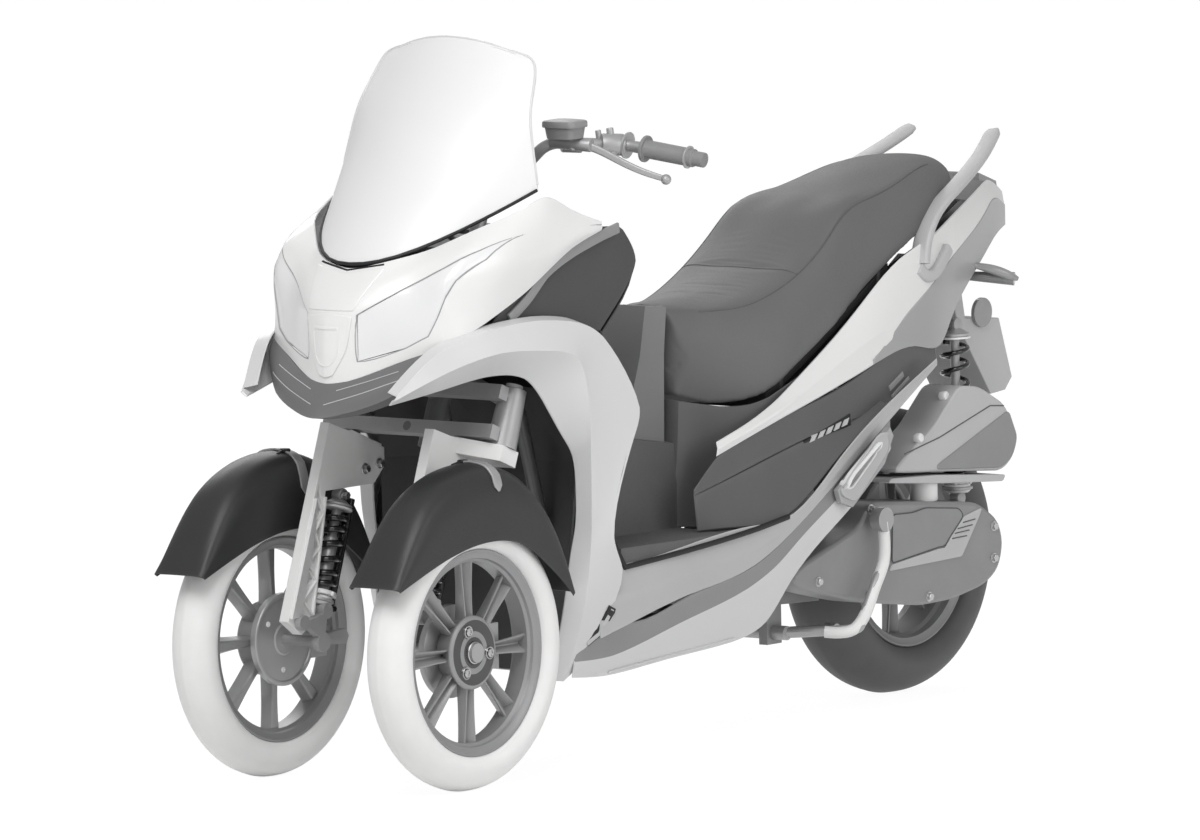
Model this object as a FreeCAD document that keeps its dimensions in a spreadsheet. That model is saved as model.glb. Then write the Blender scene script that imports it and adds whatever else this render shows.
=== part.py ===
import FreeCAD, Part
import Sketcher
import math
import os

from FreeCAD import Placement, Rotation, Vector

# Reverse trike: a tilting scooter with two steered front wheels and one driven rear wheel.
# Millimetres. X runs forward, Y to the rider's left, Z up. The pieces are laid out from
# the front axle line at floor level, then all of them are moved so that the origin lies
# on the floor under the middle of the whole machine.

doc = FreeCAD.newDocument("reverse_trike")
sheet = doc.addObject("Spreadsheet::Sheet", "sizes")

DIMENSIONS = (
    # wheels
    ("wheelbase", 1575.0),
    ("front_track", 458.0),
    ("front_tyre_radius", 255.0),
    ("front_tyre_half_width", 45.0),
    ("front_rim_radius", 190.0),
    ("front_rim_half_width", 32.0),
    ("rear_tyre_radius", 270.0),
    ("rear_tyre_half_width", 75.0),
    ("rear_rim_radius", 180.0),
    ("rear_rim_half_width", 56.0),
    ("rim_wall", 6.0),
    ("rim_flange", 12.0),
    ("hub_radius", 68.0),
    ("hub_half_depth", 24.0),
    ("axle_radius", 10.0),
    ("axle_nut_radius", 18.0),
    ("axle_nut_height", 9.0),
    ("spoke_half_width", 12.0),
    ("spoke_half_depth", 10.0),
    ("spoke_groove", 7.0),
    ("brake_disc_radius", 110.0),
    ("brake_disc_wall", 5.0),
    ("running_gap", 0.05),
    ("seat_gap", 0.3),
    # steering and suspension
    ("kingpin_half_span", 185.0),
    ("steer_rake_angle", 22.0),
    ("steer_trail", 70.0),
    ("column_lead", -24.0),
    ("stem_radius", 16.0),
    ("head_wall", 8.0),
    ("head_length", 112.0),
    ("head_middle_height", 662.0),
    ("head_flare", 5.0),
    ("tilt_arm_height", 26.0),
    ("tilt_arm_depth", 24.0),
    ("tilt_arm_pitch", 76.0),
    ("tilt_pin_radius", 9.0),
    ("leg_inset", 62.0),
    ("leg_half_wall", 11.0),
    ("leg_rib_wall", 5.0),
    ("link_wall", 14.0),
    ("link_pin_radius", 7.0),
    ("caliper_length", 84.0),
    ("caliper_width", 44.0),
    ("caliper_gap", 5.0),
    ("shock_coil_radius", 24.0),
    ("shock_rod_radius", 9.0),
    ("shock_eye_radius", 13.0),
    ("shock_coil_wire", 5.0),
    ("fender_half_width", 58.0),
    ("fender_wall", 3.0),
    ("strap_width", 24.0),
    ("strap_wall", 4.0),
    ("column_radius", 14.0),
    ("column_tube_wall", 7.0),
    ("column_tube_length", 190.0),
    ("column_foot_drop", 62.0),
    # handlebar
    ("bar_radius", 11.0),
    ("bar_bend", 40.0),
    ("grip_radius", 17.0),
    ("grip_flange_radius", 25.0),
    ("grip_flange_wall", 6.0),
    ("bar_end_radius", 14.0),
    # body spans that the share tables follow
    ("hull_half_width", 250.0),
    ("hull_height", 1000.0),
    ("panel_wall", 4.0),
    ("screen_wall", 5.0),
    ("frame_tube_radius", 13.0),
    ("stay_radius", 6.0),
    # drive and rear end
    ("belt_cover_inner", 96.0),
    ("belt_cover_outer", 192.0),
    ("belt_front_radius", 104.0),
    ("belt_rear_radius", 92.0),
    ("rail_blade_wall", 9.0),
    ("muffler_radius", 62.0),
    ("exhaust_radius", 17.0),
    ("wheel_gap", 6.0),
    ("shock_lug_inset", 48.0),
    ("rear_shock_span", 133.0),
    ("reflector_radius", 28.0),
    ("reflector_wall", 8.0),
    ("stand_tube_radius", 13.5),
    ("stand_leg_radius", 11.0),
    ("stand_half_span", 92.0),
    ("stand_foot_radius", 13.0),
    ("stand_swing_angle", 80.0),
    ("stand_droop_angle", 4.0),
    ("pedal_radius", 9.0),
    ("pedal_clearance", 25.5),
    ("pedal_pad_radius", 23.0),
    ("pedal_pad_wall", 22.0),
    ("rail_width", 34.0),
    ("rail_wall", 16.0),
    ("tub_wall", 4.0),
    ("lever_radius", 6.0),
    ("lever_ball_radius", 9.0),
    ("cylinder_length", 76.0),
    ("cylinder_height", 34.0),
    ("cylinder_depth", 62.0),
    ("mirror_hole_radius", 4.5),
    ("mirror_hole_depth", 18.0),
    ("indicator_radius", 13.0),
    ("seat_hinge_radius", 5.0),
)

for row, (alias, value) in enumerate(DIMENSIONS, start=1):
    sheet.set("A%d" % row, alias)
    sheet.set("B%d" % row, str(value))
    sheet.setAlias("B%d" % row, alias)
doc.recompute()

pieces = []


def size(alias):
    """The plain number held by one named cell."""
    return float(sheet.get(alias))


def spot(shares):
    """A point given as shares of wheelbase (rearward), hull half width and hull height."""
    x_share, y_share, z_share = shares
    return Vector(
        -x_share * size("wheelbase"),
        y_share * size("hull_half_width"),
        z_share * size("hull_height"),
    )


def spots(shares):
    """Points for a list of share triples."""
    return [spot(item) for item in shares]


def flip(point):
    """The same point on the other side of the machine."""
    return Vector(point.x, -point.y, point.z)


def mirrored(shape):
    """The same shape on the other side of the machine."""
    return shape.mirror(Vector(0, 0, 0), Vector(0, 1, 0))


def keep(label, shape):
    """Put a finished shape into the document as one sub-part."""
    piece = doc.addObject("Part::Feature", label)
    piece.Label = label
    piece.Shape = shape
    pieces.append(piece)
    return piece


def new_body(label):
    """A PartDesign body that becomes one sub-part."""
    body = doc.addObject("PartDesign::Body", label)
    body.Label = label
    pieces.append(body)
    return body


def origin_part(body, role):
    """One plane or axis of a body's own origin."""
    return next(item for item in body.Origin.OriginFeatures if item.Role == role)


def new_sketch(body, label, plane, lift):
    """An empty sketch on one of the body's planes, lifted along the plane's normal by a formula."""
    sketch = body.newObject("Sketcher::SketchObject", label)
    sketch.AttachmentSupport = [(origin_part(body, plane), "")]
    sketch.MapMode = "FlatFace"
    sketch.setExpression("AttachmentOffset.Base.z", lift)
    return sketch


def pin_point(sketch, line, end, across_formula, along_formula):
    """Hold one point of a sketch at two formulas over the sheet."""
    for kind, axis, formula in (("DistanceX", -2, across_formula), ("DistanceY", -1, along_formula)):
        if reading(sketch, formula) == 0:
            sketch.addConstraint(Sketcher.Constraint("PointOnObject", line, end, axis))
        else:
            held = Sketcher.Constraint(kind, -1, 1, line, end, reading(sketch, formula))
            index = sketch.addConstraint(held)
            sketch.setExpression("Constraints[%d]" % index, formula)


def reading(holder, formula):
    """The number that a formula over the sheet gives."""
    result = holder.evalExpression(formula)
    return float(getattr(result, "Value", result))


def outline_sketch(body, label, plane, corners, lift="0 * sizes.rim_wall"):
    """A closed polygon sketch whose corners are pairs of formulas over the sheet."""
    sketch = new_sketch(body, label, plane, lift)
    places = [Vector(reading(body, across), reading(body, along), 0) for across, along in corners]
    count = len(places)
    sketch.addGeometry([Part.LineSegment(places[k], places[(k + 1) % count]) for k in range(count)])
    for k in range(count):
        sketch.addConstraint(Sketcher.Constraint("Coincident", k, 2, (k + 1) % count, 1))
    for k, (across, along) in enumerate(corners):
        pin_point(sketch, k, 1, across, along)
    return sketch


def circle_sketch(body, label, plane, centre, radius, lift):
    """A sketch of one circle: its centre is a pair of formulas, its radius one formula."""
    sketch = new_sketch(body, label, plane, lift)
    across, along = centre
    place = Vector(reading(body, across), reading(body, along), 0)
    sketch.addGeometry(Part.Circle(place, Vector(0, 0, 1), reading(body, radius)))
    pin_point(sketch, 0, 3, across, along)
    index = sketch.addConstraint(Sketcher.Constraint("Radius", 0, reading(body, radius)))
    sketch.setExpression("Constraints[%d]" % index, radius)
    return sketch


def turned_feature(body, label, sketch):
    """A full turn of a sketch about its own vertical axis."""
    feature = body.newObject("PartDesign::Revolution", label)
    feature.Profile = sketch
    feature.ReferenceAxis = (sketch, ["V_Axis"])
    feature.Angle = 360
    return feature


def padded_feature(body, label, sketch, length):
    """A sketch pushed along its normal by a formula."""
    feature = body.newObject("PartDesign::Pad", label)
    feature.Profile = sketch
    feature.setExpression("Length", length)
    return feature


def loop(points):
    """A closed polygon wire."""
    return Part.makePolygon(points + [points[0]])


def prism(points, depth):
    """A flat polygon pushed along a vector."""
    return Part.Face(loop(points)).extrude(depth)


def rod(start, end, radius):
    """A round bar between two points."""
    along = end - start
    return Part.makeCylinder(radius, along.Length, start, along)


def cone(start, end, first_radius, last_radius):
    """A tapered round bar between two points."""
    along = end - start
    return Part.makeCone(first_radius, last_radius, along.Length, start, along)


def bent_rod(points, radius, bend):
    """A round bar along straight runs joined by tangent arcs."""
    edges = []
    start = points[0]
    for before, corner, after in zip(points, points[1:], points[2:]):
        into = (before - corner).normalize()
        out = (after - corner).normalize()
        half = into.getAngle(out) / 2
        trim = bend / math.tan(half)
        first = corner + into * trim
        last = corner + out * trim
        middle_way = (into + out).normalize()
        centre = corner + middle_way * (bend / math.sin(half))
        middle = centre - middle_way * bend
        edges.append(Part.LineSegment(start, first).toShape())
        edges.append(Part.Arc(first, middle, last).toShape())
        start = last
    edges.append(Part.LineSegment(start, points[-1]).toShape())
    path = Part.Wire(edges)
    section = Part.Wire(Part.makeCircle(radius, points[0], points[1] - points[0]))
    return path.makePipeShell([section], True, False)


FLAT_TOLERANCE_SHARE = 1e-7


def facets(first, second, third, fourth):
    """One flat face for four corners in a plane, otherwise two triangles."""
    normal = (second - first).cross(third - first)
    lift = abs((fourth - first).dot(normal))
    if lift < FLAT_TOLERANCE_SHARE * normal.Length * (third - first).Length:
        return [Part.Face(loop([first, second, third, fourth]))]
    return [Part.Face(loop([first, second, third])), Part.Face(loop([first, third, fourth]))]


def pushed_rows(rows, wall, core):
    """The same grid moved by the wall along its own normals, towards a core point."""
    moved = []
    last_row = len(rows) - 1
    last_column = len(rows[0]) - 1
    for i, row in enumerate(rows):
        inner = []
        for j, point in enumerate(row):
            along = row[min(j + 1, last_column)] - row[max(j - 1, 0)]
            across = rows[min(i + 1, last_row)][j] - rows[max(i - 1, 0)][j]
            normal = along.cross(across).normalize()
            if normal.dot(core - point) < 0:
                normal = normal * -1
            inner.append(point + normal * wall)
        moved.append(inner)
    return moved


def closed_between(rows, inner):
    """The closed solid between two grids of the same count."""
    faces = []
    for i in range(len(rows) - 1):
        for j in range(len(rows[0]) - 1):
            faces += facets(rows[i][j], rows[i + 1][j], rows[i + 1][j + 1], rows[i][j + 1])
            faces += facets(inner[i][j], inner[i][j + 1], inner[i + 1][j + 1], inner[i + 1][j])
    for i in range(len(rows) - 1):
        for j in (0, len(rows[0]) - 1):
            faces += facets(rows[i][j], rows[i + 1][j], inner[i + 1][j], inner[i][j])
    for j in range(len(rows[0]) - 1):
        for i in (0, len(rows) - 1):
            faces += facets(rows[i][j], rows[i][j + 1], inner[i][j + 1], inner[i][j])
    shell = Part.makeShell(faces)
    solid = Part.makeSolid(shell)
    solid.fixTolerance(1e-4)
    if solid.Volume < 0:
        solid.reverse()
    return solid


def skin(rows, wall, core):
    """A panel of even wall: a grid of points and its copy pushed towards a core point."""
    return closed_between(rows, pushed_rows(rows, wall, core))


def around_centre(ribs):
    """Ribs from the middle outwards, completed with their mirror images."""
    return [[flip(point) for point in rib] for rib in ribs[:0:-1]] + ribs


def trimmed(shape, others, place):
    """The shape without the others, keeping the piece whose middle is nearest one place."""
    rest = shape.cut(others)
    return min(rest.Solids, key=lambda solid: (solid.CenterOfMass - place).Length)


def strut(start_shares, end_shares, holders):
    """A round stay between two pieces: it starts in one, ends beyond the other and seats on both."""
    start = spot(start_shares)
    end = spot(end_shares)
    return trimmed(rod(start, end, size("stay_radius")), holders, (start + end) / 2)


def both_sides(shape):
    """The shape and its mirror image as two solids of one node."""
    return Part.makeCompound([shape, mirrored(shape)])


# steering axes: leaning back by the rake, meeting the floor ahead of the axle by the trail
rake = math.radians(size("steer_rake_angle"))
steer_up = Vector(-math.sin(rake), 0, math.cos(rake))
steer_side = Vector(0, 1, 0)
steer_back = Vector(-math.cos(rake), 0, -math.sin(rake))


def kingpin(height):
    """The point of the left steering axis at one height."""
    return Vector(
        size("steer_trail") - height * math.tan(rake), size("kingpin_half_span"), height
    )


def column(height):
    """The point of the handlebar's axis at one height."""
    return Vector(
        size("steer_trail") + size("column_lead") - height * math.tan(rake), 0, height
    )


# wheels
front_axle = Vector(0, size("front_track") / 2, size("front_tyre_radius"))
rear_axle = Vector(-size("wheelbase"), 0, size("rear_tyre_radius"))
TYRE_SHARES = ((0.0, 0.86), (0.26, 1.0), (0.52, 0.96), (0.78, 0.66), (0.93, 0.36), (1.0, 0.0))


SPOKE_COUNT = 8


def tyre_corners(kind):
    """A tyre's section as formula pairs of radius and side offset, from bead to crown and back."""
    names = {"kind": kind}
    lip = "(sizes.%(kind)s_rim_radius + sizes.seat_gap)" % names
    depth = "(sizes.%(kind)s_tyre_radius - %(lip)s)" % {"kind": kind, "lip": lip}
    seat = "(sizes.%(kind)s_rim_half_width - sizes.rim_wall - sizes.seat_gap)" % names
    half = [("sizes.%(kind)s_rim_radius - sizes.rim_flange" % names, seat), (lip, seat)]
    for radial_share, lateral_share in TYRE_SHARES:
        radial = "%s + %r * %s" % (lip, radial_share, depth)
        half.append((radial, "%r * sizes.%s_tyre_half_width" % (lateral_share, kind)))
    return half + [(radial, "-(%s)" % lateral) for radial, lateral in half[-2::-1]]


def rim_corners(kind):
    """The rim barrel's section: flanges, bead seats and a dropped well."""
    radius = "sizes.%s_rim_radius" % kind
    half = "sizes.%s_rim_half_width" % kind
    seat = "%s - sizes.rim_flange" % radius
    outside = [
        (radius, half),
        (radius, "%s - sizes.rim_wall" % half),
        (seat, "%s - sizes.rim_wall" % half),
        ("%s - sizes.rim_wall" % seat, "%s / 2" % half),
    ]
    outside += [(radial, "-(%s)" % lateral) for radial, lateral in outside[::-1]]
    inside = [
        ("%s - sizes.rim_wall" % seat, "-%s" % half),
        ("%s - 2 * sizes.rim_wall" % seat, "-%s / 2" % half),
        ("%s - 2 * sizes.rim_wall" % seat, "%s / 2" % half),
        ("%s - sizes.rim_wall" % seat, half),
    ]
    return outside + inside


def hub_corners(half, side, with_disc):
    """The hub's section, with the brake disc on its inner face where the wheel has one."""
    bore = "sizes.axle_radius + sizes.running_gap"
    step = "sizes.hub_radius - sizes.rim_wall"
    inner = [(bore, "-%s" % half), (step, "-%s" % half)]
    if with_disc:
        back = "-%s - sizes.brake_disc_wall" % half
        inner = [(bore, back), ("sizes.brake_disc_radius", back), ("sizes.brake_disc_radius", "-%s" % half)]
        inner += [(step, "-%s" % half)]
    outer = [
        ("sizes.hub_radius", "-%s + sizes.rim_wall" % half),
        ("sizes.hub_radius", "%s - sizes.rim_wall" % half),
        (step, half),
        (bore, half),
    ]
    return [(radial, "%d * (%s)" % (side, lateral)) for radial, lateral in inner + outer]


def wheel_body(label, kind, hub_half, side, with_disc):
    """A cast wheel: a turned hub, grooved spokes in a ring and a turned barrel."""
    body = new_body(label)
    hub_sketch = outline_sketch(body, "hub_section", "XY_Plane", hub_corners(hub_half, side, with_disc))
    turned_feature(body, "hub", hub_sketch)
    depth = "%d * sizes.spoke_half_depth" % side
    groove = "%d * (sizes.spoke_half_depth - sizes.spoke_groove)" % side
    section = [
        (depth, "sizes.spoke_half_width"),
        (groove, "0 * sizes.spoke_half_width"),
        (depth, "-sizes.spoke_half_width"),
        ("-1 * (%s)" % depth, "-sizes.spoke_half_width / 2"),
        ("-1 * (%s)" % depth, "sizes.spoke_half_width / 2"),
    ]
    start = "sizes.hub_radius - sizes.rim_wall"
    spoke_sketch = outline_sketch(body, "spoke_section", "YZ_Plane", section, start)
    reach = "sizes.%s_rim_radius - sizes.rim_flange - 1.5 * sizes.rim_wall - (%s)" % (kind, start)
    spoke = padded_feature(body, "spoke", spoke_sketch, reach)
    ring = body.newObject("PartDesign::PolarPattern", "spoke_ring")
    ring.Originals = [spoke]
    ring.Axis = (hub_sketch, ["V_Axis"])
    ring.Angle = 360
    ring.Occurrences = SPOKE_COUNT
    body.Tip = ring
    barrel_sketch = outline_sketch(body, "barrel_section", "XY_Plane", rim_corners(kind))
    turned_feature(body, "barrel", barrel_sketch)
    return body


def tyre_body(label, kind):
    """A tyre turned from its section."""
    body = new_body(label)
    sketch = outline_sketch(body, "tyre_section", "XY_Plane", tyre_corners(kind))
    turned_feature(body, "tyre", sketch)
    return body


for side_name, side in (("left", 1), ("right", -1)):
    place = Placement(Vector(front_axle.x, side * front_axle.y, front_axle.z), Rotation())
    rim = wheel_body("front_%s_rim" % side_name, "front", "sizes.hub_half_depth", side, True)
    rim.Placement = place
    tyre = tyre_body("front_%s_tyre" % side_name, "front")
    tyre.Placement = place
rear_rim = wheel_body("rear_rim", "rear", "sizes.rear_rim_half_width", 1, False)
rear_rim.Placement = Placement(rear_axle, Rotation())
tyre_body("rear_tyre", "rear").Placement = Placement(rear_axle, Rotation())
doc.recompute()

# side steering heads: a flared tube on each end of the tilt arms, bored for the leg's stem
head_half = size("head_length") / 2
head_middle = kingpin(size("head_middle_height"))
head_low = head_middle - steer_up * head_half
head_high = head_middle + steer_up * head_half
head_radius = size("stem_radius") + size("head_wall")
head_outer = cone(head_low, head_high, head_radius + size("head_flare"), head_radius)
head_bore = rod(
    head_low - steer_up * size("head_wall"),
    head_high + steer_up * size("head_wall"),
    size("stem_radius") + size("running_gap"),
)
pitch = size("tilt_arm_pitch")
arm_front = head_radius + size("head_flare") + size("seat_gap")
arm_places = [
    head_middle + steer_up * (pitch / 2) - steer_back * arm_front,
    head_middle - steer_up * (pitch / 2) - steer_back * arm_front,
]
pin_reach = arm_front + size("tilt_arm_depth")
pins = []
for place in arm_places:
    on_axis = place + steer_back * arm_front
    pins.append(rod(on_axis, on_axis - steer_back * pin_reach, size("tilt_pin_radius")))
side_head = head_outer.fuse(pins).cut(head_bore)
keep("side_heads", both_sides(side_head))

# tilt arms: two flat bars across the machine in front of the heads, one above the other
arms = []
for place in arm_places:
    half_span = size("kingpin_half_span") + size("tilt_arm_height") / 2
    low = place - steer_up * (size("tilt_arm_height") / 2)
    corners = [
        Vector(low.x, -half_span, low.z),
        Vector(low.x, half_span, low.z),
        Vector(low.x, half_span, low.z) + steer_up * size("tilt_arm_height"),
        Vector(low.x, -half_span, low.z) + steer_up * size("tilt_arm_height"),
    ]
    bar = prism(corners, steer_back * -size("tilt_arm_depth"))
    hole = rod(
        place + steer_back * size("head_wall"),
        place - steer_back * (size("tilt_arm_depth") + size("head_wall")),
        size("tilt_pin_radius") + size("running_gap"),
    )
    middle = Vector(place.x, 0, place.z)
    middle_hole = rod(
        middle + steer_back * size("head_wall"),
        middle - steer_back * (size("tilt_arm_depth") + size("head_wall")),
        size("tilt_pin_radius") + size("running_gap"),
    )
    arms.append(bar.cut(hole).cut(mirrored(hole)).cut(middle_hole))
keep("tilt_arms", Part.makeCompound(arms))

# front frame: column tube, tilt pins and two down tubes to the floor rails
tube_radius = size("column_radius") + size("column_tube_wall")
column_low = column(size("head_middle_height") - size("column_foot_drop"))
column_high = column_low + steer_up * size("column_tube_length")
column_tube = rod(column_low, column_high, tube_radius)
column_bore = rod(
    column_low - steer_up * size("head_wall"),
    column_high + steer_up * size("head_wall"),
    size("column_radius") + size("running_gap"),
)
DOWN_TUBE_START_SHARE = 0.82
FRAME_DOWN_SHARES = ((0.222, 0.36, 0.660), (0.268, 0.36, 0.420), (0.3022, 0.36, 0.222))
down_start = column_low + steer_up * (DOWN_TUBE_START_SHARE * size("column_tube_length"))
frame_bend = 3 * size("frame_tube_radius")
down_tube = bent_rod([down_start] + spots(FRAME_DOWN_SHARES), size("frame_tube_radius"), frame_bend)
frame_pins = []
for place in arm_places:
    middle = Vector(place.x, 0, place.z)
    behind = middle + steer_back * (arm_front - size("column_lead"))
    frame_pins.append(rod(behind, middle - steer_back * size("tilt_arm_depth"), size("tilt_pin_radius")))
frame_front = column_tube.fuse([down_tube, mirrored(down_tube)] + frame_pins).cut(column_bore)
keep("frame_front", frame_front)

# floor rails and tail rails
FLOOR_RAIL_SHARES = (
    (0.3092, 0.36, 0.230),
    (0.60, 0.36, 0.230),
    (0.70, 0.36, 0.46),
    (0.79, 0.36, 0.575),
    (0.93, 0.36, 0.60),
    (1.08, 0.36, 0.775),
)
floor_rail = bent_rod(spots(FLOOR_RAIL_SHARES), size("frame_tube_radius"), frame_bend)
CROSS_SHARES = ((0.36, 0.385, 0.230), (0.56, 0.385, 0.230), (0.86, 0.385, 0.5875), (1.075, 0.385, 0.769))
cross_radius = size("frame_tube_radius") - size("leg_rib_wall") / 2
crosses = [rod(spot(place), flip(spot(place)), cross_radius) for place in CROSS_SHARES]
frame_rails = floor_rail.fuse([mirrored(floor_rail)] + crosses)
frame_rails = trimmed(frame_rails, [frame_front], spot(FLOOR_RAIL_SHARES[2]))
keep("frame_rails", frame_rails)

# legs: a stem in the side head, a crown and a ribbed girder reaching down beside the wheel
leg_y = size("kingpin_half_span") - size("leg_inset")
LEG_FOOT_SHARES = ((-0.055, 0.300), (-0.030, 0.272), (-0.012, 0.290))
LEG_TOP_SHARES = (
    (1.294, -0.714),
    (0.029, -0.714),
    (-0.256, -0.446),
    (-0.256, -0.143),
    (0.170, 0.045),
    (1.156, 0.402),
)
half_wall = size("leg_half_wall")


def leg_outline(lateral):
    """The girder's outline in one lengthwise plane: its foot, then its top under the steering head."""
    foot = [
        Vector(-x_share * size("wheelbase"), lateral, z_share * size("hull_height"))
        for x_share, z_share in LEG_FOOT_SHARES
    ]
    top = [
        Vector(head_low.x, lateral, head_low.z) + Vector(x_share, 0, z_share) * size("head_length")
        for x_share, z_share in LEG_TOP_SHARES
    ]
    return foot + top


girder = prism(leg_outline(leg_y - half_wall), Vector(0, 2 * half_wall, 0))
stem_low = kingpin(head_low.z - size("head_wall"))
stem = rod(stem_low, head_high + steer_up * size("head_wall"), size("stem_radius"))
CROWN_HEIGHT_SHARE = 0.030
crown_height = CROWN_HEIGHT_SHARE * size("hull_height")
crown_top = head_low - steer_up * size("seat_gap")
crown_out = crown_top + steer_side * (head_radius)
crown_in = Vector(crown_top.x, leg_y - half_wall, crown_top.z)
crown_corners = [
    crown_out + steer_back * head_radius,
    crown_out - steer_back * head_radius,
    crown_in - steer_back * (3 * head_radius),
    crown_in + steer_back * head_radius,
]
crown = prism(crown_corners, steer_up * -crown_height)
RIB_SHARES = (
    ((-0.0124, 0.460), (0.0079, 0.545), (0.0124, 0.500)),
    ((-0.0014, 0.390), (0.0100, 0.475), (-0.0184, 0.435)),
    ((-0.0400, 0.345), (-0.0220, 0.420), (-0.0038, 0.375)),
)
pockets = []
for triangle in RIB_SHARES:
    corners = [
        Vector(-x_share * size("wheelbase"), leg_y - half_wall, z_share * size("hull_height"))
        for x_share, z_share in triangle
    ]
    depth = half_wall - size("leg_rib_wall") / 2
    pockets.append(prism(corners, Vector(0, depth, 0)))
    pockets.append(prism([point + Vector(0, 2 * half_wall, 0) for point in corners], Vector(0, -depth, 0)))
leg = girder.fuse([stem, crown]).cut(pockets)

# trailing links: a plate on the leg's inner side that carries the axle, the shock and the brake
PIVOT_SHARES = (-0.035, 0.296)
SHOCK_FOOT_SHARES = (0.008, 0.311)
SHOCK_HEAD_SHARE = 0.48


def leg_spot(x_share, z_share):
    """A point in the leg's own lengthwise plane."""
    return Vector(-x_share * size("wheelbase"), leg_y, z_share * size("hull_height"))


link_pivot = leg_spot(*PIVOT_SHARES)
shock_foot = leg_spot(*SHOCK_FOOT_SHARES)
shelf_corner = leg_outline(leg_y)[len(LEG_FOOT_SHARES)]
shock_head = shelf_corner - Vector(
    SHOCK_HEAD_SHARE * size("head_length"), 0, size("shock_eye_radius") + size("seat_gap")
)
link_y = leg_y - half_wall - size("seat_gap") - size("link_wall")
corner = 2 * size("link_pin_radius")
link_axle = Vector(front_axle.x, leg_y, front_axle.z)


def link_level(point):
    """The point moved into the link's inner face."""
    return Vector(point.x, link_y, point.z)


bosses = []
for point, radius in (
    (link_pivot, corner),
    (shock_foot, corner),
    (link_axle, size("axle_nut_radius")),
):
    low = link_level(point)
    bosses.append(rod(low, low + steer_side * size("link_wall"), radius))
link_corners = [link_level(item) for item in (link_pivot, shock_foot, link_axle)]
web = prism(link_corners, steer_side * size("link_wall"))
pin_end = link_pivot + steer_side * (half_wall + size("axle_nut_height"))
pivot_pin = rod(link_corners[0], pin_end, size("link_pin_radius"))
foot_pin = rod(link_level(shock_foot), shock_foot + steer_side * half_wall, size("link_pin_radius"))
hub_outside = front_axle.y + size("hub_half_depth")
axle_end = Vector(front_axle.x, hub_outside + size("seat_gap") + size("axle_nut_height"), front_axle.z)
axle = rod(link_level(link_axle), axle_end, size("axle_radius"))
nut = rod(
    Vector(front_axle.x, hub_outside + size("seat_gap"), front_axle.z),
    axle_end,
    size("axle_nut_radius"),
)
disc_place = -size("hub_half_depth") - size("brake_disc_wall")
caliper_middle = Vector(
    front_axle.x - size("brake_disc_radius") + size("caliper_width") / 3,
    front_axle.y + disc_place + size("brake_disc_wall") / 2,
    front_axle.z,
)
caliper_depth = size("brake_disc_wall") + 2 * size("caliper_gap") + size("link_wall")
caliper = Part.makeBox(
    size("caliper_width"),
    caliper_depth,
    size("caliper_length"),
    caliper_middle - Vector(size("caliper_width") / 2, caliper_depth / 2, size("caliper_length") / 2),
)
slot_half = size("brake_disc_wall") / 2 + size("caliper_gap")
caliper_slot = rod(
    Vector(front_axle.x, caliper_middle.y - slot_half, front_axle.z),
    Vector(front_axle.x, caliper_middle.y + slot_half, front_axle.z),
    size("brake_disc_radius") + size("caliper_gap"),
)
arm_half = size("link_wall") / 2
caliper_arm = prism(
    [
        link_axle + Vector(0, 0, arm_half),
        link_axle + Vector(0, 0, -arm_half),
        Vector(caliper_middle.x, link_axle.y, front_axle.z - 2 * arm_half),
        Vector(caliper_middle.x - arm_half, link_axle.y, front_axle.z),
        Vector(caliper_middle.x, link_axle.y, front_axle.z + 2 * arm_half),
    ],
    Vector(0, size("link_wall"), 0),
)
caliper_bridge = rod(
    Vector(caliper_middle.x, link_axle.y + arm_half, front_axle.z),
    Vector(caliper_middle.x, caliper_middle.y - caliper_depth / 4, front_axle.z),
    size("link_pin_radius"),
)
caliper_parts = [caliper.cut(caliper_slot), caliper_arm, caliper_bridge]
link = web.fuse(bosses + [pivot_pin, foot_pin, axle, nut] + caliper_parts)
pivot_hole = rod(
    link_pivot - steer_side * (2 * half_wall),
    link_pivot + steer_side * (2 * half_wall),
    size("link_pin_radius") + size("seat_gap"),
)
leg = leg.cut(pivot_hole)
keep("left_leg", leg)
keep("right_leg", mirrored(leg))
keep("left_link", link)
keep("right_link", mirrored(link))


def turned_between(start, end, profile):
    """A section of (distance along, radius) pairs turned about the line between two points."""
    along = (end - start).normalize()
    aside = along.cross(steer_side).normalize()
    points = [start + along * distance + aside * radius for distance, radius in profile]
    face = Part.Face(loop(points))
    return face.revolve(start, along, 360)


COIL_COUNT = 7


def shock(start, end, coil_radius):
    """A coil-over shock: two eyes, a damper rod and a spring drawn as stacked rings."""
    eye = size("shock_eye_radius")
    length = (end - start).Length
    low = eye + size("shock_coil_wire")
    high = length - low
    core = coil_radius - 2 * size("shock_coil_wire")
    step = (high - low) / COIL_COUNT
    profile = [(0, 0), (0, size("shock_rod_radius")), (low, size("shock_rod_radius")), (low, coil_radius)]
    for index in range(COIL_COUNT):
        place = low + step * index
        profile.append((place + step / 3, coil_radius))
        profile.append((place + step / 2, core))
        profile.append((place + 2 * step / 3, core))
        profile.append((place + step, coil_radius))
    profile += [(high, size("shock_rod_radius")), (length, size("shock_rod_radius")), (length, 0)]
    body = turned_between(start, end, profile)
    half = steer_side * (size("shock_eye_radius") * 0.8)
    eyes = [rod(point - half, point + half, eye) for point in (start, end)]
    return body.fuse(eyes)


foot_hole = rod(
    shock_foot - steer_side * (2 * half_wall),
    shock_foot + steer_side * (2 * half_wall),
    size("link_pin_radius") + size("running_gap"),
)
front_shock = shock(shock_foot, shock_head, size("shock_coil_radius")).cut(foot_hole)
keep("left_front_shock", front_shock)
keep("right_front_shock", mirrored(front_shock))

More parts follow.
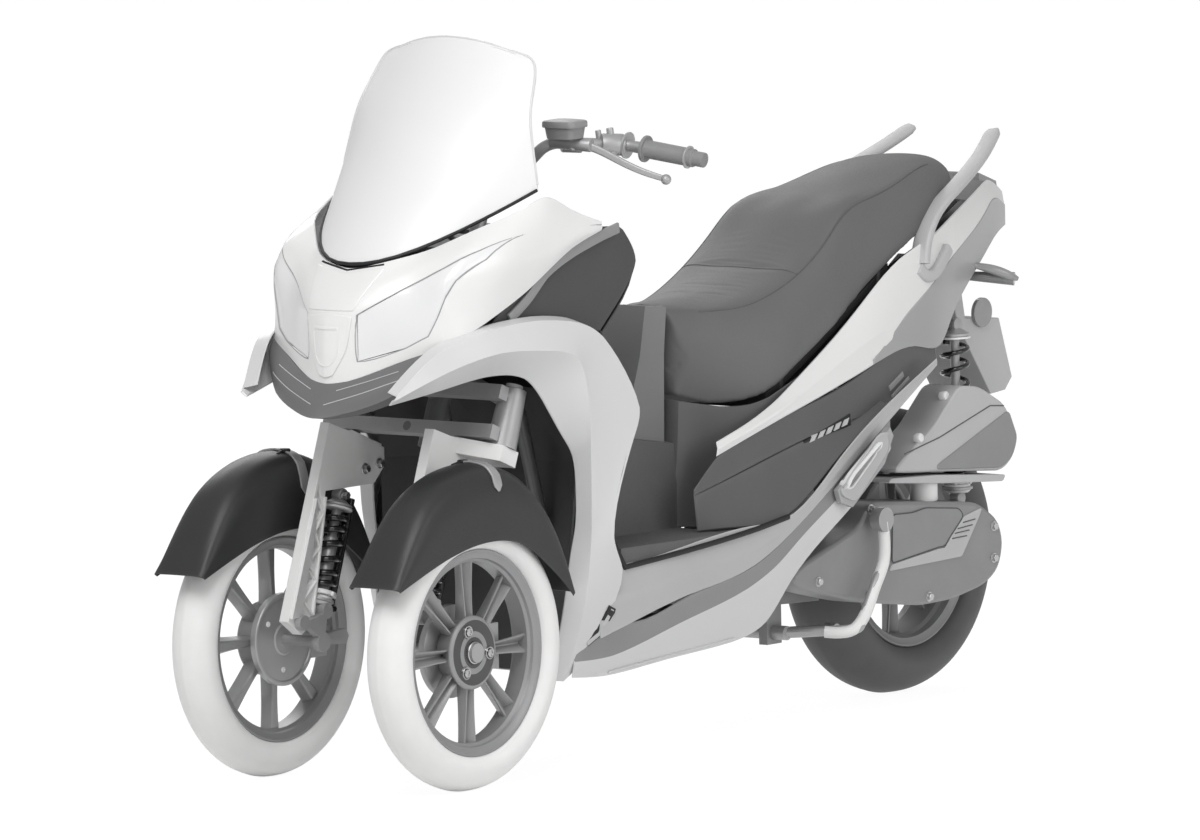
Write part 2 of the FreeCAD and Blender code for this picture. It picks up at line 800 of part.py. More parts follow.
# front fenders: a channel over each tyre, high enough for the wheel's travel, held by a strap
FENDER_SHARES = (
    (1.03, 0.57, 0.98, 0.54),
    (0.83, 0.87, 0.70, 0.64),
    (0.62, 1.12, 0.45, 0.72),
    (0.24, 1.31, 0.12, 0.79),
    (-0.15, 1.35, -0.19, 0.80),
    (-0.47, 1.25, -0.45, 0.74),
    (-0.75, 1.00, -0.70, 0.58),
    (-0.94, 0.65, -0.90, 0.42),
    (-1.03, 0.35, -1.00, 0.32),
)
SHOULDER_SHARES = (0.72, 0.10)
SIDE_SHARES = (0.97, 0.36)
fender_half = size("fender_half_width")


def fender_station(shares):
    """One cross section of the fender from the inner skirt over the crown to the outer skirt."""
    crown_x, crown_z, skirt_x, skirt_z = (share * size("front_tyre_radius") for share in shares)
    half = [Vector(skirt_x, fender_half, skirt_z)]
    for width_share, drop_share in (SIDE_SHARES, SHOULDER_SHARES):
        down = drop_share * (crown_z - skirt_z)
        back = drop_share * (crown_x - skirt_x)
        half.append(Vector(crown_x - back, width_share * fender_half, crown_z - down))
    line = half + [Vector(crown_x, 0, crown_z)] + [flip(point) for point in half[::-1]]
    return [front_axle + point for point in line]


fender = skin([fender_station(item) for item in FENDER_SHARES], size("fender_wall"), front_axle)


def ribbon(points, wall, depth):
    """A band of even wall that follows points in a plane across the depth."""
    pushed = []
    last = len(points) - 1
    for index, point in enumerate(points):
        along = points[min(index + 1, last)] - points[max(index - 1, 0)]
        pushed.append(point + along.cross(depth).normalize() * wall)
    return prism(points + pushed[::-1], depth)


strap_line = fender_station(FENDER_SHARES[len(FENDER_SHARES) // 2])[::-1]
strap_gap = size("seat_gap")
strap_x = strap_line[3].x - size("strap_width") / 2
strap_lift = strap_gap
strap_points = [Vector(strap_x, leg_y + half_wall + strap_gap, strap_line[1].z)]
strap_points.append(Vector(strap_x, strap_line[1].y - strap_lift, strap_line[1].z + strap_lift))
strap_points.append(Vector(strap_x, strap_line[2].y - strap_gap, strap_line[2].z + strap_lift))
strap_points.append(Vector(strap_x, strap_line[3].y, strap_line[3].z + strap_lift))
strap_points.append(Vector(strap_x, strap_line[4].y + strap_gap, strap_line[4].z + strap_lift))
strap_points.append(Vector(strap_x, strap_line[5].y + strap_lift, strap_line[5].z))
strap_points.append(Vector(strap_x, strap_line[5].y + strap_lift, strap_line[5].z - size("strap_width")))
strap = ribbon(strap_points, -size("strap_wall"), Vector(size("strap_width"), 0, 0))
strap = trimmed(strap, [fender], strap_points[3])
strapped = Part.makeCompound([fender, strap])
keep("left_fender", strapped)
keep("right_fender", mirrored(strapped))

# handlebar: column shaft, clamp, bent bar, grips and bar ends
BAR_HEIGHT_SHARE = 1.078
BAR_SHARES = (
    (0.0, 0.0, 0.0),
    (0.006, 0.22, 0.006),
    (0.051, 0.50, 0.072),
    (0.520, 0.86, 0.061),
    (0.620, 1.52, 0.037),
)
bar_middle = column(BAR_HEIGHT_SHARE * size("hull_height")) + Vector(-size("column_tube_wall"), 0, 0)


def bar_spot(shares):
    """A point on the steering side: shares of the hull's half width back and out, of its height up."""
    back_share, side_share, rise_share = shares
    return bar_middle + Vector(
        -back_share * size("hull_half_width"),
        side_share * size("hull_half_width"),
        rise_share * size("hull_height"),
    )


bar_points = [bar_spot(item) for item in BAR_SHARES]
left_bar = bent_rod(bar_points, size("bar_radius"), size("bar_bend"))
CLAMP_SHARE = 1.050
shaft_top = column(CLAMP_SHARE * size("hull_height"))
shaft = rod(column_low - steer_up * (2 * size("head_wall")), shaft_top, size("column_radius"))
clamp_half = 2 * size("column_radius")
clamp = prism(
    [
        shaft_top + Vector(2 * size("bar_radius"), -clamp_half, 0),
        shaft_top + Vector(2 * size("bar_radius"), clamp_half, 0),
        Vector(bar_points[0].x - 2 * size("bar_radius"), clamp_half, bar_points[0].z),
        Vector(bar_points[0].x - 2 * size("bar_radius"), -clamp_half, bar_points[0].z),
    ],
    steer_up * (-2 * size("bar_radius")),
)
grip_line = (bar_points[4] - bar_points[3]).normalize()
flange_end = bar_points[3] + grip_line * size("bar_bend")
grip_length = (bar_points[4] - flange_end).Length
grip_flange = rod(flange_end, flange_end + grip_line * size("grip_flange_wall"), size("grip_flange_radius"))
grip = rod(flange_end, flange_end + grip_line * (grip_length - 2 * size("bar_radius")), size("grip_radius"))
bar_end = rod(bar_points[4] - grip_line * (2 * size("bar_radius")), bar_points[4], size("bar_end_radius"))
bar = left_bar.fuse([mirrored(left_bar), shaft, clamp])
left_grip = [grip_flange, grip, bar_end]
keep("handlebar", bar.cut(left_grip + [mirrored(item) for item in left_grip]))
keep("grips", both_sides(grip_flange.fuse([grip, bar_end])))
CYLINDER_SHARES = (0.042, 0.52, 0.098)
LEVER_SHARES = ((0.128, 0.72, 0.084), (0.197, 0.80, 0.065), (0.304, 1.10, 0.027), (0.398, 1.32, 0.006))
MIRROR_HOLE_SHARES = (-0.011, 0.72, 0.0)
cylinder_low = bar_spot(CYLINDER_SHARES) - Vector(
    size("cylinder_depth") / 2, 0, size("cylinder_height") / 2
)
cylinder = Part.makeBox(
    size("cylinder_depth"), size("cylinder_length"), size("cylinder_height"), cylinder_low
)
mirror_mouth = bar_spot(MIRROR_HOLE_SHARES)
mirror_mouth.z = cylinder_low.z + size("cylinder_height")
mirror_hole = rod(
    mirror_mouth, mirror_mouth - Vector(0, 0, size("mirror_hole_depth")), size("mirror_hole_radius")
)
lever_points = [bar_spot(item) for item in LEVER_SHARES]
lever_root = rod(lever_points[0], lever_points[1], 2 * size("lever_radius"))
knuckle = Part.makeSphere(2 * size("lever_radius"), lever_points[1])
lever = rod(lever_points[1], lever_points[3], size("lever_radius"))
ball = Part.makeSphere(size("lever_ball_radius"), lever_points[3])
control = cylinder.fuse([lever_root, knuckle, lever, ball]).cut([left_bar, mirror_hole])
keep("brake_controls", both_sides(control))



def across(shares):
    """A row from the left edge to the middle line, completed on the other side."""
    half = spots(shares)
    return half + [flip(point) for point in half[-2::-1]]


# windscreen: rows from the lower edge to the top, each an arch across the machine
core = spot((0.30, 0.0, 0.80))
SCREEN_ROW_SHARES = (
    (-0.014, 0.960, 0.912, 0.171, 0.121, 2.2),
    (0.036, 1.060, 0.900, 0.121, 0.055, 2.1),
    (0.083, 1.150, 0.848, 0.076, 0.020, 2.0),
    (0.117, 1.220, 0.792, 0.043, 0.005, 2.0),
    (0.152, 1.290, 0.712, 0.022, -0.008, 2.0),
    (0.181, 1.352, 0.560, -0.002, -0.030, 2.0),
)
ACROSS_SHARES = (-1.0, -0.85, -0.6, -0.3, 0.0, 0.3, 0.6, 0.85, 1.0)


def screen_row(shares):
    """One arch of the windscreen: middle place, half width, how far its ends sweep back and up."""
    x_share, z_share, width_share, back_share, rise_share, power = shares
    row = []
    for across in ACROSS_SHARES:
        bend = abs(across) ** power
        row.append(spot((x_share + back_share * bend, across * width_share, z_share + rise_share * bend)))
    return row


screen_rows = [screen_row(item) for item in SCREEN_ROW_SHARES]
screen = skin(screen_rows, size("screen_wall"), spot((0.30, 0.0, 1.10)))
keep("windscreen", screen)

# nose fairing: ribs from the middle to the rider's left, each from the lower edge upwards
NOSE_RIB_SHARES = (
    (
        (-0.063, 0.0, 0.746),
        (-0.064, 0.0, 0.800),
        (-0.058, 0.0, 0.871),
        (-0.038, 0.0, 0.915),
        (-0.017, 0.0, 0.951),
    ),
    (
        (-0.056, 0.18, 0.752),
        (-0.053, 0.18, 0.795),
        (-0.051, 0.20, 0.875),
        (-0.034, 0.22, 0.918),
        (-0.008, 0.26, 0.962),
    ),
    (
        (-0.025, 0.56, 0.790),
        (-0.019, 0.60, 0.838),
        (-0.008, 0.60, 0.915),
        (0.008, 0.58, 0.960),
        (0.034, 0.56, 0.988),
    ),
    (
        (-0.001, 0.80, 0.813),
        (0.003, 0.80, 0.860),
        (0.006, 0.82, 0.935),
        (0.036, 0.84, 0.985),
        (0.070, 0.76, 1.018),
    ),
    (
        (0.055, 0.93, 0.853),
        (0.060, 0.96, 0.900),
        (0.076, 1.01, 0.958),
        (0.098, 0.98, 1.003),
        (0.122, 0.90, 1.046),
    ),
    (
        (0.123, 0.94, 0.845),
        (0.126, 1.00, 0.905),
        (0.134, 1.02, 0.956),
        (0.150, 1.00, 1.005),
        (0.163, 0.955, 1.066),
    ),
    (
        (0.205, 0.95, 0.880),
        (0.206, 1.00, 0.930),
        (0.208, 1.01, 0.968),
        (0.210, 0.99, 1.005),
        (0.212, 0.96, 1.036),
    ),
    (
        (0.262, 0.97, 0.960),
        (0.262, 0.985, 0.975),
        (0.262, 0.985, 0.985),
        (0.262, 0.985, 0.995),
        (0.262, 0.98, 1.006),
    ),
)
nose_ribs = around_centre([spots(rib) for rib in NOSE_RIB_SHARES])
nose = skin(nose_ribs, size("panel_wall"), core)
LAMP_SHARES = ((0.16, 0.875), (0.92, 1.004), (0.84, 0.935), (0.66, 0.836), (0.46, 0.800), (0.16, 0.792))
LAMP_DEPTH_SHARE = 0.40


def lamp_cutter(grow):
    """The headlight's front outline pushed rearward, grown by a gap all round."""
    middle_y = sum(y_share for y_share, _ in LAMP_SHARES) / len(LAMP_SHARES)
    middle_z = sum(z_share for _, z_share in LAMP_SHARES) / len(LAMP_SHARES)
    centre = spot((-0.10, middle_y, middle_z))
    corners = []
    for y_share, z_share in LAMP_SHARES:
        point = spot((-0.10, y_share, z_share))
        corners.append(point + (point - centre).normalize() * grow)
    return prism(corners, Vector(-LAMP_DEPTH_SHARE * size("wheelbase"), 0, 0))


lamp = nose.common(lamp_cutter(0))
nose = nose.cut(lamp_cutter(size("seat_gap"))).cut(mirrored(lamp_cutter(size("seat_gap"))))
keep("nose_fairing", nose)
keep("headlights", both_sides(lamp))

# beak: the chin strip below the fairing
BEAK_RIB_SHARES = (
    ((-0.0632, 0.0, 0.7458), (-0.080, 0.0, 0.712), (-0.089, 0.0, 0.686), (-0.060, 0.0, 0.680)),
    ((-0.0562, 0.18, 0.7518), (-0.076, 0.16, 0.716), (-0.083, 0.14, 0.690), (-0.052, 0.14, 0.684)),
    ((-0.0252, 0.56, 0.7898), (-0.050, 0.54, 0.750), (-0.054, 0.52, 0.722), (-0.026, 0.50, 0.716)),
    ((-0.0012, 0.80, 0.8128), (-0.014, 0.78, 0.790), (-0.018, 0.76, 0.775), (0.004, 0.74, 0.770)),
)
beak_ribs = around_centre([spots(rib) for rib in BEAK_RIB_SHARES])
beak = skin(beak_ribs, size("panel_wall"), spot((0.10, 0.0, 0.78)))
beak = trimmed(beak, [nose], spot((-0.05, 0.0, 0.72)))
keep("beak", beak)

# wings: the arched side panels from the beak over the front wheels down to the floor
WING_STATION_SHARES = (
    ((-0.078, 0.68, 0.716), (-0.080, 0.72, 0.724), (-0.074, 0.72, 0.734)),
    ((-0.008, 0.78, 0.733), (-0.012, 0.90, 0.770), (-0.023, 0.86, 0.806)),
    ((0.060, 0.86, 0.749), (0.057, 1.04, 0.796), (0.043, 0.99, 0.838)),
    ((0.121, 0.94, 0.739), (0.136, 1.12, 0.790), (0.127, 1.05, 0.846)),
    ((0.150, 0.96, 0.695), (0.184, 1.14, 0.765), (0.190, 1.07, 0.835)),
    ((0.184, 0.96, 0.626), (0.200, 1.14, 0.680), (0.239, 1.09, 0.800)),
    ((0.206, 0.96, 0.556), (0.209, 1.10, 0.570), (0.298, 1.12, 0.662)),
    ((0.207, 0.96, 0.485), (0.210, 1.09, 0.490), (0.288, 1.12, 0.612)),
    ((0.203, 0.92, 0.400), (0.212, 1.06, 0.405), (0.245, 1.12, 0.430)),
    ((0.197, 0.90, 0.332), (0.210, 1.03, 0.335), (0.268, 1.08, 0.366)),
    ((0.189, 0.78, 0.171), (0.205, 0.82, 0.166), (0.216, 0.83, 0.176)),
)
wing = skin([spots(item) for item in WING_STATION_SHARES], size("panel_wall"), spot((0.30, 0.2, 0.60)))
keep("wings", both_sides(wing))

# leg shield: dark sides behind the fairing and the rider-side wall between them
SHIELD_SIDE_SHARES = (
    ((0.126, 0.925, 0.845), (0.208, 0.93, 0.878), (0.265, 0.95, 0.958), (0.270, 0.955, 1.002)),
    ((0.190, 0.935, 0.838), (0.245, 0.95, 0.880), (0.300, 0.95, 0.950), (0.290, 0.94, 0.998)),
    ((0.262, 0.93, 0.803), (0.300, 0.93, 0.860), (0.337, 0.92, 0.925), (0.318, 0.90, 0.985)),
)
shield_side_ribs = [spots(item) for item in SHIELD_SIDE_SHARES]
shield_side = skin(shield_side_ribs, size("panel_wall"), spot((0.20, 0.0, 0.90)))
SHIELD_WALL_SHARES = (
    (
        (0.242, 1.07, 0.800),
        (0.262, 0.96, 0.805),
        (0.320, 0.60, 0.800),
        (0.345, 0.30, 0.790),
        (0.350, 0.0, 0.785),
    ),
    (
        (0.290, 1.10, 0.662),
        (0.300, 0.98, 0.662),
        (0.325, 0.60, 0.662),
        (0.345, 0.30, 0.662),
        (0.350, 0.0, 0.662),
    ),
    (
        (0.243, 1.10, 0.430),
        (0.262, 0.98, 0.430),
        (0.285, 0.60, 0.430),
        (0.290, 0.45, 0.430),
        (0.292, 0.0, 0.430),
    ),
    (
        (0.262, 1.05, 0.366),
        (0.275, 0.98, 0.366),
        (0.290, 0.60, 0.366),
        (0.296, 0.45, 0.366),
        (0.298, 0.0, 0.366),
    ),
)
wall_rows = [across(row) for row in SHIELD_WALL_SHARES]
shield_wall = trimmed(
    skin(wall_rows, size("panel_wall"), spot((0.10, 0.0, 0.60))),
    [wing, mirrored(wing)],
    spot((0.30, 0.0, 0.60)),
)
SHIELD_UPPER_SHARES = (
    ((0.262, 0.93, 0.808), (0.337, 0.90, 0.925), (0.318, 0.88, 0.985)),
    ((0.320, 0.60, 0.806), (0.352, 0.60, 0.900), (0.325, 0.60, 0.970)),
    ((0.350, 0.0, 0.792), (0.360, 0.0, 0.890), (0.330, 0.0, 0.960)),
)
shield_upper_ribs = around_centre([spots(item) for item in SHIELD_UPPER_SHARES[::-1]])
shield_upper = skin(shield_upper_ribs, size("panel_wall"), spot((0.10, 0.0, 0.90)))
shield_sides = [
    trimmed(shield_side, [shield_upper], spot((0.2, 0.9, 0.9))),
    trimmed(mirrored(shield_side), [shield_upper], spot((0.2, -0.9, 0.9))),
]
keep("leg_shield", Part.makeCompound([shield_wall, shield_upper] + shield_sides))

# dash deck between windscreen and leg shield, open round the column
DASH_SHARES = (
    (0.035, 0.30, 0.985),
    (0.075, 0.66, 0.985),
    (0.150, 0.86, 0.985),
    (0.255, 0.90, 0.985),
    (0.312, 0.86, 0.985),
)
dash_outline = spots(DASH_SHARES)
dash_outline += [flip(point) for point in dash_outline[::-1]]
dash = prism(dash_outline, Vector(0, 0, -2 * size("panel_wall")))
HOLE_SHARES = (0.9, 1.1)
hole_ends = [column(z_share * size("hull_height")) for z_share in HOLE_SHARES]
dash_hole = rod(hole_ends[0], hole_ends[1], 3 * size("column_radius"))
dash = dash.cut(dash_hole)
keep("dash", dash)

# inner wall: the dark panel behind the front wheels
INNER_WALL_SHARES = (
    ((0.196, 0.74, 0.171), (0.240, 0.55, 0.171), (0.250, 0.0, 0.171)),
    ((0.206, 0.86, 0.332), (0.262, 0.60, 0.332), (0.270, 0.0, 0.332)),
    ((0.216, 0.92, 0.556), (0.275, 0.60, 0.556), (0.280, 0.0, 0.556)),
    ((0.200, 0.92, 0.690), (0.270, 0.60, 0.690), (0.280, 0.0, 0.690)),
)
inner_rows = [across(row) for row in INNER_WALL_SHARES]
inner_wall = skin(inner_rows, size("panel_wall"), spot((0.5, 0.0, 0.40)))
inner_wall = trimmed(inner_wall, [frame_front, frame_rails], spot((0.26, 0.0, 0.40)))
keep("inner_wall", inner_wall)

# seat base: front wall and corners under the seat
BASE_SHARES = (
    ((0.640, 0.70, 0.398), (0.520, 0.52, 0.400), (0.492, 0.42, 0.401), (0.492, 0.0, 0.401)),
    ((0.640, 0.70, 0.520), (0.545, 0.50, 0.500), (0.512, 0.40, 0.520), (0.512, 0.0, 0.520)),
    ((0.640, 0.66, 0.612), (0.580, 0.48, 0.580), (0.530, 0.36, 0.590), (0.530, 0.0, 0.600)),
)
base_rows = [across(row) for row in BASE_SHARES]
seat_base = skin(base_rows, size("panel_wall"), spot((0.8, 0.0, 0.50)))
keep("seat_base", seat_base)

# floor and tunnel
FLOOR_SHARES = (
    (
        (0.285, 1.00, 0.362),
        (0.285, 0.98, 0.400),
        (0.285, 0.46, 0.402),
        (0.285, 0.40, 0.500),
        (0.285, 0.30, 0.596),
        (0.285, 0.0, 0.606),
    ),
    (
        (0.400, 1.00, 0.374),
        (0.400, 0.98, 0.398),
        (0.400, 0.46, 0.400),
        (0.400, 0.41, 0.490),
        (0.400, 0.32, 0.580),
        (0.400, 0.0, 0.592),
    ),
    (
        (0.486, 1.00, 0.384),
        (0.486, 0.98, 0.397),
        (0.500, 0.46, 0.399),
        (0.520, 0.42, 0.480),
        (0.535, 0.36, 0.548),
        (0.540, 0.0, 0.562),
    ),
)
floor_rows = [across(row) for row in FLOOR_SHARES]
SIDE_FLOOR_SHARES = (
    ((0.4862, 0.56, 0.397), (0.4862, 1.003, 0.395), (0.4862, 1.003, 0.388), (0.4862, 0.56, 0.389)),
    ((0.586, 0.86, 0.400), (0.586, 1.003, 0.400), (0.586, 1.003, 0.393), (0.586, 0.86, 0.393)),
)
side_floor = Part.makeLoft([loop(spots(item)) for item in SIDE_FLOOR_SHARES], True, True)
floor = skin(floor_rows, size("panel_wall"), spot((0.4, 0.0, 0.10)))
floor = trimmed(floor, [seat_base, shield_wall], spot((0.42, 0.0, 0.45)))
side_floors = [
    trimmed(side_floor, [floor], spot((0.55, 0.9, 0.4))),
    trimmed(mirrored(side_floor), [floor], spot((0.55, -0.9, 0.4))),
]
keep("floor", Part.makeCompound([floor] + side_floors))

# console between the rider's knees
CONSOLE_SHARES = (
    ((0.430, 0.28, 0.550), (0.505, 0.32, 0.550), (0.505, -0.32, 0.550), (0.430, -0.28, 0.550)),
    ((0.470, 0.28, 0.720), (0.508, 0.32, 0.720), (0.508, -0.32, 0.720), (0.470, -0.28, 0.720)),
    ((0.486, 0.26, 0.812), (0.518, 0.30, 0.806), (0.518, -0.30, 0.806), (0.486, -0.26, 0.812)),
)
console = Part.makeLoft([loop(spots(item)) for item in CONSOLE_SHARES], True, True)
console = trimmed(console, [floor], spot((0.49, 0.0, 0.72)))
hinge = spot((0.5245, 0.0, 0.8))
pin_radius = size("seat_hinge_radius")
HINGE_PIN_SHARE = 0.14
HINGE_EAR_SHARE = 0.11
pin_half = HINGE_PIN_SHARE * size("hull_half_width")
ear_start = HINGE_EAR_SHARE * size("hull_half_width")


def hinge_ear(back_x, low_y, high_y):
    """A flat ear from a wall to the hinge line."""
    corners = [
        Vector(hinge.x, low_y, hinge.z + pin_radius + size("seat_gap")),
        Vector(back_x, low_y, hinge.z - pin_radius),
        Vector(back_x, low_y, hinge.z - 4 * pin_radius),
        Vector(hinge.x, low_y, hinge.z - pin_radius - size("seat_gap")),
    ]
    return prism(corners, Vector(0, high_y - low_y, 0))


hinge_pin = rod(hinge - steer_side * pin_half, hinge + steer_side * pin_half, pin_radius)
console_x = hinge.x + 4 * pin_radius
ears = [hinge_ear(console_x, ear_start, pin_half), hinge_ear(console_x, -pin_half, -ear_start)]
keep("console", console.fuse(ears + [hinge_pin]))

# seat: sections from the nose to the tail, top, shoulder and lower edge
SEAT_SHARES = (
    (0.530, 0.24, 0.795, 0.32, 0.740, 0.30, 0.640),
    (0.571, 0.34, 0.793, 0.46, 0.700, 0.42, 0.620),
    (0.635, 0.46, 0.797, 0.66, 0.662, 0.64, 0.630),
    (0.673, 0.50, 0.812, 0.712, 0.694, 0.66, 0.658),
    (0.717, 0.528, 0.840, 0.704, 0.734, 0.66, 0.694),
    (0.775, 0.536, 0.897, 0.660, 0.778, 0.64, 0.738),
    (0.819, 0.52, 0.948, 0.608, 0.832, 0.60, 0.774),
    (0.880, 0.488, 0.968, 0.600, 0.882, 0.58, 0.826),
    (0.937, 0.448, 0.985, 0.592, 0.912, 0.57, 0.870),
    (1.016, 0.36, 1.008, 0.500, 0.942, 0.46, 0.904),
    (1.079, 0.20, 1.000, 0.300, 0.960, 0.27, 0.935),
)
CROWN_SHARE = 0.012
seat_sections = []
for x_share, top_y, top_z, bulge_y, bulge_z, low_y, low_z in SEAT_SHARES:
    half = [(x_share, low_y, low_z), (x_share, bulge_y, bulge_z), (x_share, top_y, top_z)]
    line = spots(half) + [spot((x_share, 0.0, top_z + CROWN_SHARE))] + [flip(p) for p in spots(half[::-1])]
    seat_sections.append(loop(line))
seat = Part.makeLoft(seat_sections, True, True)
seat_ears = []
for side in (-1, 1):
    low_y = side * ear_start - side * pin_radius
    seat_ears.append(hinge_ear(hinge.x - 4 * pin_radius, low_y, low_y - side * 2 * pin_radius))
hinge_hole = rod(
    hinge - steer_side * pin_half, hinge + steer_side * pin_half, pin_radius + size("seat_gap")
)
seat = seat.fuse(seat_ears).cut(hinge_hole)
keep("seat", seat)

# storage tub under the seat
TUB_SHARES = ((0.650, 0.56, 0.600), (0.900, 0.52, 0.640))
TUB_RIM_SHARES = ((0.650, 0.58, 0.628), (0.900, 0.54, 0.836))
tub_floor = spots(TUB_SHARES)


def tub_rim_share(x_share):
    """The tub rim's height share at one place along the machine."""
    (front_x, _, front_z), (rear_x, _, rear_z) = TUB_RIM_SHARES
    return front_z + (x_share - front_x) / (rear_x - front_x) * (rear_z - front_z)


tub_rim = spots(TUB_RIM_SHARES)
tub_bottom = [tub_floor[0], tub_floor[1], flip(tub_floor[1]), flip(tub_floor[0])]
tub_top = [tub_rim[0], tub_rim[1], flip(tub_rim[1]), flip(tub_rim[0])]
tub_outer = Part.makeLoft([loop(tub_bottom), loop(tub_top)], True, True)
tub_centre = (tub_floor[0] + flip(tub_floor[1])) / 2
tub_centre.y = 0


def shrunk(point, lift):
    """A tub corner moved inwards by the wall and up."""
    inward = Vector(
        math.copysign(size("tub_wall"), tub_centre.x - point.x),
        -math.copysign(size("tub_wall"), point.y),
        lift,
    )
    return point + inward


tub_inner = Part.makeLoft(
    [
        loop([shrunk(point, size("tub_wall")) for point in tub_bottom]),
        loop([shrunk(point, 2 * size("tub_wall")) for point in tub_top]),
    ],
    True,
    True,
)
BUFFER_SHARES = ((0.68, 0.565), (0.88, 0.535))
BUFFER_DROP_SHARE = 0.024
lowered_seat = seat.copy()
lowered_seat.translate(Vector(0, 0, -size("seat_gap")))
buffers = []
for x_share, y_share in BUFFER_SHARES:
    rim_share = tub_rim_share(x_share)
    low = spot((x_share, y_share, rim_share - BUFFER_DROP_SHARE))
    high = spot((x_share, y_share, rim_share + BUFFER_DROP_SHARE))
    buffers.append(trimmed(rod(low, high, size("stay_radius")), [lowered_seat], low))
buffers += [mirrored(buffer) for buffer in buffers]
keep("storage_tub", tub_outer.cut(tub_inner).fuse(buffers))

# white tail side panels
TAIL_SHARES = (
    ((0.510, 0.80, 0.560), (0.510, 0.81, 0.548), (0.510, 0.80, 0.536)),
    ((0.635, 0.74, 0.618), (0.635, 0.82, 0.606), (0.635, 0.82, 0.590)),
    ((0.673, 0.72, 0.645), (0.673, 0.81, 0.626), (0.673, 0.82, 0.605)),
    ((0.811, 0.66, 0.758), (0.811, 0.78, 0.706), (0.811, 0.82, 0.663)),
    ((0.905, 0.63, 0.842), (0.905, 0.70, 0.744), (0.905, 0.76, 0.684)),
    ((0.970, 0.62, 0.876), (0.970, 0.64, 0.792), (0.970, 0.68, 0.674)),
    ((1.016, 0.56, 0.900), (1.016, 0.58, 0.828), (1.016, 0.58, 0.722)),
    ((1.111, 0.42, 0.950), (1.111, 0.46, 0.901), (1.111, 0.44, 0.822)),
    ((1.139, 0.36, 0.958), (1.139, 0.40, 0.922), (1.139, 0.40, 0.850)),
    ((1.187, 0.26, 0.930), (1.187, 0.28, 0.905), (1.187, 0.28, 0.867)),
)
tail_side = skin([spots(item) for item in TAIL_SHARES], size("panel_wall"), spot((0.9, 0.0, 0.70)))
keep("tail_sides", both_sides(tail_side))
TAIL_DECK_SHARES = (
    ((1.096, 0.36, 0.926), (1.096, 0.0, 0.930)),
    ((1.139, 0.33, 0.956), (1.139, 0.0, 0.966)),
    ((1.185, 0.23, 0.930), (1.185, 0.0, 0.938)),
)
deck_rows = [across(row) for row in TAIL_DECK_SHARES]
tail_deck = skin(deck_rows, size("panel_wall"), spot((1.1, 0.0, 0.50)))
keep("tail_deck", tail_deck)
TAIL_LAMP_SHARES = ((1.150, 0.860), (1.186, 0.870), (1.192, 0.900), (1.184, 0.950), (1.150, 0.970))
lamp_corners = [spot((x_share, -0.22, z_share)) for x_share, z_share in TAIL_LAMP_SHARES]
tail_lamp = prism(lamp_corners, flip(spot((0.0, -0.44, 0.0))))
tail_lamp = trimmed(tail_lamp, [tail_deck], spot((1.17, 0.0, 0.89)))

# dark side panels under the white ones
DARK_SHARES = (
    ((0.465, 0.80, 0.478), (0.465, 0.80, 0.470)),
    ((0.510, 0.80, 0.531), (0.510, 0.81, 0.486)),
    ((0.669, 0.81, 0.599), (0.669, 0.82, 0.541)),
    ((0.770, 0.81, 0.636), (0.770, 0.81, 0.565)),
    ((0.844, 0.79, 0.664), (0.844, 0.78, 0.600)),
    ((0.916, 0.74, 0.676), (0.916, 0.74, 0.640)),
    ((0.954, 0.70, 0.668), (0.954, 0.70, 0.655)),
)
dark_side = skin([spots(item) for item in DARK_SHARES], size("panel_wall"), spot((0.8, 0.0, 0.60)))
SKIRT_SHARES = (
    ((0.465, 0.80, 0.466), (0.470, 0.80, 0.402)),
    ((0.510, 0.81, 0.482), (0.510, 0.88, 0.403)),
    ((0.589, 0.82, 0.510), (0.589, 0.98, 0.406)),
    ((0.669, 0.82, 0.537), (0.669, 0.95, 0.460)),
    ((0.718, 0.815, 0.549), (0.718, 0.92, 0.503)),
    ((0.770, 0.80, 0.561), (0.770, 0.89, 0.543)),
    ((0.828, 0.785, 0.590), (0.828, 0.86, 0.584)),
)
skirt = skin([spots(item) for item in SKIRT_SHARES], size("panel_wall"), spot((0.8, 0.0, 0.50)))
keep("dark_sides", both_sides(dark_side))
keep("skirts", both_sides(skirt))

# sills: the light blades from the floor edge up to the tail
SILL_SHARES = (
    ((0.288, 1.01, 0.358), (0.288, 1.03, 0.310), (0.300, 1.00, 0.262)),
    ((0.400, 1.02, 0.372), (0.400, 1.04, 0.335), (0.410, 1.00, 0.296)),
    ((0.536, 1.02, 0.392), (0.536, 1.03, 0.362), (0.536, 1.00, 0.330)),
    ((0.589, 1.02, 0.404), (0.589, 1.02, 0.386), (0.589, 1.00, 0.364)),
    ((0.718, 0.95, 0.502), (0.718, 0.96, 0.486), (0.718, 0.95, 0.468)),
    ((0.828, 0.89, 0.588), (0.828, 0.90, 0.575), (0.828, 0.89, 0.558)),
    ((0.935, 0.82, 0.652), (0.935, 0.82, 0.648), (0.935, 0.82, 0.642)),
)
sill = skin([spots(item) for item in SILL_SHARES], size("panel_wall"), spot((0.6, 0.0, 0.40)))
keep("sills", both_sides(sill))
LOWER_SHARES = (
    ((0.215, 0.98, 0.330), (0.215, 0.86, 0.172)),
    ((0.288, 0.99, 0.262), (0.288, 0.80, 0.162)),
    ((0.410, 0.99, 0.290), (0.410, 0.78, 0.172)),
    ((0.536, 0.99, 0.326), (0.536, 0.77, 0.183)),
    ((0.589, 0.99, 0.360), (0.600, 0.78, 0.210)),
    ((0.637, 0.97, 0.396), (0.637, 0.84, 0.281)),
    ((0.718, 0.94, 0.464), (0.718, 0.92, 0.384)),
    ((0.770, 0.92, 0.510), (0.770, 0.90, 0.430)),
    ((0.828, 0.88, 0.554), (0.828, 0.88, 0.500)),
)
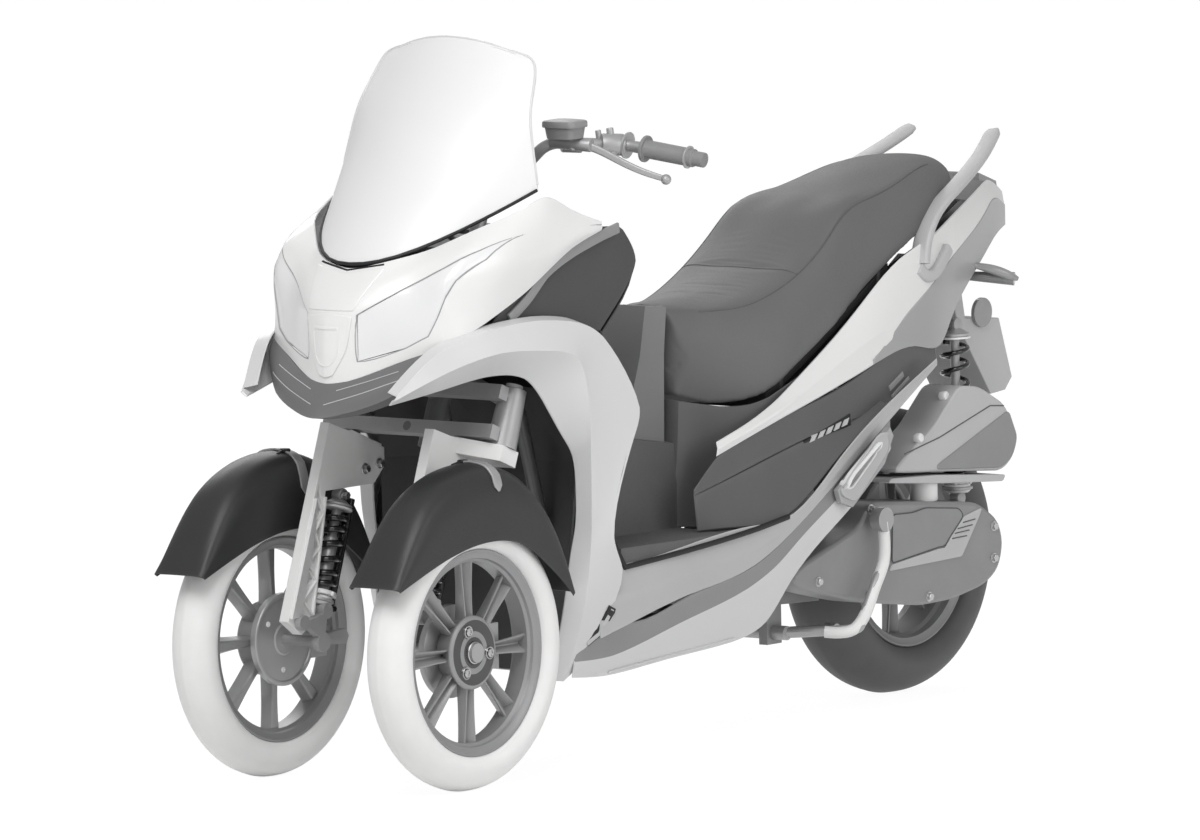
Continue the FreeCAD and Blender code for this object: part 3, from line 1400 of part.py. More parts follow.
lower_panel = skin([spots(item) for item in LOWER_SHARES], size("panel_wall"), spot((0.5, 0.0, 0.35)))
lower_panel = trimmed(lower_panel, [wing, sill], spot((0.5, 0.95, 0.30)))
BELLY_SHARES = (
    ((0.290, 0.82, 0.166), (0.290, 0.0, 0.158)),
    ((0.400, 0.80, 0.176), (0.400, 0.0, 0.164)),
    ((0.536, 0.79, 0.187), (0.536, 0.0, 0.176)),
)
belly_rows = [across(row) for row in BELLY_SHARES]
belly_pan = skin(belly_rows, size("panel_wall"), spot((0.4, 0.0, 0.60)))
belly_pan = trimmed(belly_pan, [lower_panel, mirrored(lower_panel)], spot((0.4, 0.0, 0.17)))
keep("lower_panels", Part.makeCompound([lower_panel, mirrored(lower_panel), belly_pan]))
PEG_SHARES = (
    (0.802, 0.96, 0.547),
    (0.698, 0.96, 0.444),
    (0.704, 0.96, 0.420),
    (0.726, 0.96, 0.408),
    (0.790, 0.96, 0.480),
    (0.808, 0.96, 0.530),
)
peg = prism(spots(PEG_SHARES), Vector(0, 3 * size("panel_wall"), 0))
peg_stub = rod(spot((0.745, 1.0, 0.452)), spot((0.745, 0.80, 0.452)), size("stay_radius"))
peg_stub = trimmed(peg_stub, [lower_panel], spot((0.745, 1.0, 0.452)))
keep("foot_pegs", both_sides(peg.fuse(peg_stub)))

# engine, belt cover, air filter box and muffler, measured from the rear axle's height
def drive_spot(shares):
    """A point given as shares of wheelbase, hull half width and hull height above the rear axle."""
    return spot(shares) + Vector(0, 0, size("rear_tyre_radius"))


ENGINE_SHARES = (
    (0.640, -0.050),
    (0.640, 0.060),
    (0.700, 0.150),
    (0.800, 0.150),
    (0.805, 0.060),
    (0.805, -0.060),
)
ENGINE_SIDE_SHARE = 0.285
engine_points = [drive_spot((x_share, -ENGINE_SIDE_SHARE, z_share)) for x_share, z_share in ENGINE_SHARES]


def stadium(first, second, first_radius, second_radius, depth):
    """Two round ends and the straight runs between them, pushed sideways."""
    way = second - first
    gap = way.Length
    lean = math.acos((first_radius - second_radius) / gap)
    base = math.atan2(way.z, way.x)
    edge = []
    for sign in (1, -1):
        for centre, radius in ((first, first_radius), (second, second_radius)):
            turn = base + sign * lean
            edge.append(centre + Vector(math.cos(turn), 0, math.sin(turn)) * radius)
    back_first = first - way.normalize() * first_radius
    back_second = second + way * second_radius
    wire = Part.Wire(
        [
            Part.LineSegment(edge[0], edge[1]).toShape(),
            Part.Arc(edge[1], back_second, edge[3]).toShape(),
            Part.LineSegment(edge[3], edge[2]).toShape(),
            Part.Arc(edge[2], back_first, edge[0]).toShape(),
        ]
    )
    return Part.Face(wire).extrude(Vector(0, depth, 0))


CLUTCH_SHARE = 0.7
COVER_SHARES = ((0.722, 0.0, 0.025), (1.016, 0.0, 0.015))
cover_inner = size("belt_cover_inner")
cover_side = Vector(0, cover_inner, 0)
front_pulley, rear_pulley = (drive_spot(item) + cover_side for item in COVER_SHARES)
engine_block = prism(engine_points, Vector(0, 2 * ENGINE_SIDE_SHARE * size("hull_half_width"), 0))
clutch_case = rod(
    Vector(front_pulley.x, 0, front_pulley.z), front_pulley, size("belt_front_radius") * CLUTCH_SHARE
)
engine_block = engine_block.fuse(clutch_case)
cover_depth = size("belt_cover_outer") - cover_inner
cover_radii = (size("belt_front_radius"), size("belt_rear_radius"))
belt_cover = stadium(front_pulley, rear_pulley, *cover_radii, cover_depth)
arm_wall = 2 * size("axle_nut_height")
arm_side = -size("rear_tyre_half_width") - size("wheel_gap") - arm_wall
rear_shaft = rod(
    Vector(rear_axle.x, arm_side, rear_axle.z),
    Vector(rear_axle.x, cover_inner, rear_axle.z),
    size("axle_radius"),
)
ARM_SHARES = (
    (0.770, 0.030),
    (0.770, -0.030),
    (1.0, -0.018),
    (1.012, 0.0),
    (1.036, 0.102),
    (1.024, 0.106),
    (0.990, 0.020),
)
arm_offset = Vector(0, arm_side, 0)
swing_points = [drive_spot((x_share, 0.0, z_share)) + arm_offset for x_share, z_share in ARM_SHARES]
swing_arm = prism(swing_points, Vector(0, arm_wall, 0))
SHOCK_LOW_SHARES = (1.03, 0.0, 0.102)
SHOCK_HIGH_SHARES = (1.03, 0.0, 0.702)
shock_side = Vector(0, size("rear_shock_span"), 0)
shock_low = drive_spot(SHOCK_LOW_SHARES) + shock_side
shock_high = spot(SHOCK_HIGH_SHARES) + shock_side
right_pin_end = Vector(shock_low.x, arm_side + arm_wall / 2, shock_low.z)
right_pin = rod(flip(shock_low), right_pin_end, size("tilt_pin_radius"))
ROOT_SHARES = (0.780, -0.20, 0.0)
root_start = drive_spot(ROOT_SHARES)
root_end = Vector(root_start.x, arm_side + arm_wall / 2, root_start.z)
arm_root = rod(root_start, root_end, size("bar_bend") / 2)
LUG_REAR_SHARES = ((1.016, 0.075), (1.044, 0.070), (1.038, 0.114), (1.022, 0.114))
lug_side = Vector(0, cover_inner + size("shock_lug_inset"), 0)
shock_lug = prism(
    [drive_spot((x_share, 0.0, z_share)) + lug_side for x_share, z_share in LUG_REAR_SHARES],
    Vector(0, arm_wall / 2, 0),
)
left_pin_end = Vector(shock_low.x, lug_side.y + arm_wall / 4, shock_low.z)
left_pin = rod(shock_low, left_pin_end, size("tilt_pin_radius"))
belt_cover = belt_cover.fuse([shock_lug, left_pin])
keep("belt_cover", belt_cover)
rear_axle_arm = swing_arm.fuse([rear_shaft, right_pin, arm_root])
rear_axle_arm = trimmed(rear_axle_arm, [engine_block, belt_cover], rear_axle)
keep("rear_axle_arm", rear_axle_arm)
AIR_SHARES = (
    (0.876, 0.160),
    (0.880, 0.290),
    (1.040, 0.322),
    (1.134, 0.251),
    (1.133, 0.183),
    (1.086, 0.138),
)
air_side = Vector(0, cover_inner - size("wheel_gap"), 0)
air_depth = size("belt_cover_outer") - 2 * size("wheel_gap") - air_side.y
air_points = [drive_spot((x_share, 0.0, z_share)) + air_side for x_share, z_share in AIR_SHARES]
air_box = prism(air_points, Vector(0, air_depth, 0))
shock_recess = size("shock_coil_radius") + size("shock_coil_wire") + size("wheel_gap")
recess = Part.makeBox(
    2 * shock_recess,
    size("rear_shock_span") + shock_recess,
    size("hull_height"),
    Vector(shock_low.x - shock_recess, 0, 0),
)
AIR_MIDDLE_SHARES = (0.95, 0.5, 0.23)
air_box = trimmed(air_box, [recess, belt_cover], drive_spot(AIR_MIDDLE_SHARES))
keep("air_filter_box", air_box)
MUFFLER_SHARES = ((0.86, -0.62, -0.005), (1.16, -0.68, 0.060))
muffler_ends = [drive_spot(item) for item in MUFFLER_SHARES]
MUFFLER_TAPER_SHARE = 0.8
muffler = cone(
    muffler_ends[0], muffler_ends[1], size("muffler_radius") * MUFFLER_TAPER_SHARE, size("muffler_radius")
)
EXHAUST_SHARES = (
    (0.66, -0.20, -0.020),
    (0.66, -0.44, -0.065),
    (0.80, -0.60, -0.058),
    (0.88, -0.62, -0.002),
)
exhaust_points = [drive_spot(item) for item in EXHAUST_SHARES]
exhaust = bent_rod(exhaust_points, size("exhaust_radius"), 2 * size("exhaust_radius"))
MUFFLER_STAY_SHARES = ((0.93, -0.36, -0.008), (0.93, -0.62, 0.012))
muffler_stay = rod(*[drive_spot(item) for item in MUFFLER_STAY_SHARES], size("axle_radius"))
muffler = muffler.fuse([exhaust, muffler_stay])
keep("muffler", trimmed(muffler, [engine_block, rear_axle_arm], muffler_ends[1]))

# rear shocks beside the wheel
rear_shock = shock(shock_low, shock_high, size("shock_coil_radius") + size("shock_coil_wire"))
top_pin = rod(shock_high, Vector(shock_high.x, 0, shock_high.z), size("tilt_pin_radius"))
top_pin = trimmed(top_pin, [frame_rails], shock_high)
left_shock = trimmed(rear_shock.fuse(top_pin), [belt_cover, air_box], (shock_low + shock_high) / 2)
right_shock = mirrored(rear_shock.fuse(top_pin))
right_shock = trimmed(right_shock, [rear_axle_arm], flip((shock_low + shock_high) / 2))
keep("rear_shocks", Part.makeCompound([left_shock, right_shock]))

# plate holder, reflectors, indicators
HOLDER_SHARES = (
    (1.090, 0.820),
    (1.105, 0.700),
    (1.172, 0.691),
    (1.196, 0.575),
    (1.182, 0.552),
    (1.153, 0.548),
    (1.090, 0.690),
    (1.070, 0.800),
)
holder_points = [spot((x_share, -0.28, z_share)) for x_share, z_share in HOLDER_SHARES]
plate_holder = prism(holder_points, Vector(0, 0.56 * size("hull_half_width"), 0))
plate_holder = trimmed(plate_holder, [frame_rails], spot((1.13, 0.0, 0.68)))
keep("plate_holder", plate_holder)
REFLECTOR_SHARES = (1.134, 0.2812, 0.707)
reflector_foot = spot(REFLECTOR_SHARES)
reflector_face = reflector_foot + Vector(0, size("reflector_wall"), 0)
reflector = rod(reflector_foot, reflector_face, size("reflector_radius"))
INDICATOR_SHARES = ((1.085, 0.20, 0.785), (1.125, 0.66, 0.776))
indicator_radius = size("indicator_radius")
indicator = cone(*spots(INDICATOR_SHARES), indicator_radius / 2, indicator_radius)
indicator = trimmed(indicator, [plate_holder, tail_side], spot(INDICATOR_SHARES[1]))
side_lights = [reflector, indicator]
side_lights += [mirrored(light) for light in side_lights]
keep("tail_lights", Part.makeCompound([tail_lamp] + side_lights))

# grab rails
RAIL_SHARES = (
    ((0.934, 0.70, 0.822), (0.958, 0.70, 0.820)),
    ((0.948, 0.69, 0.903), (0.970, 0.68, 0.884)),
    ((0.986, 0.65, 0.947), (1.000, 0.64, 0.922)),
    ((1.068, 0.54, 0.995), (1.080, 0.53, 0.966)),
    ((1.134, 0.42, 1.060), (1.146, 0.41, 1.030)),
    ((1.160, 0.38, 1.062), (1.164, 0.37, 1.034)),
    ((1.180, 0.34, 1.046), (1.170, 0.34, 1.022)),
)
RAIL_MIDDLE_SHARES = (1.0, 0.90, 0.93)
rail = skin([spots(item) for item in RAIL_SHARES], size("rail_blade_wall"), spot(RAIL_MIDDLE_SHARES))
RAIL_FOOT_SHARES = (
    ((0.944, 0.72, 0.826), (0.944, 0.50, 0.826)),
    ((0.992, 0.66, 0.940), (0.992, 0.56, 0.840)),
)
feet = [rod(spot(start), spot(end), size("rail_wall") / 2) for start, end in RAIL_FOOT_SHARES]
keep("grab_rails", both_sides(trimmed(rail.fuse(feet), [tail_side], spot(RAIL_SHARES[2][0]))))

# centre stand: folded under the engine, with the pedal on the rider's left
STAND_PIVOT_SHARES = (0.714, 0.0, -0.105)
stand_pivot = drive_spot(STAND_PIVOT_SHARES)
half_span = size("stand_half_span")
stand_swing = math.radians(size("stand_swing_angle"))
stand_droop = math.radians(size("stand_droop_angle"))
foot_drop = stand_pivot.z - size("stand_foot_radius") - size("seat_gap")
stand_reach = foot_drop / math.sin(stand_swing + stand_droop)
leg_way = Vector(-math.cos(stand_droop), 0, -math.sin(stand_droop))
tube_half = half_span + size("stand_tube_radius")
stand_tube = rod(
    stand_pivot - steer_side * tube_half, stand_pivot + steer_side * tube_half, size("stand_tube_radius")
)
stand_parts = []
for side in (-1, 1):
    top = stand_pivot + steer_side * (side * half_span)
    foot = top + leg_way * stand_reach
    stand_parts.append(rod(top, foot, size("stand_leg_radius")))
    half_foot = steer_side * size("stand_foot_radius")
    stand_parts.append(rod(foot - half_foot, foot + half_foot, size("stand_foot_radius")))
PEDAL_SHARES = (
    (0.740, 0.60, -0.102),
    (0.762, 1.0, -0.098),
    (0.796, 1.0, -0.014),
    (0.814, 1.0, 0.019),
    (0.8145, 1.0, 0.070),
    (0.810, 1.0, 0.100),
)
pedal_reach = size("belt_cover_outer") + size("pedal_clearance") - half_span
pedal_points = [stand_pivot + steer_side * half_span]
for x_share, out_share, z_share in PEDAL_SHARES:
    out = steer_side * (half_span + out_share * pedal_reach)
    pedal_points.append(drive_spot((x_share, 0.0, z_share)) + out)
stand_parts.append(bent_rod(pedal_points, size("pedal_radius"), size("pedal_radius")))
half_pad = steer_side * (size("pedal_pad_wall") / 2)
stand_parts.append(rod(pedal_points[-1] - half_pad, pedal_points[-1] + half_pad, size("pedal_pad_radius")))
keep("stand", stand_tube.fuse(stand_parts))
LUG_SHARES = (0.22, 0.30)
LUG_RISE_SHARE = 0.062
lug_half = 2 * size("stand_leg_radius")
lug_rise = LUG_RISE_SHARE * size("hull_height")
lugs = []
for side in (-1, 1):
    low_y, high_y = (side * share * size("hull_half_width") for share in LUG_SHARES)
    lug_points = [
        stand_pivot + Vector(lug_half, low_y, lug_rise),
        stand_pivot + Vector(lug_half, low_y, -lug_half),
        stand_pivot + Vector(-lug_half, low_y, -lug_half),
        stand_pivot + Vector(-lug_half, low_y, lug_rise),
    ]
    lugs.append(prism(lug_points, Vector(0, high_y - low_y, 0)))
stand_bore = rod(
    stand_pivot - steer_side * half_span,
    stand_pivot + steer_side * half_span,
    size("stand_tube_radius") + size("running_gap"),
)
engine = engine_block.fuse(lugs).cut(stand_bore)
keep("engine", engine)

# stays: what carries the panels, seated on the frame and on each panel's inner side
STAY_SHARES = {
    "nose": ((0.166, 0.0, 0.76), (-0.075, 0.0, 0.87)),
    "shield": ((0.243, 0.36, 0.56), (0.360, 0.36, 0.56)),
    "dash": ((0.162, 0.0, 0.745), (0.130, 0.40, 1.00)),
    "screen": ((0.095, 0.48, 0.981), (0.040, 0.48, 1.05)),
    "fairing": ((0.150, 0.80, 0.981), (0.150, 1.08, 0.981)),
    "wing": ((0.145, 0.80, 0.93), (0.150, 1.20, 0.79)),
    "side": ((0.790, 0.36, 0.575), (0.790, 1.00, 0.61)),
    "skirt": ((0.700, 0.36, 0.46), (0.700, 1.05, 0.52)),
    "tail": ((0.960, 0.36, 0.635), (0.960, 0.90, 0.80)),
    "tub_front": ((0.790, 0.36, 0.575), (0.790, 0.36, 0.68)),
    "tub_rear": ((0.900, 0.36, 0.594), (0.900, 0.36, 0.68)),
    "engine": ((0.720, 0.36, 0.4855), (0.720, 0.24, 0.38)),
    "deck": ((1.088, 0.10, 0.80), (1.125, 0.10, 0.98)),
}
left_only = [wing, dark_side, skirt, tail_side]
carriers = [frame_front, frame_rails, inner_wall, shield_wall, nose, dash, screen, tub_outer, engine]
carriers += [plate_holder, tail_deck] + left_only + [mirrored(panel) for panel in left_only]
stays = []
for start_shares, end_shares in STAY_SHARES.values():
    stays.append(strut(start_shares, end_shares, carriers))
    if end_shares[1] > 0:
        sides = [(x_share, -y_share, z_share) for x_share, y_share, z_share in (start_shares, end_shares)]
        stays.append(strut(sides[0], sides[1], carriers))
keep("body_stays", Part.makeCompound(stays))

# everything is moved so that the origin lies under the middle of the machine
middle = Part.makeCompound([piece.Shape for piece in pieces])
box = middle.BoundBox
shift = Vector(-(box.XMin + box.XMax) / 2, 0, 0)
for piece in pieces:
    piece.Placement = Placement(shift, Rotation()) * piece.Placement
doc.recompute()

for item in doc.Objects:
    if "Invalid" in item.State or "Error" in item.State:
        raise RuntimeError("%s did not recompute" % item.Label)

os.makedirs("parts", exist_ok=True)
for piece in pieces:
    shape = piece.Shape
    if shape.isNull() or not shape.isValid():
        raise RuntimeError("%s has no valid shape" % piece.Label)
    shape.exportStep(os.path.join("parts", piece.Label + ".step"))
print("origin shift", round(shift.x, 3))
for piece in pieces:
    print(piece.Label, len(piece.Shape.Solids), round(piece.Shape.Volume / 1000))
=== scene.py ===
"""A tilting three-wheeler with two steered front wheels, dressed in Blender round its CAD frame.

Metres. X runs forward, Y to the rider's left and Z up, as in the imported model. Shapes are given
as shares of the wheelbase (rearward from the front axle), of the body's half width and of its
reference height, so that the pieces follow the same lines as the solids that they stand for.
"""

import logging
import math
from collections.abc import Callable, Sequence
from dataclasses import dataclass, replace
from enum import Enum

import bmesh
import bpy
import numpy as np
from mathutils import Matrix, Vector
from mathutils.bvhtree import BVHTree
from mathutils.kdtree import KDTree


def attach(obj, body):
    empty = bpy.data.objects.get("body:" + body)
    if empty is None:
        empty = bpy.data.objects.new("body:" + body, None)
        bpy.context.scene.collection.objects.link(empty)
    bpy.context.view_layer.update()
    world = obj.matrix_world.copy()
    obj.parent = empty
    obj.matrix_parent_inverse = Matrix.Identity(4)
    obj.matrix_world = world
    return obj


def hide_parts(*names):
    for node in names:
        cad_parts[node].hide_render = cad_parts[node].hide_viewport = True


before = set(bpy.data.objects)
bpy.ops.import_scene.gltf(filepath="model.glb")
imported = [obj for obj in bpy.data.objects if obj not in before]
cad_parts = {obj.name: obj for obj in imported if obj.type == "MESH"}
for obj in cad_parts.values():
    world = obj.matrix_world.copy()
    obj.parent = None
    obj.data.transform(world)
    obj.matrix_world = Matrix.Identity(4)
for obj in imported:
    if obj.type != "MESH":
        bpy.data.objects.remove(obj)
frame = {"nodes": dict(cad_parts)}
log = logging.getLogger("three_wheeler")
Array = np.ndarray
Colour = tuple[float, float, float, float]
MM = 0.001
FRONT = np.array([1.0, 0.0, 0.0])
LEFT = np.array([0.0, 1.0, 0.0])
UP = np.array([0.0, 0.0, 1.0])
# Degrees above which an edge stays sharp.
FOLD = 32.0


def mm(points: Sequence | Array) -> Array:
    """Points given in millimetres, in metres."""
    return np.asarray(points, float) * MM


class Side(Enum):
    """A side of the machine, with the sign of its Y coordinates."""

    LEFT = 1
    RIGHT = -1

    @property
    def word(self) -> str:
        """The side's name as the nodes spell it."""
        return self.name.lower()


@dataclass(frozen=True)
class Proportions:
    """The lengths that every table of shares is measured in.

    The origin lies under the middle of the machine, so the front axle stands ahead of it.
    """

    wheelbase: float = 1.575
    half_width: float = 0.25
    height: float = 1.0
    axle_ahead: float = 0.810525
    wheel_out: float = 0.229
    wheel_radius: float = 0.255

    def place(self, shares: Sequence | Array) -> Array:
        """Points for share triples: X = ahead - x * wheelbase, Y = y * half width, Z = z * height.

        Args:
            shares: An array whose last axis holds the three shares.

        Returns:
            The same array in metres.
        """
        table = np.asarray(shares, float)
        scale = np.array([-self.wheelbase, self.half_width, self.height])
        return table * scale + np.array([self.axle_ahead, 0.0, 0.0])

    @property
    def left_wheel(self) -> Array:
        """The middle of the left front wheel."""
        return np.array([self.axle_ahead, self.wheel_out, self.wheel_radius])


HULL = Proportions()


def linear(code: str) -> Colour:
    """The linear colour of an sRGB hex value such as "#8a8a8a".

    Args:
        code: A hash sign and six hex digits.

    Returns:
        Red, green, blue and an alpha of one.
    """
    raw = np.array([int(code[i : i + 2], 16) for i in (1, 3, 5)]) / 255.0
    curve = np.where(raw <= 0.04045, raw / 12.92, ((raw + 0.055) / 1.055) ** 2.4)
    return (*curve.tolist(), 1.0)


def add_node(
    tree: bpy.types.NodeTree, kind: str, settings: dict | None = None, links: dict | None = None
) -> bpy.types.Node:
    """Adds a shader node with its settings and links.

    Args:
        tree: The node tree to add it to.
        kind: The node's type name.
        settings: Properties or input sockets, by name or index, and their values.
        links: Input sockets, by name or index, and the output sockets that feed them.

    Returns:
        The new node.
    """
    node = tree.nodes.new(kind)
    for key, value in (settings or {}).items():
        if isinstance(key, str) and hasattr(node, key):
            setattr(node, key, value)
        else:
            node.inputs[key].default_value = value
    for key, socket in (links or {}).items():
        tree.links.new(socket, node.inputs[key])
    return node


_made: dict[str, bpy.types.Material] = {}


@dataclass(frozen=True)
class Finish:
    """A surface finish: a name, a base colour with a slow drift, and a relief of one grain size.

    The drift is a soft noise that moves the colour between two hex values over drift_mm. The
    grain is a finer noise whose height in millimetres becomes bump and whose value moves the
    roughness by the swing. Worn edges, where the mesh turns sharply outwards, take the worn colour.
    """

    name: str
    colour: str
    drift_to: str
    worn: str
    drift_mm: float
    roughness: float
    swing: float
    grain_mm: float
    depth_mm: float
    wear: float
    metallic: float = 0.0
    coat: float = 0.0
    coat_roughness: float = 0.08
    ior: float | None = 1.5
    cells: bool = False
    brushed: bool = False

    def like(self, name: str, colour: str, drift_to: str, worn: str, **changes: float) -> "Finish":
        """The same surface in other colours, with the values that differ."""
        return replace(self, name=name, colour=colour, drift_to=drift_to, worn=worn, **changes)

    def material(self) -> bpy.types.Material:
        """The finish as a material, built once and shared by every piece that wears it."""
        if self.name not in _made:
            _made[self.name] = self.build()
        return _made[self.name]

    def settings(self) -> dict:
        """The shader's fixed values."""
        fixed = {"Metallic": self.metallic, "Coat Weight": self.coat, "Coat Roughness": self.coat_roughness}
        if self.ior is not None:
            fixed["IOR"] = self.ior
        return fixed

    def build(self) -> bpy.types.Material:
        """Builds the node tree: drift and wear into colour, grain into roughness and bump."""
        material = bpy.data.materials.new(self.name)
        material.use_nodes = True
        tree = material.node_tree
        tree.nodes.clear()
        place = add_node(tree, "ShaderNodeTexCoord").outputs["Object"]
        near = place
        if self.brushed:
            stretch = {"Scale": (1.0, 0.06, 1.0)}
            near = add_node(tree, "ShaderNodeMapping", stretch, {"Vector": place}).outputs[0]
        slow = {"Scale": 1.0 / (self.drift_mm * MM), "Detail": 3.0, "Roughness": 0.55}
        drift = add_node(tree, "ShaderNodeTexNoise", slow, {"Vector": place}).outputs["Fac"]
        colours = {"data_type": "RGBA", 6: linear(self.colour), 7: linear(self.drift_to)}
        mixed = add_node(tree, "ShaderNodeMix", colours, {0: drift})
        scale = 1.0 / (self.grain_mm * MM)
        if self.cells:
            pebbles = {"feature": "SMOOTH_F1", "Scale": scale, "Smoothness": 0.6}
            grain = add_node(tree, "ShaderNodeTexVoronoi", pebbles, {"Vector": near}).outputs["Distance"]
        else:
            fine = {"Scale": scale, "Detail": 4.0, "Roughness": 0.6}
            grain = add_node(tree, "ShaderNodeTexNoise", fine, {"Vector": near}).outputs["Fac"]
        geometry = add_node(tree, "ShaderNodeNewGeometry")
        sharp = {"From Min": 0.53, "From Max": 0.62, "To Min": 0.0, "To Max": self.wear}
        edge = add_node(tree, "ShaderNodeMapRange", sharp, {"Value": geometry.outputs["Pointiness"]})
        rubbed = add_node(tree, "ShaderNodeMath", {"operation": "MULTIPLY"}, {0: edge.outputs[0], 1: drift})
        bare = {"data_type": "RGBA", 7: linear(self.worn)}
        worn = add_node(tree, "ShaderNodeMix", bare, {0: rubbed.outputs[0], 6: mixed.outputs[2]})
        span = {"From Min": 0.25, "From Max": 0.75}
        span |= {"To Min": self.roughness - self.swing, "To Max": self.roughness + self.swing}
        sheen = add_node(tree, "ShaderNodeMapRange", span, {"Value": grain})
        height = {"Strength": 1.0, "Distance": self.depth_mm * MM}
        relief = add_node(tree, "ShaderNodeBump", height, {"Height": grain})
        feeds = {"Base Color": worn.outputs[2], "Roughness": sheen.outputs[0], "Normal": relief.outputs[0]}
        shader = add_node(tree, "ShaderNodeBsdfPrincipled", self.settings(), feeds)
        add_node(tree, "ShaderNodeOutputMaterial", links={"Surface": shader.outputs[0]})
        return material


# White ABS body panels, sprayed and lacquered: a smooth pale skin with a faint orange peel.
WHITE_LACQUER = Finish(
    "white_lacquered_abs", "#ededec", "#e7e7e6", "#fafafa", drift_mm=240.0, roughness=0.3, swing=0.04,
    grain_mm=2.4, depth_mm=0.02, wear=0.3, coat=0.25,
)
# The same lacquer a tone darker and duller: light warm grey wings and lower panels.
PALE_LACQUER = WHITE_LACQUER.like(
    "pale_grey_lacquered_abs", "#dadada", "#d2d2d2", "#ececec", roughness=0.34, coat=0.2
)
# Mid grey lacquer on the tail's downward lower rear faces: painted shade, standing for the shade on the white
# tail.
TAIL_SHADE_GREY = PALE_LACQUER.like(
    "tail_painted_shade_grey_abs", "#acacad", "#a4a4a5", "#c8c8c8", drift_mm=200.0, roughness=0.36, swing=0.05
)
# The sills' light grey, between the two.
SILL_LACQUER = TAIL_SHADE_GREY.like("light_grey_lacquered_abs", "#bcbcbc", "#b2b2b2", "#d8d8d8")
# Moulded polypropylene trims: a matt grained skin that shines a little where shoes rub it.
DARK_TRIM = Finish(
    "dark_grained_polypropylene", "#3f3f40", "#474748", "#666666", drift_mm=120.0, roughness=0.52,
    swing=0.1, grain_mm=1.1, depth_mm=0.05, wear=0.5, cells=True,
)
MID_TRIM = DARK_TRIM.like("mid_grey_grained_polypropylene", "#6a6a6b", "#747475", "#8c8c8c")
SHADE_TRIM = DARK_TRIM.like("grey_grained_polypropylene", "#585859", "#606061", "#7c7c7c")
CONSOLE_TRIM = DARK_TRIM.like(
    "console_grained_polypropylene", "#7c7c7d", "#848485", "#989898", roughness=0.5
)
BAND_TRIM = CONSOLE_TRIM.like("band_grey_polypropylene", "#8b8b8c", "#939394", "#a8a8a8", swing=0.09)
# The mudguards' polypropylene, nearly black and a little glossier.
FENDER_TRIM = DARK_TRIM.like(
    "black_grained_polypropylene", "#29292a", "#303031", "#565656", roughness=0.46, swing=0.09,
    grain_mm=1.2, depth_mm=0.04,
)
# Moulded polyamide covers in silver grey: matt, faintly grained.
SILVER_TRIM = DARK_TRIM.like(
    "silver_grey_polyamide", "#c4c4c5", "#bababb", "#dcdcdc", roughness=0.46, swing=0.08, depth_mm=0.04,
    wear=0.4,
)
# The brake tanks' polyamide: mid grey, finer grained.
MID_SILVER = DARK_TRIM.like(
    "grey_polyamide_housing", "#8f8f90", "#868687", "#b0b0b0", drift_mm=60.0, roughness=0.44, swing=0.08,
    grain_mm=1.0, depth_mm=0.04,
)
# Moulded rubber floor mat: a coarse pebbled skin that catches no highlight.
FLOOR_MAT = Finish(
    "floor_mat_rubber", "#5c5c5d", "#666667", "#7a7a7a", drift_mm=80.0, roughness=0.62, swing=0.08,
    grain_mm=2.6, depth_mm=0.14, wear=0.3, cells=True,
)
# Embossed leatherette on the seat: soft broad highlights broken by its grain.
SEAT_VINYL = Finish(
    "seat_leatherette", "#666667", "#6e6e6f", "#848484", drift_mm=160.0, roughness=0.6, swing=0.09,
    grain_mm=1.8, depth_mm=0.07, wear=0.25, cells=True,
)
# Moulded tyre rubber, pale at the front and grey at the rear: even and matt.
WHITE_TYRE = Finish(
    "white_tyre_rubber", "#f2f2f1", "#ebebea", "#f8f8f8", drift_mm=45.0, roughness=0.58, swing=0.06,
    grain_mm=1.6, depth_mm=0.04, wear=0.2,
)
GREY_TYRE = WHITE_TYRE.like(
    "grey_tyre_rubber", "#5a5a5b", "#646465", "#7c7c7c", roughness=0.6, swing=0.08, depth_mm=0.06, wear=0.3
)
# Die-cast aluminium, bead-blasted and painted silver grey: fine pebbled skin, bright worn edges.
WHEEL_CAST = Finish(
    "grey_painted_cast_aluminium", "#979798", "#9f9fa0", "#bcbcbc", drift_mm=60.0, roughness=0.42,
    swing=0.07, grain_mm=0.9, depth_mm=0.03, wear=0.5, metallic=0.35,
)
# Turned and anodised hub plates: darker, smoother, a tighter highlight.
HUB_CAST = WHEEL_CAST.like(
    "dark_anodised_hub_plate", "#565657", "#4f4f50", "#8a8a8a", drift_mm=50.0, roughness=0.36,
    grain_mm=0.6, depth_mm=0.02, wear=0.4, metallic=0.4,
)
# Bare blasted castings: a bright grey with a sandy sheen.
SILVER_CAST = WHEEL_CAST.like(
    "blasted_cast_aluminium", "#b4b4b5", "#a6a6a7", "#d6d6d6", drift_mm=50.0, roughness=0.44, swing=0.09,
    grain_mm=1.0, depth_mm=0.05, metallic=0.45,
)
# White enamel on the legs' castings: bright, with the casting's softness under it.
WHITE_CAST = WHEEL_CAST.like(
    "white_enamelled_cast_aluminium", "#f2f2f1", "#eaeae9", "#f8f8f8", roughness=0.4, grain_mm=1.1,
    wear=0.4, metallic=0.0,
)
# Sand-cast engine covers: a coarser skin, duller than the wheels.
CASE_CAST = WHEEL_CAST.like(
    "grey_engine_casting", "#9a9a9b", "#8e8e8f", "#bebebe", drift_mm=70.0, roughness=0.48, swing=0.1,
    grain_mm=1.3, depth_mm=0.07, metallic=0.3,
)
# Powder-coated steel tube: an even satin with softened edges.
STEEL_TUBE = Finish(
    "grey_powder_coated_steel", "#7c7c7d", "#727273", "#a4a4a4", drift_mm=80.0, roughness=0.45, swing=0.06,
    grain_mm=0.8, depth_mm=0.03, wear=0.4, metallic=0.2,
)
DARK_STEEL = STEEL_TUBE.like("dark_powder_coated_steel", "#4c4c4d", "#555556", "#8a8a8a")
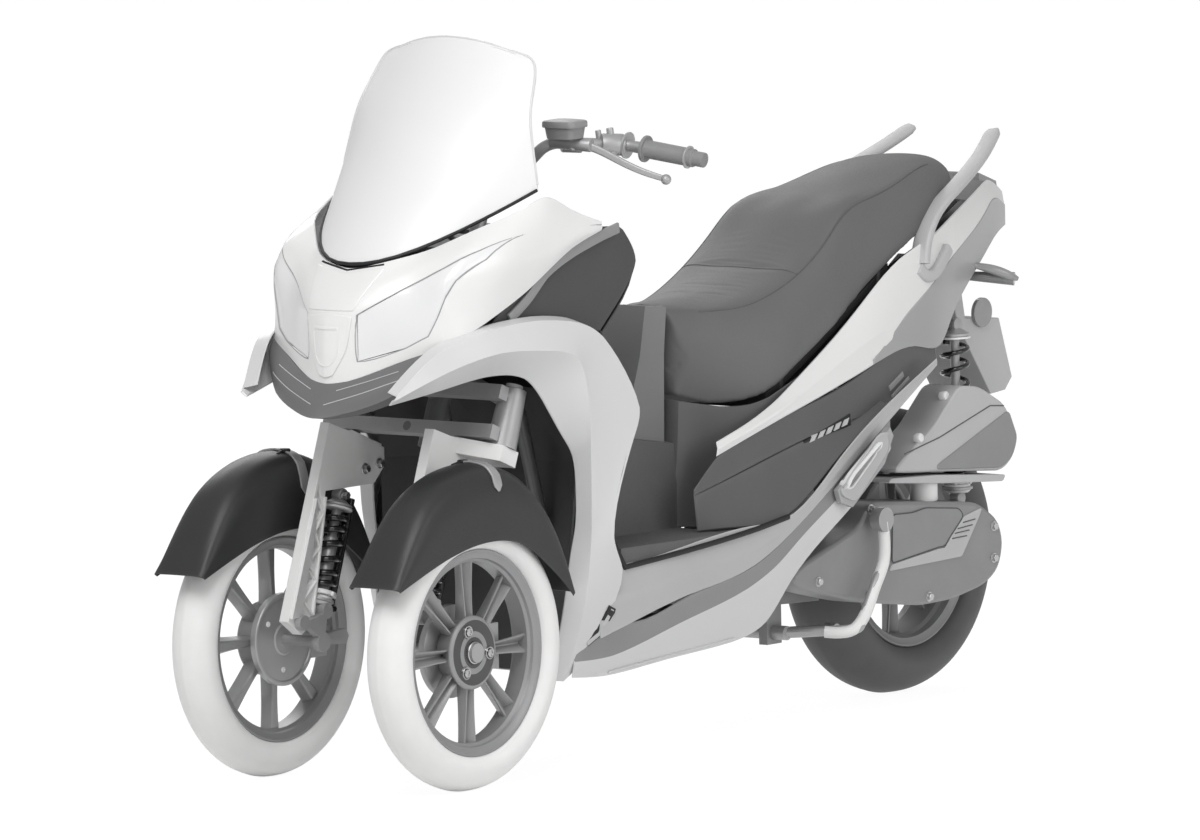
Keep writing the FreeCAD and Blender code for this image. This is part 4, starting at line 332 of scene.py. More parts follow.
# Turned steel bolts and nuts: fine tool marks that stretch the highlight.
TURNED_STEEL = Finish(
    "turned_steel", "#c2c2c3", "#b2b2b3", "#dedede", drift_mm=30.0, roughness=0.28, swing=0.08,
    grain_mm=0.35, depth_mm=0.01, wear=0.3, metallic=1.0, ior=None, brushed=True,
)
# Black enamelled spring wire: a small sharp highlight along each coil.
SPRING_STEEL = Finish(
    "black_enamelled_spring_steel", "#0c0c0d", "#151516", "#404040", drift_mm=40.0, roughness=0.24,
    swing=0.05, grain_mm=0.8, depth_mm=0.02, wear=0.3, coat=0.5,
)
# Extruded rubber seals, black and matt; the same black also stands as painted shade in the slots and gaps
# behind the panels.
BLACK_SEAL_AND_SHADE = Finish(
    "black_seal_rubber", "#141415", "#1b1b1c", "#3a3a3a", drift_mm=40.0, roughness=0.55, swing=0.06,
    grain_mm=0.9, depth_mm=0.03, wear=0.2,
)
# Grey of the headlight gaskets, also used as painted shade along the lamps' lower edges.
LAMP_GASKET_AND_SHADE = BLACK_SEAL_AND_SHADE.like(
    "grey_lamp_gasket", "#a2a2a3", "#9a9a9b", "#c0c0c0", roughness=0.5, depth_mm=0.02
)
GRIP_RUBBER = BLACK_SEAL_AND_SHADE.like(
    "grey_grip_rubber", "#8e8e8f", "#868687", "#a0a0a0", roughness=0.62, depth_mm=0.05
)
# Pale ABS strips let into the panels: smooth, with a thin lacquer.
LIGHT_LINE = Finish(
    "pale_trim_strip", "#c8c8c9", "#bcbcbd", "#e0e0e0", drift_mm=60.0, roughness=0.4, swing=0.06,
    grain_mm=1.0, depth_mm=0.02, wear=0.3, coat=0.2,
)
# Frosted polycarbonate screen: even and pale, almost without relief.
SCREEN = Finish(
    "frosted_polycarbonate", "#ebebeb", "#e6e6e6", "#f4f4f4", drift_mm=300.0, roughness=0.42, swing=0.02,
    grain_mm=3.0, depth_mm=0.006, wear=0.2, coat=0.05,
)
# Opal headlight lens: the same resin, polished.
LAMP_LENS = SCREEN.like(
    "opal_lamp_polycarbonate", "#ebebec", "#e6e6e7", "#f6f6f6", drift_mm=120.0, roughness=0.22, coat=0.3
)
# Smoked acrylic of the turn signals and tail lights: glossy over a fine prism pattern.
SIGNAL_LENS = Finish(
    "smoked_signal_lens", "#9c9c9d", "#8e8e8f", "#c4c4c4", drift_mm=30.0, roughness=0.18, swing=0.03,
    grain_mm=2.0, depth_mm=0.04, wear=0.3, coat=0.5,
)


@dataclass
class Shape:
    """Points and faces in metres; each array in faces holds faces of one corner count."""

    points: Array
    faces: list[Array]

    def volume(self) -> float:
        """The signed volume: a sixth of the sum of a . (b x c) over the faces cut into fans."""
        centred = self.points - self.points.mean(axis=0)
        total = 0.0
        for group in self.faces:
            first = centred[group[:, :1]]
            second = centred[group[:, 1:-1]]
            third = centred[group[:, 2:]]
            total += float((first * np.cross(second, third)).sum()) / 6.0
        return total

    def outward(self) -> "Shape":
        """The same closed shape with its faces turned outwards."""
        if self.volume() >= 0:
            return self
        return Shape(self.points, [group[:, ::-1] for group in self.faces])

    def mirrored(self) -> "Shape":
        """The shape on the other side of the machine."""
        return Shape(self.points * [1.0, -1.0, 1.0], [group[:, ::-1] for group in self.faces])

    def sided(self, side: Side) -> "Shape":
        """The shape, drawn for the left, on the side that is asked for."""
        return self if side is Side.LEFT else self.mirrored()

    def moved(self, offset: Array) -> "Shape":
        """The shape carried along a vector."""
        return Shape(self.points + offset, self.faces)

    def turned(self, turn: Array, centre: Array) -> "Shape":
        """The shape turned about a point by a 3 x 3 rotation matrix."""
        return Shape((self.points - centre) @ turn.T + centre, self.faces)


def joined(*shapes: Shape) -> Shape:
    """One shape out of several, each with its own faces."""
    points = np.concatenate([shape.points for shape in shapes])
    offsets = np.cumsum([0] + [len(shape.points) for shape in shapes[:-1]])
    faces = [group + start for shape, start in zip(shapes, offsets) for group in shape.faces]
    return Shape(points, faces)


def both_sides(shape: Shape) -> Shape:
    """The shape and its mirror image."""
    return joined(shape, shape.mirrored())


def unit(vector: Array) -> Array:
    """Vectors along the last axis scaled to length one."""
    length = np.linalg.norm(vector, axis=-1, keepdims=True)
    return vector / np.maximum(length, 1e-12)


def rotation(axis: Array, angle: float) -> Array:
    """The rotation matrix about an axis: cos I + sin K + (1 - cos) a a^T, K the cross matrix."""
    x, y, z = unit(np.asarray(axis, float))
    cross = np.array([[0.0, -z, y], [z, 0.0, -x], [-y, x, 0.0]])
    outer = np.outer([x, y, z], [x, y, z])
    return math.cos(angle) * np.eye(3) + math.sin(angle) * cross + (1 - math.cos(angle)) * outer


def grid_faces(rows: int, columns: int, wrap_rows: bool = False, wrap_columns: bool = False) -> Array:
    """Four-cornered faces over a grid of points numbered row by row.

    Args:
        rows: Number of rows.
        columns: Number of points in a row.
        wrap_rows: Whether the last row joins the first.
        wrap_columns: Whether each row's last point joins its first.

    Returns:
        An array of faces with four corners each.
    """
    i, j = np.meshgrid(
        np.arange(rows if wrap_rows else rows - 1),
        np.arange(columns if wrap_columns else columns - 1),
        indexing="ij",
    )
    below, aside = (i + 1) % rows, (j + 1) % columns
    corners = [i * columns + j, below * columns + j, below * columns + aside, i * columns + aside]
    return np.stack(corners, axis=-1).reshape(-1, 4)


def natural_weights(knots: Array, samples: Array, slack: float) -> Array:
    """Weights that carry values at the knots to the samples along a natural cubic spline.

    Inside each span the value is the straight blend of its ends plus the cubic term
    (s^3 / h - s h) / 6 of the second derivatives, which solve the usual tridiagonal system.
    A slack of one leaves the straight blend.

    Args:
        knots: Rising parameters of the given points.
        samples: Parameters to work out.
        slack: Share of the cubic term that is left out.

    Returns:
        A matrix of samples by knots.
    """
    count = len(knots)
    gaps = np.diff(knots)
    left, right = np.eye(count), np.zeros((count, count))
    if count > 2:
        inner = np.arange(1, count - 1)
        left[inner, inner - 1], left[inner, inner + 1] = gaps[:-1], gaps[1:]
        left[inner, inner] = 2 * (gaps[:-1] + gaps[1:])
        right[inner, inner - 1], right[inner, inner + 1] = 6 / gaps[:-1], 6 / gaps[1:]
        right[inner, inner] = -6 / gaps[:-1] - 6 / gaps[1:]
    bends = np.linalg.solve(left, right)
    span = np.clip(np.searchsorted(knots, samples, side="right") - 1, 0, count - 2)
    gap = gaps[span]
    after, before = samples - knots[span], knots[span + 1] - samples
    plain = np.eye(count)
    straight = (before / gap)[:, None] * plain[span] + (after / gap)[:, None] * plain[span + 1]
    curved = ((before**3 / gap - before * gap) / 6)[:, None] * bends[span]
    curved += ((after**3 / gap - after * gap) / 6)[:, None] * bends[span + 1]
    return straight + (1 - slack) * curved


def spline_weights(
    table: Array, axis: int, steps: int, creases: Sequence[int] = (), slack: float = 0.0
) -> Array:
    """Spline weights along one axis of a table of points, broken at creases.

    Args:
        table: Points on a grid, with the coordinates on the last axis.
        axis: The grid axis to smooth.
        steps: Samples per span.
        creases: Indices where the surface may fold.
        slack: Share of the curvature that is left out.

    Returns:
        A matrix of samples by points on that axis.
    """
    chords = np.linalg.norm(np.diff(np.moveaxis(table, axis, 0), axis=0), axis=-1)
    chords = chords.reshape(len(chords), -1).mean(axis=1)
    knots = np.concatenate([[0.0], np.cumsum(np.maximum(chords, 1e-6))])
    blocks = []
    cuts = [0, *creases, len(knots) - 1]
    for first, last in zip(cuts, cuts[1:]):
        own = knots[first : last + 1]
        even = np.linspace(0, last - first, (last - first) * steps + 1)
        samples = np.interp(even, np.arange(last - first + 1), own)
        block = np.zeros((len(samples), len(knots)))
        block[:, first : last + 1] = natural_weights(own, samples, slack)
        blocks.append(block[1:] if blocks else block)
    return np.concatenate(blocks)


def smooth_grid(
    table: Array,
    steps: tuple[int, int] = (6, 6),
    row_creases: Sequence[int] = (),
    column_creases: Sequence[int] = (),
    slack: float = 0.0,
) -> Array:
    """A fine grid through a coarse one: spline weights are applied down it, then across it."""
    down = spline_weights(table, 0, steps[0], row_creases, slack)
    over = spline_weights(table, 1, steps[1], column_creases, slack)
    return np.einsum("ai,bj,ijk->abk", down, over, table)


def smooth_line(
    points: Sequence | Array, steps: int = 8, creases: Sequence[int] = (), slack: float = 0.0
) -> Array:
    """A fine line through coarse points."""
    table = np.asarray(points, float)
    return spline_weights(table, 0, steps, creases, slack) @ table


def with_mirror(ribs: Array) -> Array:
    """Ribs from the middle outwards, completed with their mirror images before them."""
    return np.concatenate([(ribs * [1.0, -1.0, 1.0])[:0:-1], ribs])


def across(rows: Array) -> Array:
    """Rows that run from the left edge to the middle line, completed on the other side."""
    return np.concatenate([rows, (rows * [1.0, -1.0, 1.0])[:, -2::-1]], axis=1)


def grid_normals(grid: Array, core: Array) -> Array:
    """Unit normals of a grid, the cross product of its two differences, facing away from a core."""
    normals = unit(np.cross(np.gradient(grid, axis=0), np.gradient(grid, axis=1)))
    away = ((grid - core) * normals).sum()
    return normals if away >= 0 else -normals


def shell(grid: Array, wall: float, core: Array) -> Shape:
    """A panel of even wall with a rolled edge.

    The outer grid is copied inwards along its normals. Round the border, points half a wall
    further out in the surface join both grids, so that the edge turns like a moulded lip.

    Args:
        grid: Outer points, rows by columns.
        wall: Thickness in metres.
        core: A point on the inner side.

    Returns:
        A closed shape.
    """
    rows, columns = grid.shape[:2]
    inner = grid - grid_normals(grid, core) * wall
    i = np.concatenate([
        np.arange(rows - 1), np.full(columns - 1, rows - 1),
        np.arange(rows - 1, 0, -1), np.zeros(columns - 1, int),
    ])
    j = np.concatenate([
        np.zeros(rows - 1, int), np.arange(columns - 1),
        np.full(rows - 1, columns - 1), np.arange(columns - 1, 0, -1),
    ])
    out = np.zeros_like(grid)
    out[0] += unit(grid[0] - grid[1])
    out[-1] += unit(grid[-1] - grid[-2])
    out[:, 0] += unit(grid[:, 0] - grid[:, 1])
    out[:, -1] += unit(grid[:, -1] - grid[:, -2])
    lip = (grid[i, j] + inner[i, j]) / 2 + out[i, j] * (wall / 2)
    points = np.concatenate([grid.reshape(-1, 3), inner.reshape(-1, 3), lip])
    half = rows * columns
    faces = grid_faces(rows, columns)
    rim = i * columns + j
    lips = 2 * half + np.arange(len(rim))
    rim_next, lips_next = np.roll(rim, -1), np.roll(lips, -1)
    front = np.stack([rim, rim_next, lips_next, lips], axis=-1)
    back = np.stack([lips, lips_next, rim_next + half, rim + half], axis=-1)
    sheet = Shape(points, [faces, faces[:, ::-1] + half, front[:, ::-1], back[:, ::-1]])
    return consistent(sheet, core)


def consistent(sheet: Shape, core: Array) -> Shape:
    """A shell whose outer faces look away from the core, whatever way its grid runs."""
    first = sheet.faces[0]
    a, b, d = (sheet.points[first[:, k]] for k in (0, 1, 3))
    facing = (np.cross(b - a, d - a) * (a - core)).sum()
    if facing >= 0:
        return sheet
    return Shape(sheet.points, [group[:, ::-1] for group in sheet.faces])


def capped(rings: Array) -> Shape:
    """A tube out of rings of points, closed by a fan at either end and turned outwards."""
    rows, columns = rings.shape[:2]
    ends = np.stack([rings[0].mean(axis=0), rings[-1].mean(axis=0)])
    points = np.concatenate([rings.reshape(-1, 3), ends])
    step = np.arange(columns)
    after = (step + 1) % columns
    low = np.stack([after, step, np.full(columns, rows * columns)], axis=-1)
    base = (rows - 1) * columns
    high = np.stack([base + step, base + after, np.full(columns, rows * columns + 1)], axis=-1)
    body = grid_faces(rows, columns, wrap_columns=True)
    flip = np.stack([body[:, 0], body[:, 3], body[:, 2], body[:, 1]], axis=-1)
    return oriented(Shape(points, [flip, low, high]))


def oriented(tube: Shape) -> Shape:
    """A capped tube with all faces outwards, each group tested by the volume that it spans."""
    centred = tube.points - tube.points.mean(axis=0)
    groups = []
    for group in tube.faces:
        first, second, third = centred[group[:, 0]], centred[group[:, 1]], centred[group[:, 2]]
        groups.append(group if (first * np.cross(second, third)).sum() >= 0 else group[:, ::-1])
    return Shape(tube.points, groups)


def frames(path: Array, up: Array) -> tuple[Array, Array]:
    """Side and normal vectors along a path: side = up x way, normal = way x side."""
    way = unit(np.gradient(path, axis=0))
    side = unit(np.cross(np.broadcast_to(up, way.shape), way))
    return side, np.cross(way, side)


def swept(path: Array, section: Array, up: Array, scale: Array | float = 1.0) -> Shape:
    """A closed section carried along a path.

    Each point is path + scale * (a * side + b * normal) for the section's pairs (a, b).

    Args:
        path: Points of the middle line.
        section: Pairs in metres, round the section once.
        up: A direction that the path never runs along.
        scale: One factor, or one for each point of the path.

    Returns:
        A closed shape.
    """
    side, normal = frames(path, np.asarray(up, float))
    grow = np.broadcast_to(np.asarray(scale, float).reshape(-1, 1, 1), (len(path), 1, 1))
    ring = section[None, :, :1] * side[:, None, :] + section[None, :, 1:] * normal[:, None, :]
    return capped(path[:, None, :] + grow * ring)


def circle(radius: float, sides: int = 24) -> Array:
    """Pairs round a circle."""
    angle = np.arange(sides) * (2 * math.pi / sides)
    return radius * np.stack([np.cos(angle), np.sin(angle)], axis=-1)


def rounded_box(width: float, height: float, radius: float, steps: int = 4) -> Array:
    """Pairs round a rectangle with round corners: each corner is a quarter circle of points."""
    quarter = np.linspace(0, math.pi / 2, steps)
    arc = radius * np.stack([np.cos(quarter), np.sin(quarter)], axis=-1)
    corner = np.array([width / 2 - radius, height / 2 - radius])
    first = arc + corner
    second = (first * [-1, 1])[::-1]
    return np.concatenate([first, second, -first, -second])


def rod(start: Array, end: Array, radius: float, sides: int = 20, lip: float = 0.15) -> Shape:
    """A round bar with softened ends: radii step in by a share of the radius at either end."""
    start, end = np.asarray(start, float), np.asarray(end, float)
    length = np.linalg.norm(end - start)
    ease = min(lip * radius, 0.4 * length)
    profile = np.array([
        [0.0, radius - ease], [0.3 * ease, radius - 0.3 * ease], [ease, radius],
        [length - ease, radius], [length - 0.3 * ease, radius - 0.3 * ease], [length, radius - ease],
    ])
    return lathe(profile, start, end - start, sides)


def lathe(profile: Array, foot: Array, axis: Array, sides: int = 48) -> Shape:
    """A solid turned from pairs (distance along the axis, radius), with flat ends."""
    along, across_axis, third = basis(axis)
    angle = np.arange(sides) * (2 * math.pi / sides)
    spin = np.cos(angle)[:, None] * across_axis + np.sin(angle)[:, None] * third
    profile = np.asarray(profile, float)
    rings = foot + profile[:, :1, None] * along + profile[:, 1:, None] * spin[None]
    return capped(rings)


def ring(profile: Array, foot: Array, axis: Array, sides: int = 96) -> Shape:
    """A hollow ring turned from a closed loop of pairs (distance along the axis, radius)."""
    along, across_axis, third = basis(axis)
    angle = np.arange(sides) * (2 * math.pi / sides)
    spin = np.cos(angle)[:, None] * across_axis + np.sin(angle)[:, None] * third
    profile = np.asarray(profile, float)
    points = foot + profile[None, :, :1] * along + profile[None, :, 1:] * spin[:, None, :]
    return Shape(points.reshape(-1, 3), [grid_faces(sides, len(profile), True, True)]).outward()


def basis(axis: Array) -> tuple[Array, Array, Array]:
    """Three square unit vectors, the first along the axis."""
    along = unit(np.asarray(axis, float))
    helper = np.array([0.0, 0.0, 1.0]) if abs(along[2]) < 0.9 else np.array([1.0, 0.0, 0.0])
    across_axis = unit(np.cross(helper, along))
    return along, across_axis, np.cross(along, across_axis)


def slab(outline: Array, depth: Array) -> Shape:
    """A flat outline of points pushed along a vector, with many-cornered end faces."""
    count = len(outline)
    points = np.concatenate([outline, outline + depth])
    low = np.arange(count)[None, ::-1]
    high = np.arange(count)[None] + count
    step = np.arange(count)
    after = (step + 1) % count
    wall = np.stack([step, after, after + count, step + count], axis=-1)
    return Shape(points, [low, high, wall]).outward()


def rounded(outline: Sequence | Array, reach: float, steps: int = 5) -> Array:
    """A closed outline with each corner drawn as (1 - t)^2 before + 2 t (1 - t) corner + t^2 after.

    Args:
        outline: The corners in order.
        reach: How far from each corner its curve starts and ends.
        steps: Points on each curve.

    Returns:
        The finer outline.
    """
    corner = np.asarray(outline, float)
    t = np.linspace(0.0, 1.0, steps)[None, :, None]
    ends = []
    for shift in (1, -1):
        leg = np.roll(corner, shift, axis=0) - corner
        length = np.linalg.norm(leg, axis=1, keepdims=True)
        ends.append((corner + leg * np.minimum(reach / length, 0.45))[:, None])
    curve = (1 - t) ** 2 * ends[0] + 2 * t * (1 - t) * corner[:, None] + t**2 * ends[1]
    return curve.reshape(-1, corner.shape[1])


def ball(centre: Array, radius: float, sides: int = 20) -> Shape:
    """A ball turned from a half circle."""
    angle = np.linspace(0.02, math.pi - 0.02, sides // 2)
    profile = np.stack([-radius * np.cos(angle), radius * np.sin(angle)], axis=-1)
    return lathe(profile, np.asarray(centre, float), np.array([0.0, 0.0, 1.0]), sides)


def bolt(foot: Array, axis: Array, radius: float, height: float) -> Shape:
    """A hexagon head on a round washer."""
    washer = lathe(
        [[0.0, 1.35 * radius], [0.18 * height, 1.35 * radius], [0.25 * height, 1.28 * radius]],
        foot, axis, 20,
    )
    head = lathe(
        [[0.2 * height, radius], [0.85 * height, radius], [height, 0.86 * radius]], foot, axis, 6
    )
    return joined(washer, head)


@dataclass
class Surface:
    """A panel's skin that lines and patches are laid on, seen along one direction."""

    shape: Shape
    way: Array
    seen_from: float = 2.0

    def __post_init__(self) -> None:
        """Sorts the faces into a tree that lines of sight are cast at."""
        faces = [face for group in self.shape.faces for face in group.tolist()]
        self.tree = BVHTree.FromPolygons(self.shape.points.tolist(), faces)

    def lay(self, points: Array, lift: float = 0.0) -> tuple[Array, Array]:
        """Where lines of sight along the surface's direction first meet it.

        Args:
            points: Points of any shape whose last axis holds X, Y and Z.
            lift: How far off the surface they end up, along its normal.

        Returns:
            The points on the surface and the outward normals there.
        """
        flat = np.asarray(points, float).reshape(-1, 3)
        sight = Vector((-self.way).tolist())
        spots, normals = flat.copy(), np.tile(self.way, (len(flat), 1))
        for k, start in enumerate(flat + self.way * self.seen_from):
            hit, normal, _, _ = self.tree.ray_cast(Vector(start.tolist()), sight)
            if hit is not None:
                spots[k] = hit
                normals[k] = normal if normal.dot(sight) < 0 else -normal
        spots += normals * lift
        return spots.reshape(np.shape(points)), normals.reshape(np.shape(points))

    def bead(
        self, line: Array, width: float, height: float, steps: int = 6, creases: Sequence[int] = (),
        sink: float = 0.0005, slack: float = 0.5,
    ) -> Shape:
        """A flat bead along a line, sunk a little into the surface: a seam, a gasket or an edge."""
        path, normals = self.lay(smooth_line(line, steps, creases, slack), height / 2 - sink)
        return swept(path, rounded_box(width, height, 0.3 * min(width, height), 3), normals)

    def plate(self, corners: Array, height: float, steps: tuple[int, int], bow: float = 0.0) -> Shape:
        """A raised plate over rows of corners; a bow of one curves it fully between them."""
        top, _ = self.lay(smooth_grid(corners, steps, slack=1.0 - bow), height)
        return shell(top, height + MM, top.mean(axis=(0, 1)) - self.way * 0.5)

    def patch(self, outline: Array, height: float, sink: float = MM) -> Shape:
        """A raised panel inside a closed outline, on a face that is nearly flat."""
        low, _ = self.lay(outline, -sink)
        return slab(low, self.way * (height + sink))


def as_mesh(name: str, shape: Shape) -> bpy.types.Mesh:
    """A shape as a Blender mesh."""
    mesh = bpy.data.meshes.new(name)
    mesh.from_pydata(shape.points.tolist(), [], [face for group in shape.faces for face in group.tolist()])
    return mesh


def link(name: str, data: bpy.types.ID) -> bpy.types.Object:
    """A new object in the scene that shows a mesh, a lamp or a camera."""
    thing = bpy.data.objects.new(name, data)
    bpy.context.scene.collection.objects.link(thing)
    return thing


def settle(
    mesh: bpy.types.Mesh, name: str, finish: Finish, slot: str, *replaced: str, body: str = "chassis",
    bevel_mm: float = 0.0, fold: float = FOLD,
) -> bpy.types.Object:
    """Puts a mesh into the scene as one piece of the machine.

    Args:
        mesh: Its mesh, in the machine's frame.
        name: The piece's name.
        finish: What it is made of.
        slot: The record's material slot; not used.
        replaced: CAD nodes that it stands for.
        body: The body that it rides on.
        bevel_mm: Width of the rounding on its edges.
        fold: Angle in degrees above which an edge stays sharp.

    Returns:
        The new object.
    """
    mesh.shade_smooth()
    mesh.set_sharp_from_angle(angle=math.radians(fold))
    piece = link(name, mesh)
    mesh.materials.clear()
    mesh.materials.append(finish.material())
    if bevel_mm:
        bevel = piece.modifiers.new("rounding", "BEVEL")
        bevel.width, bevel.segments = bevel_mm * MM, 2
        bevel.limit_method, bevel.angle_limit = "ANGLE", math.radians(fold)
    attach(piece, body)
    if replaced:
        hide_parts(*replaced)
    log.info("%s: %d points", name, len(mesh.vertices))
    return piece


def show(
    name: str, shape: Shape, finish: Finish, slot: str, *replaced: str, body: str = "chassis",
    bevel_mm: float = 0.0, fold: float = FOLD,
) -> bpy.types.Object:
    """Puts a shape into the scene as one piece; the arguments are those of settle."""
    mesh = as_mesh(name, shape)
    return settle(mesh, name, finish, slot, *replaced, body=body, bevel_mm=bevel_mm, fold=fold)


def refine(
    node: str, finish: Finish, slot: str, bevel_mm: float, body: str = "chassis"
) -> bpy.types.Object:
    """A casting or moulding after its CAD node: facets in one plane are joined and edges rounded."""
    source = frame["nodes"][node]
    mesh = source.data.copy()
    mesh.transform(source.matrix_world)
    work = bmesh.new()
    work.from_mesh(mesh)
    bmesh.ops.remove_doubles(work, verts=work.verts, dist=2e-5)
    bmesh.ops.dissolve_limit(work, angle_limit=math.radians(1.5), verts=work.verts, edges=work.edges)
    work.to_mesh(mesh)
    work.free()
    return settle(mesh, f"{node}_casting", finish, slot, node, body=body, bevel_mm=bevel_mm, fold=30.0)


class Cut(Enum):
    """What a cutting shape does to a piece."""

    REMOVE = "DIFFERENCE"
    KEEP = "INTERSECT"


def carve(piece: bpy.types.Object, cutter: Shape, cut: Cut) -> None:
    """Cuts a piece with a closed shape and applies the cut to its mesh."""
    tool = link("cutter", as_mesh("cutter", cutter))
    step = piece.modifiers.new("cut", "BOOLEAN")
    step.operation, step.solver, step.object = cut.value, "EXACT", tool
    apply_modifiers(piece)
    bpy.data.objects.remove(tool)
    piece.data.set_sharp_from_angle(angle=math.radians(FOLD))


def apply_modifiers(piece: bpy.types.Object) -> None:
    """Bakes a piece's modifiers into its mesh."""
    graph = bpy.context.evaluated_depsgraph_get()
    baked = bpy.data.meshes.new_from_object(piece.evaluated_get(graph))
    old = piece.data
    piece.modifiers.clear()
    piece.data = baked
    bpy.data.meshes.remove(old)


def coordinates(mesh: bpy.types.Mesh) -> Array:
    """A mesh's points as an array with one row for each."""
    flat = np.empty(3 * len(mesh.vertices))
    mesh.vertices.foreach_get("co", flat)
    return flat.reshape(-1, 3)


def skin_of(piece: bpy.types.Object, way: Array) -> Surface:
    """A finished piece's own skin, to lay details on."""
    faces = [np.array([list(face.vertices)]) for face in piece.data.polygons]
    return Surface(Shape(coordinates(piece.data), faces), way)


def dress(finish: Finish, *nodes: str) -> None:
    """Gives CAD nodes that stay in view their finish."""
    for node in nodes:
        for slot in frame["nodes"][node].material_slots:
            slot.material = finish.material()


@dataclass
class Wheel:
    """A cast wheel with its tyre, turned about a cross axle; every half is half a width."""

    node: str
    body: str
    middle: Array
    side: int
    tyre_radius: float
    tyre_half: float
    rim_radius: float
    rim_half: float
    hub_half: float
    tyre_finish: Finish
    tyre_slot: str
    drum_radius: float = 0.086
    hub_radius: float = 0.068
    bore: float = 0.0102
    spokes: int = 8
    sidewall_shares: tuple = (
        (0.0, 0.66), (0.05, 0.8), (0.16, 0.93), (0.3, 1.0), (0.46, 0.985), (0.58, 0.93), (0.7, 0.82),
        (0.84, 0.62), (0.94, 0.36), (1.0, 0.0),
    )
    spoke_shares: tuple = (
        (-1.0, 0.7), (-0.95, 0.96), (-0.78, 1.0), (-0.66, 0.9), (-0.1, -0.3), (0.1, -0.3), (0.66, 0.9),
        (0.78, 1.0), (0.95, 0.96), (1.0, 0.7), (0.6, -0.8), (0.4, -1.0), (-0.4, -1.0), (-0.6, -0.8),
    )

    @property
    def axis(self) -> Array:
        """The outward direction of the axle."""
        return LEFT * self.side

    def turned(self, profile: Sequence | Array, sides: int = 96) -> Shape:
        """A closed loop of pairs (distance outwards, radius) turned about the axle."""
        return ring(profile, self.middle, self.axis, sides)

    def on_face(self, reach: float, degrees: float, out: float) -> Array:
        """A place round the axle at a reach and an angle, and at a distance outwards."""
        angle = math.radians(degrees)
        flat = np.array([reach * math.cos(angle), 0.0, reach * math.sin(angle)])
        return self.middle + self.axis * out + flat

    def tyre(self) -> Shape:
        """The tyre: a spline from bead to crown, closed by its mirror image.

        The shares are (share of the way from rim to crown, share of half width).
        """
        lip = self.rim_radius + 0.0003
        fine = smooth_line(self.sidewall_shares, 5)
        fine = np.concatenate([fine, (fine * [1, -1])[-2::-1]])
        radial = lip + (self.tyre_radius - lip) * np.minimum(fine[:, 0], 1.0)
        seat, bead = self.rim_half - 0.0063, self.rim_radius - 0.012
        lateral = np.concatenate([[seat, seat], self.tyre_half * fine[:, 1], [-seat, -seat]])
        radial = np.concatenate([[bead, lip], radial, [lip, bead]])
        return self.turned(np.stack([lateral, radial], axis=-1), 128)

    def barrel(self) -> Shape:
        """The rim: an outer lip, a step, a bead seat and a dropped well, as one closed section."""
        r, h = self.rim_radius, self.rim_half
        outside = [
            (h, r - 0.0015), (h - 0.0015, r), (h - 0.006, r), (h - 0.006, r - 0.012), (h * 0.55, r - 0.018),
            (0.0, r - 0.019),
        ]
        inside = [
            (h - 0.0005, r - 0.004), (h - 0.004, r - 0.0075), (h - 0.007, r - 0.0165),
            (h * 0.62, r - 0.0185), (h * 0.5, r - 0.0235), (0.0, r - 0.0245),
        ]
        top, low = (line + [(-a, b) for a, b in line[-2::-1]] for line in (outside, inside))
        return self.turned(top + low[::-1], 128)

    def spoke(self, angle: float) -> Shape:
        """One spoke: a V-grooved section carried outwards, wider where it meets the rim.

        At share s of its length it is 11.5 + 7.5 s^1.6 mm wide and 11 + 4 (1 - s)^2 mm deep.
        """
        share = np.linspace(0.0, 1.0, 9)
        start, end = self.hub_radius - 0.008, self.rim_radius - 0.0205
        width, depth = 0.0115 + 0.0075 * share**1.6, 0.011 + 0.004 * (1 - share) ** 2
        section = np.array(self.spoke_shares)
        rings = np.zeros((len(share), len(section), 3))
        rings[..., 0] = (start + (end - start) * share)[:, None]
        rings[..., 1] = section[:, 1] * depth[:, None] * self.side
        rings[..., 2] = section[:, 0] * width[:, None]
        return capped(rings).turned(rotation(LEFT, angle), np.zeros(3)).moved(self.middle)

    def hub(self) -> Shape:
        """The hub: a round face with a chamfer, a waist behind it and the bore's boss."""
        r, h, bore = self.hub_radius, self.hub_half, self.bore
        return self.turned([
            (-h, bore), (-h, r * 0.72), (-h + 0.004, r * 0.8), (-0.4 * h, r * 0.84), (0.2 * h, r - 0.006),
            (h - 0.008, r - 0.001), (h - 0.006, r), (h - 0.0035, r - 0.0005), (h - 0.001, r - 0.003),
            (h, r - 0.006), (h, 0.024), (h - 0.003, 0.022), (h - 0.003, bore),
        ])

    def drum(self) -> Shape:
        """The brake's cover behind the hub: a thick plate with a rolled rim and a dished face."""
        r, low, bore = self.drum_radius, -self.hub_half, self.bore
        return self.turned([
            (low, bore), (low, r - 0.004), (low - 0.0015, r - 0.0008), (low - 0.003, r), (low - 0.013, r),
            (low - 0.0148, r - 0.0015), (low - 0.0155, r - 0.0045), (low - 0.015, r - 0.008),
            (low - 0.012, r - 0.0095), (low - 0.012, 0.03), (low - 0.0145, 0.027), (low - 0.0145, bore),
        ], 112)

    def face(self) -> Shape:
        """The machined plate on the hub's face, a shallow dish with a rolled rim."""
        r, h = self.hub_radius, self.hub_half
        return self.turned([
            (h - 0.004, 0.02), (h - 0.004, r - 0.007), (h - 0.0012, r - 0.0065), (h + 0.0002, r - 0.008),
            (h + 0.0004, r - 0.01), (h - 0.0002, 0.03), (h + 0.0004, 0.0262), (h + 0.0004, 0.0222),
            (h - 0.001, 0.0205),
        ])

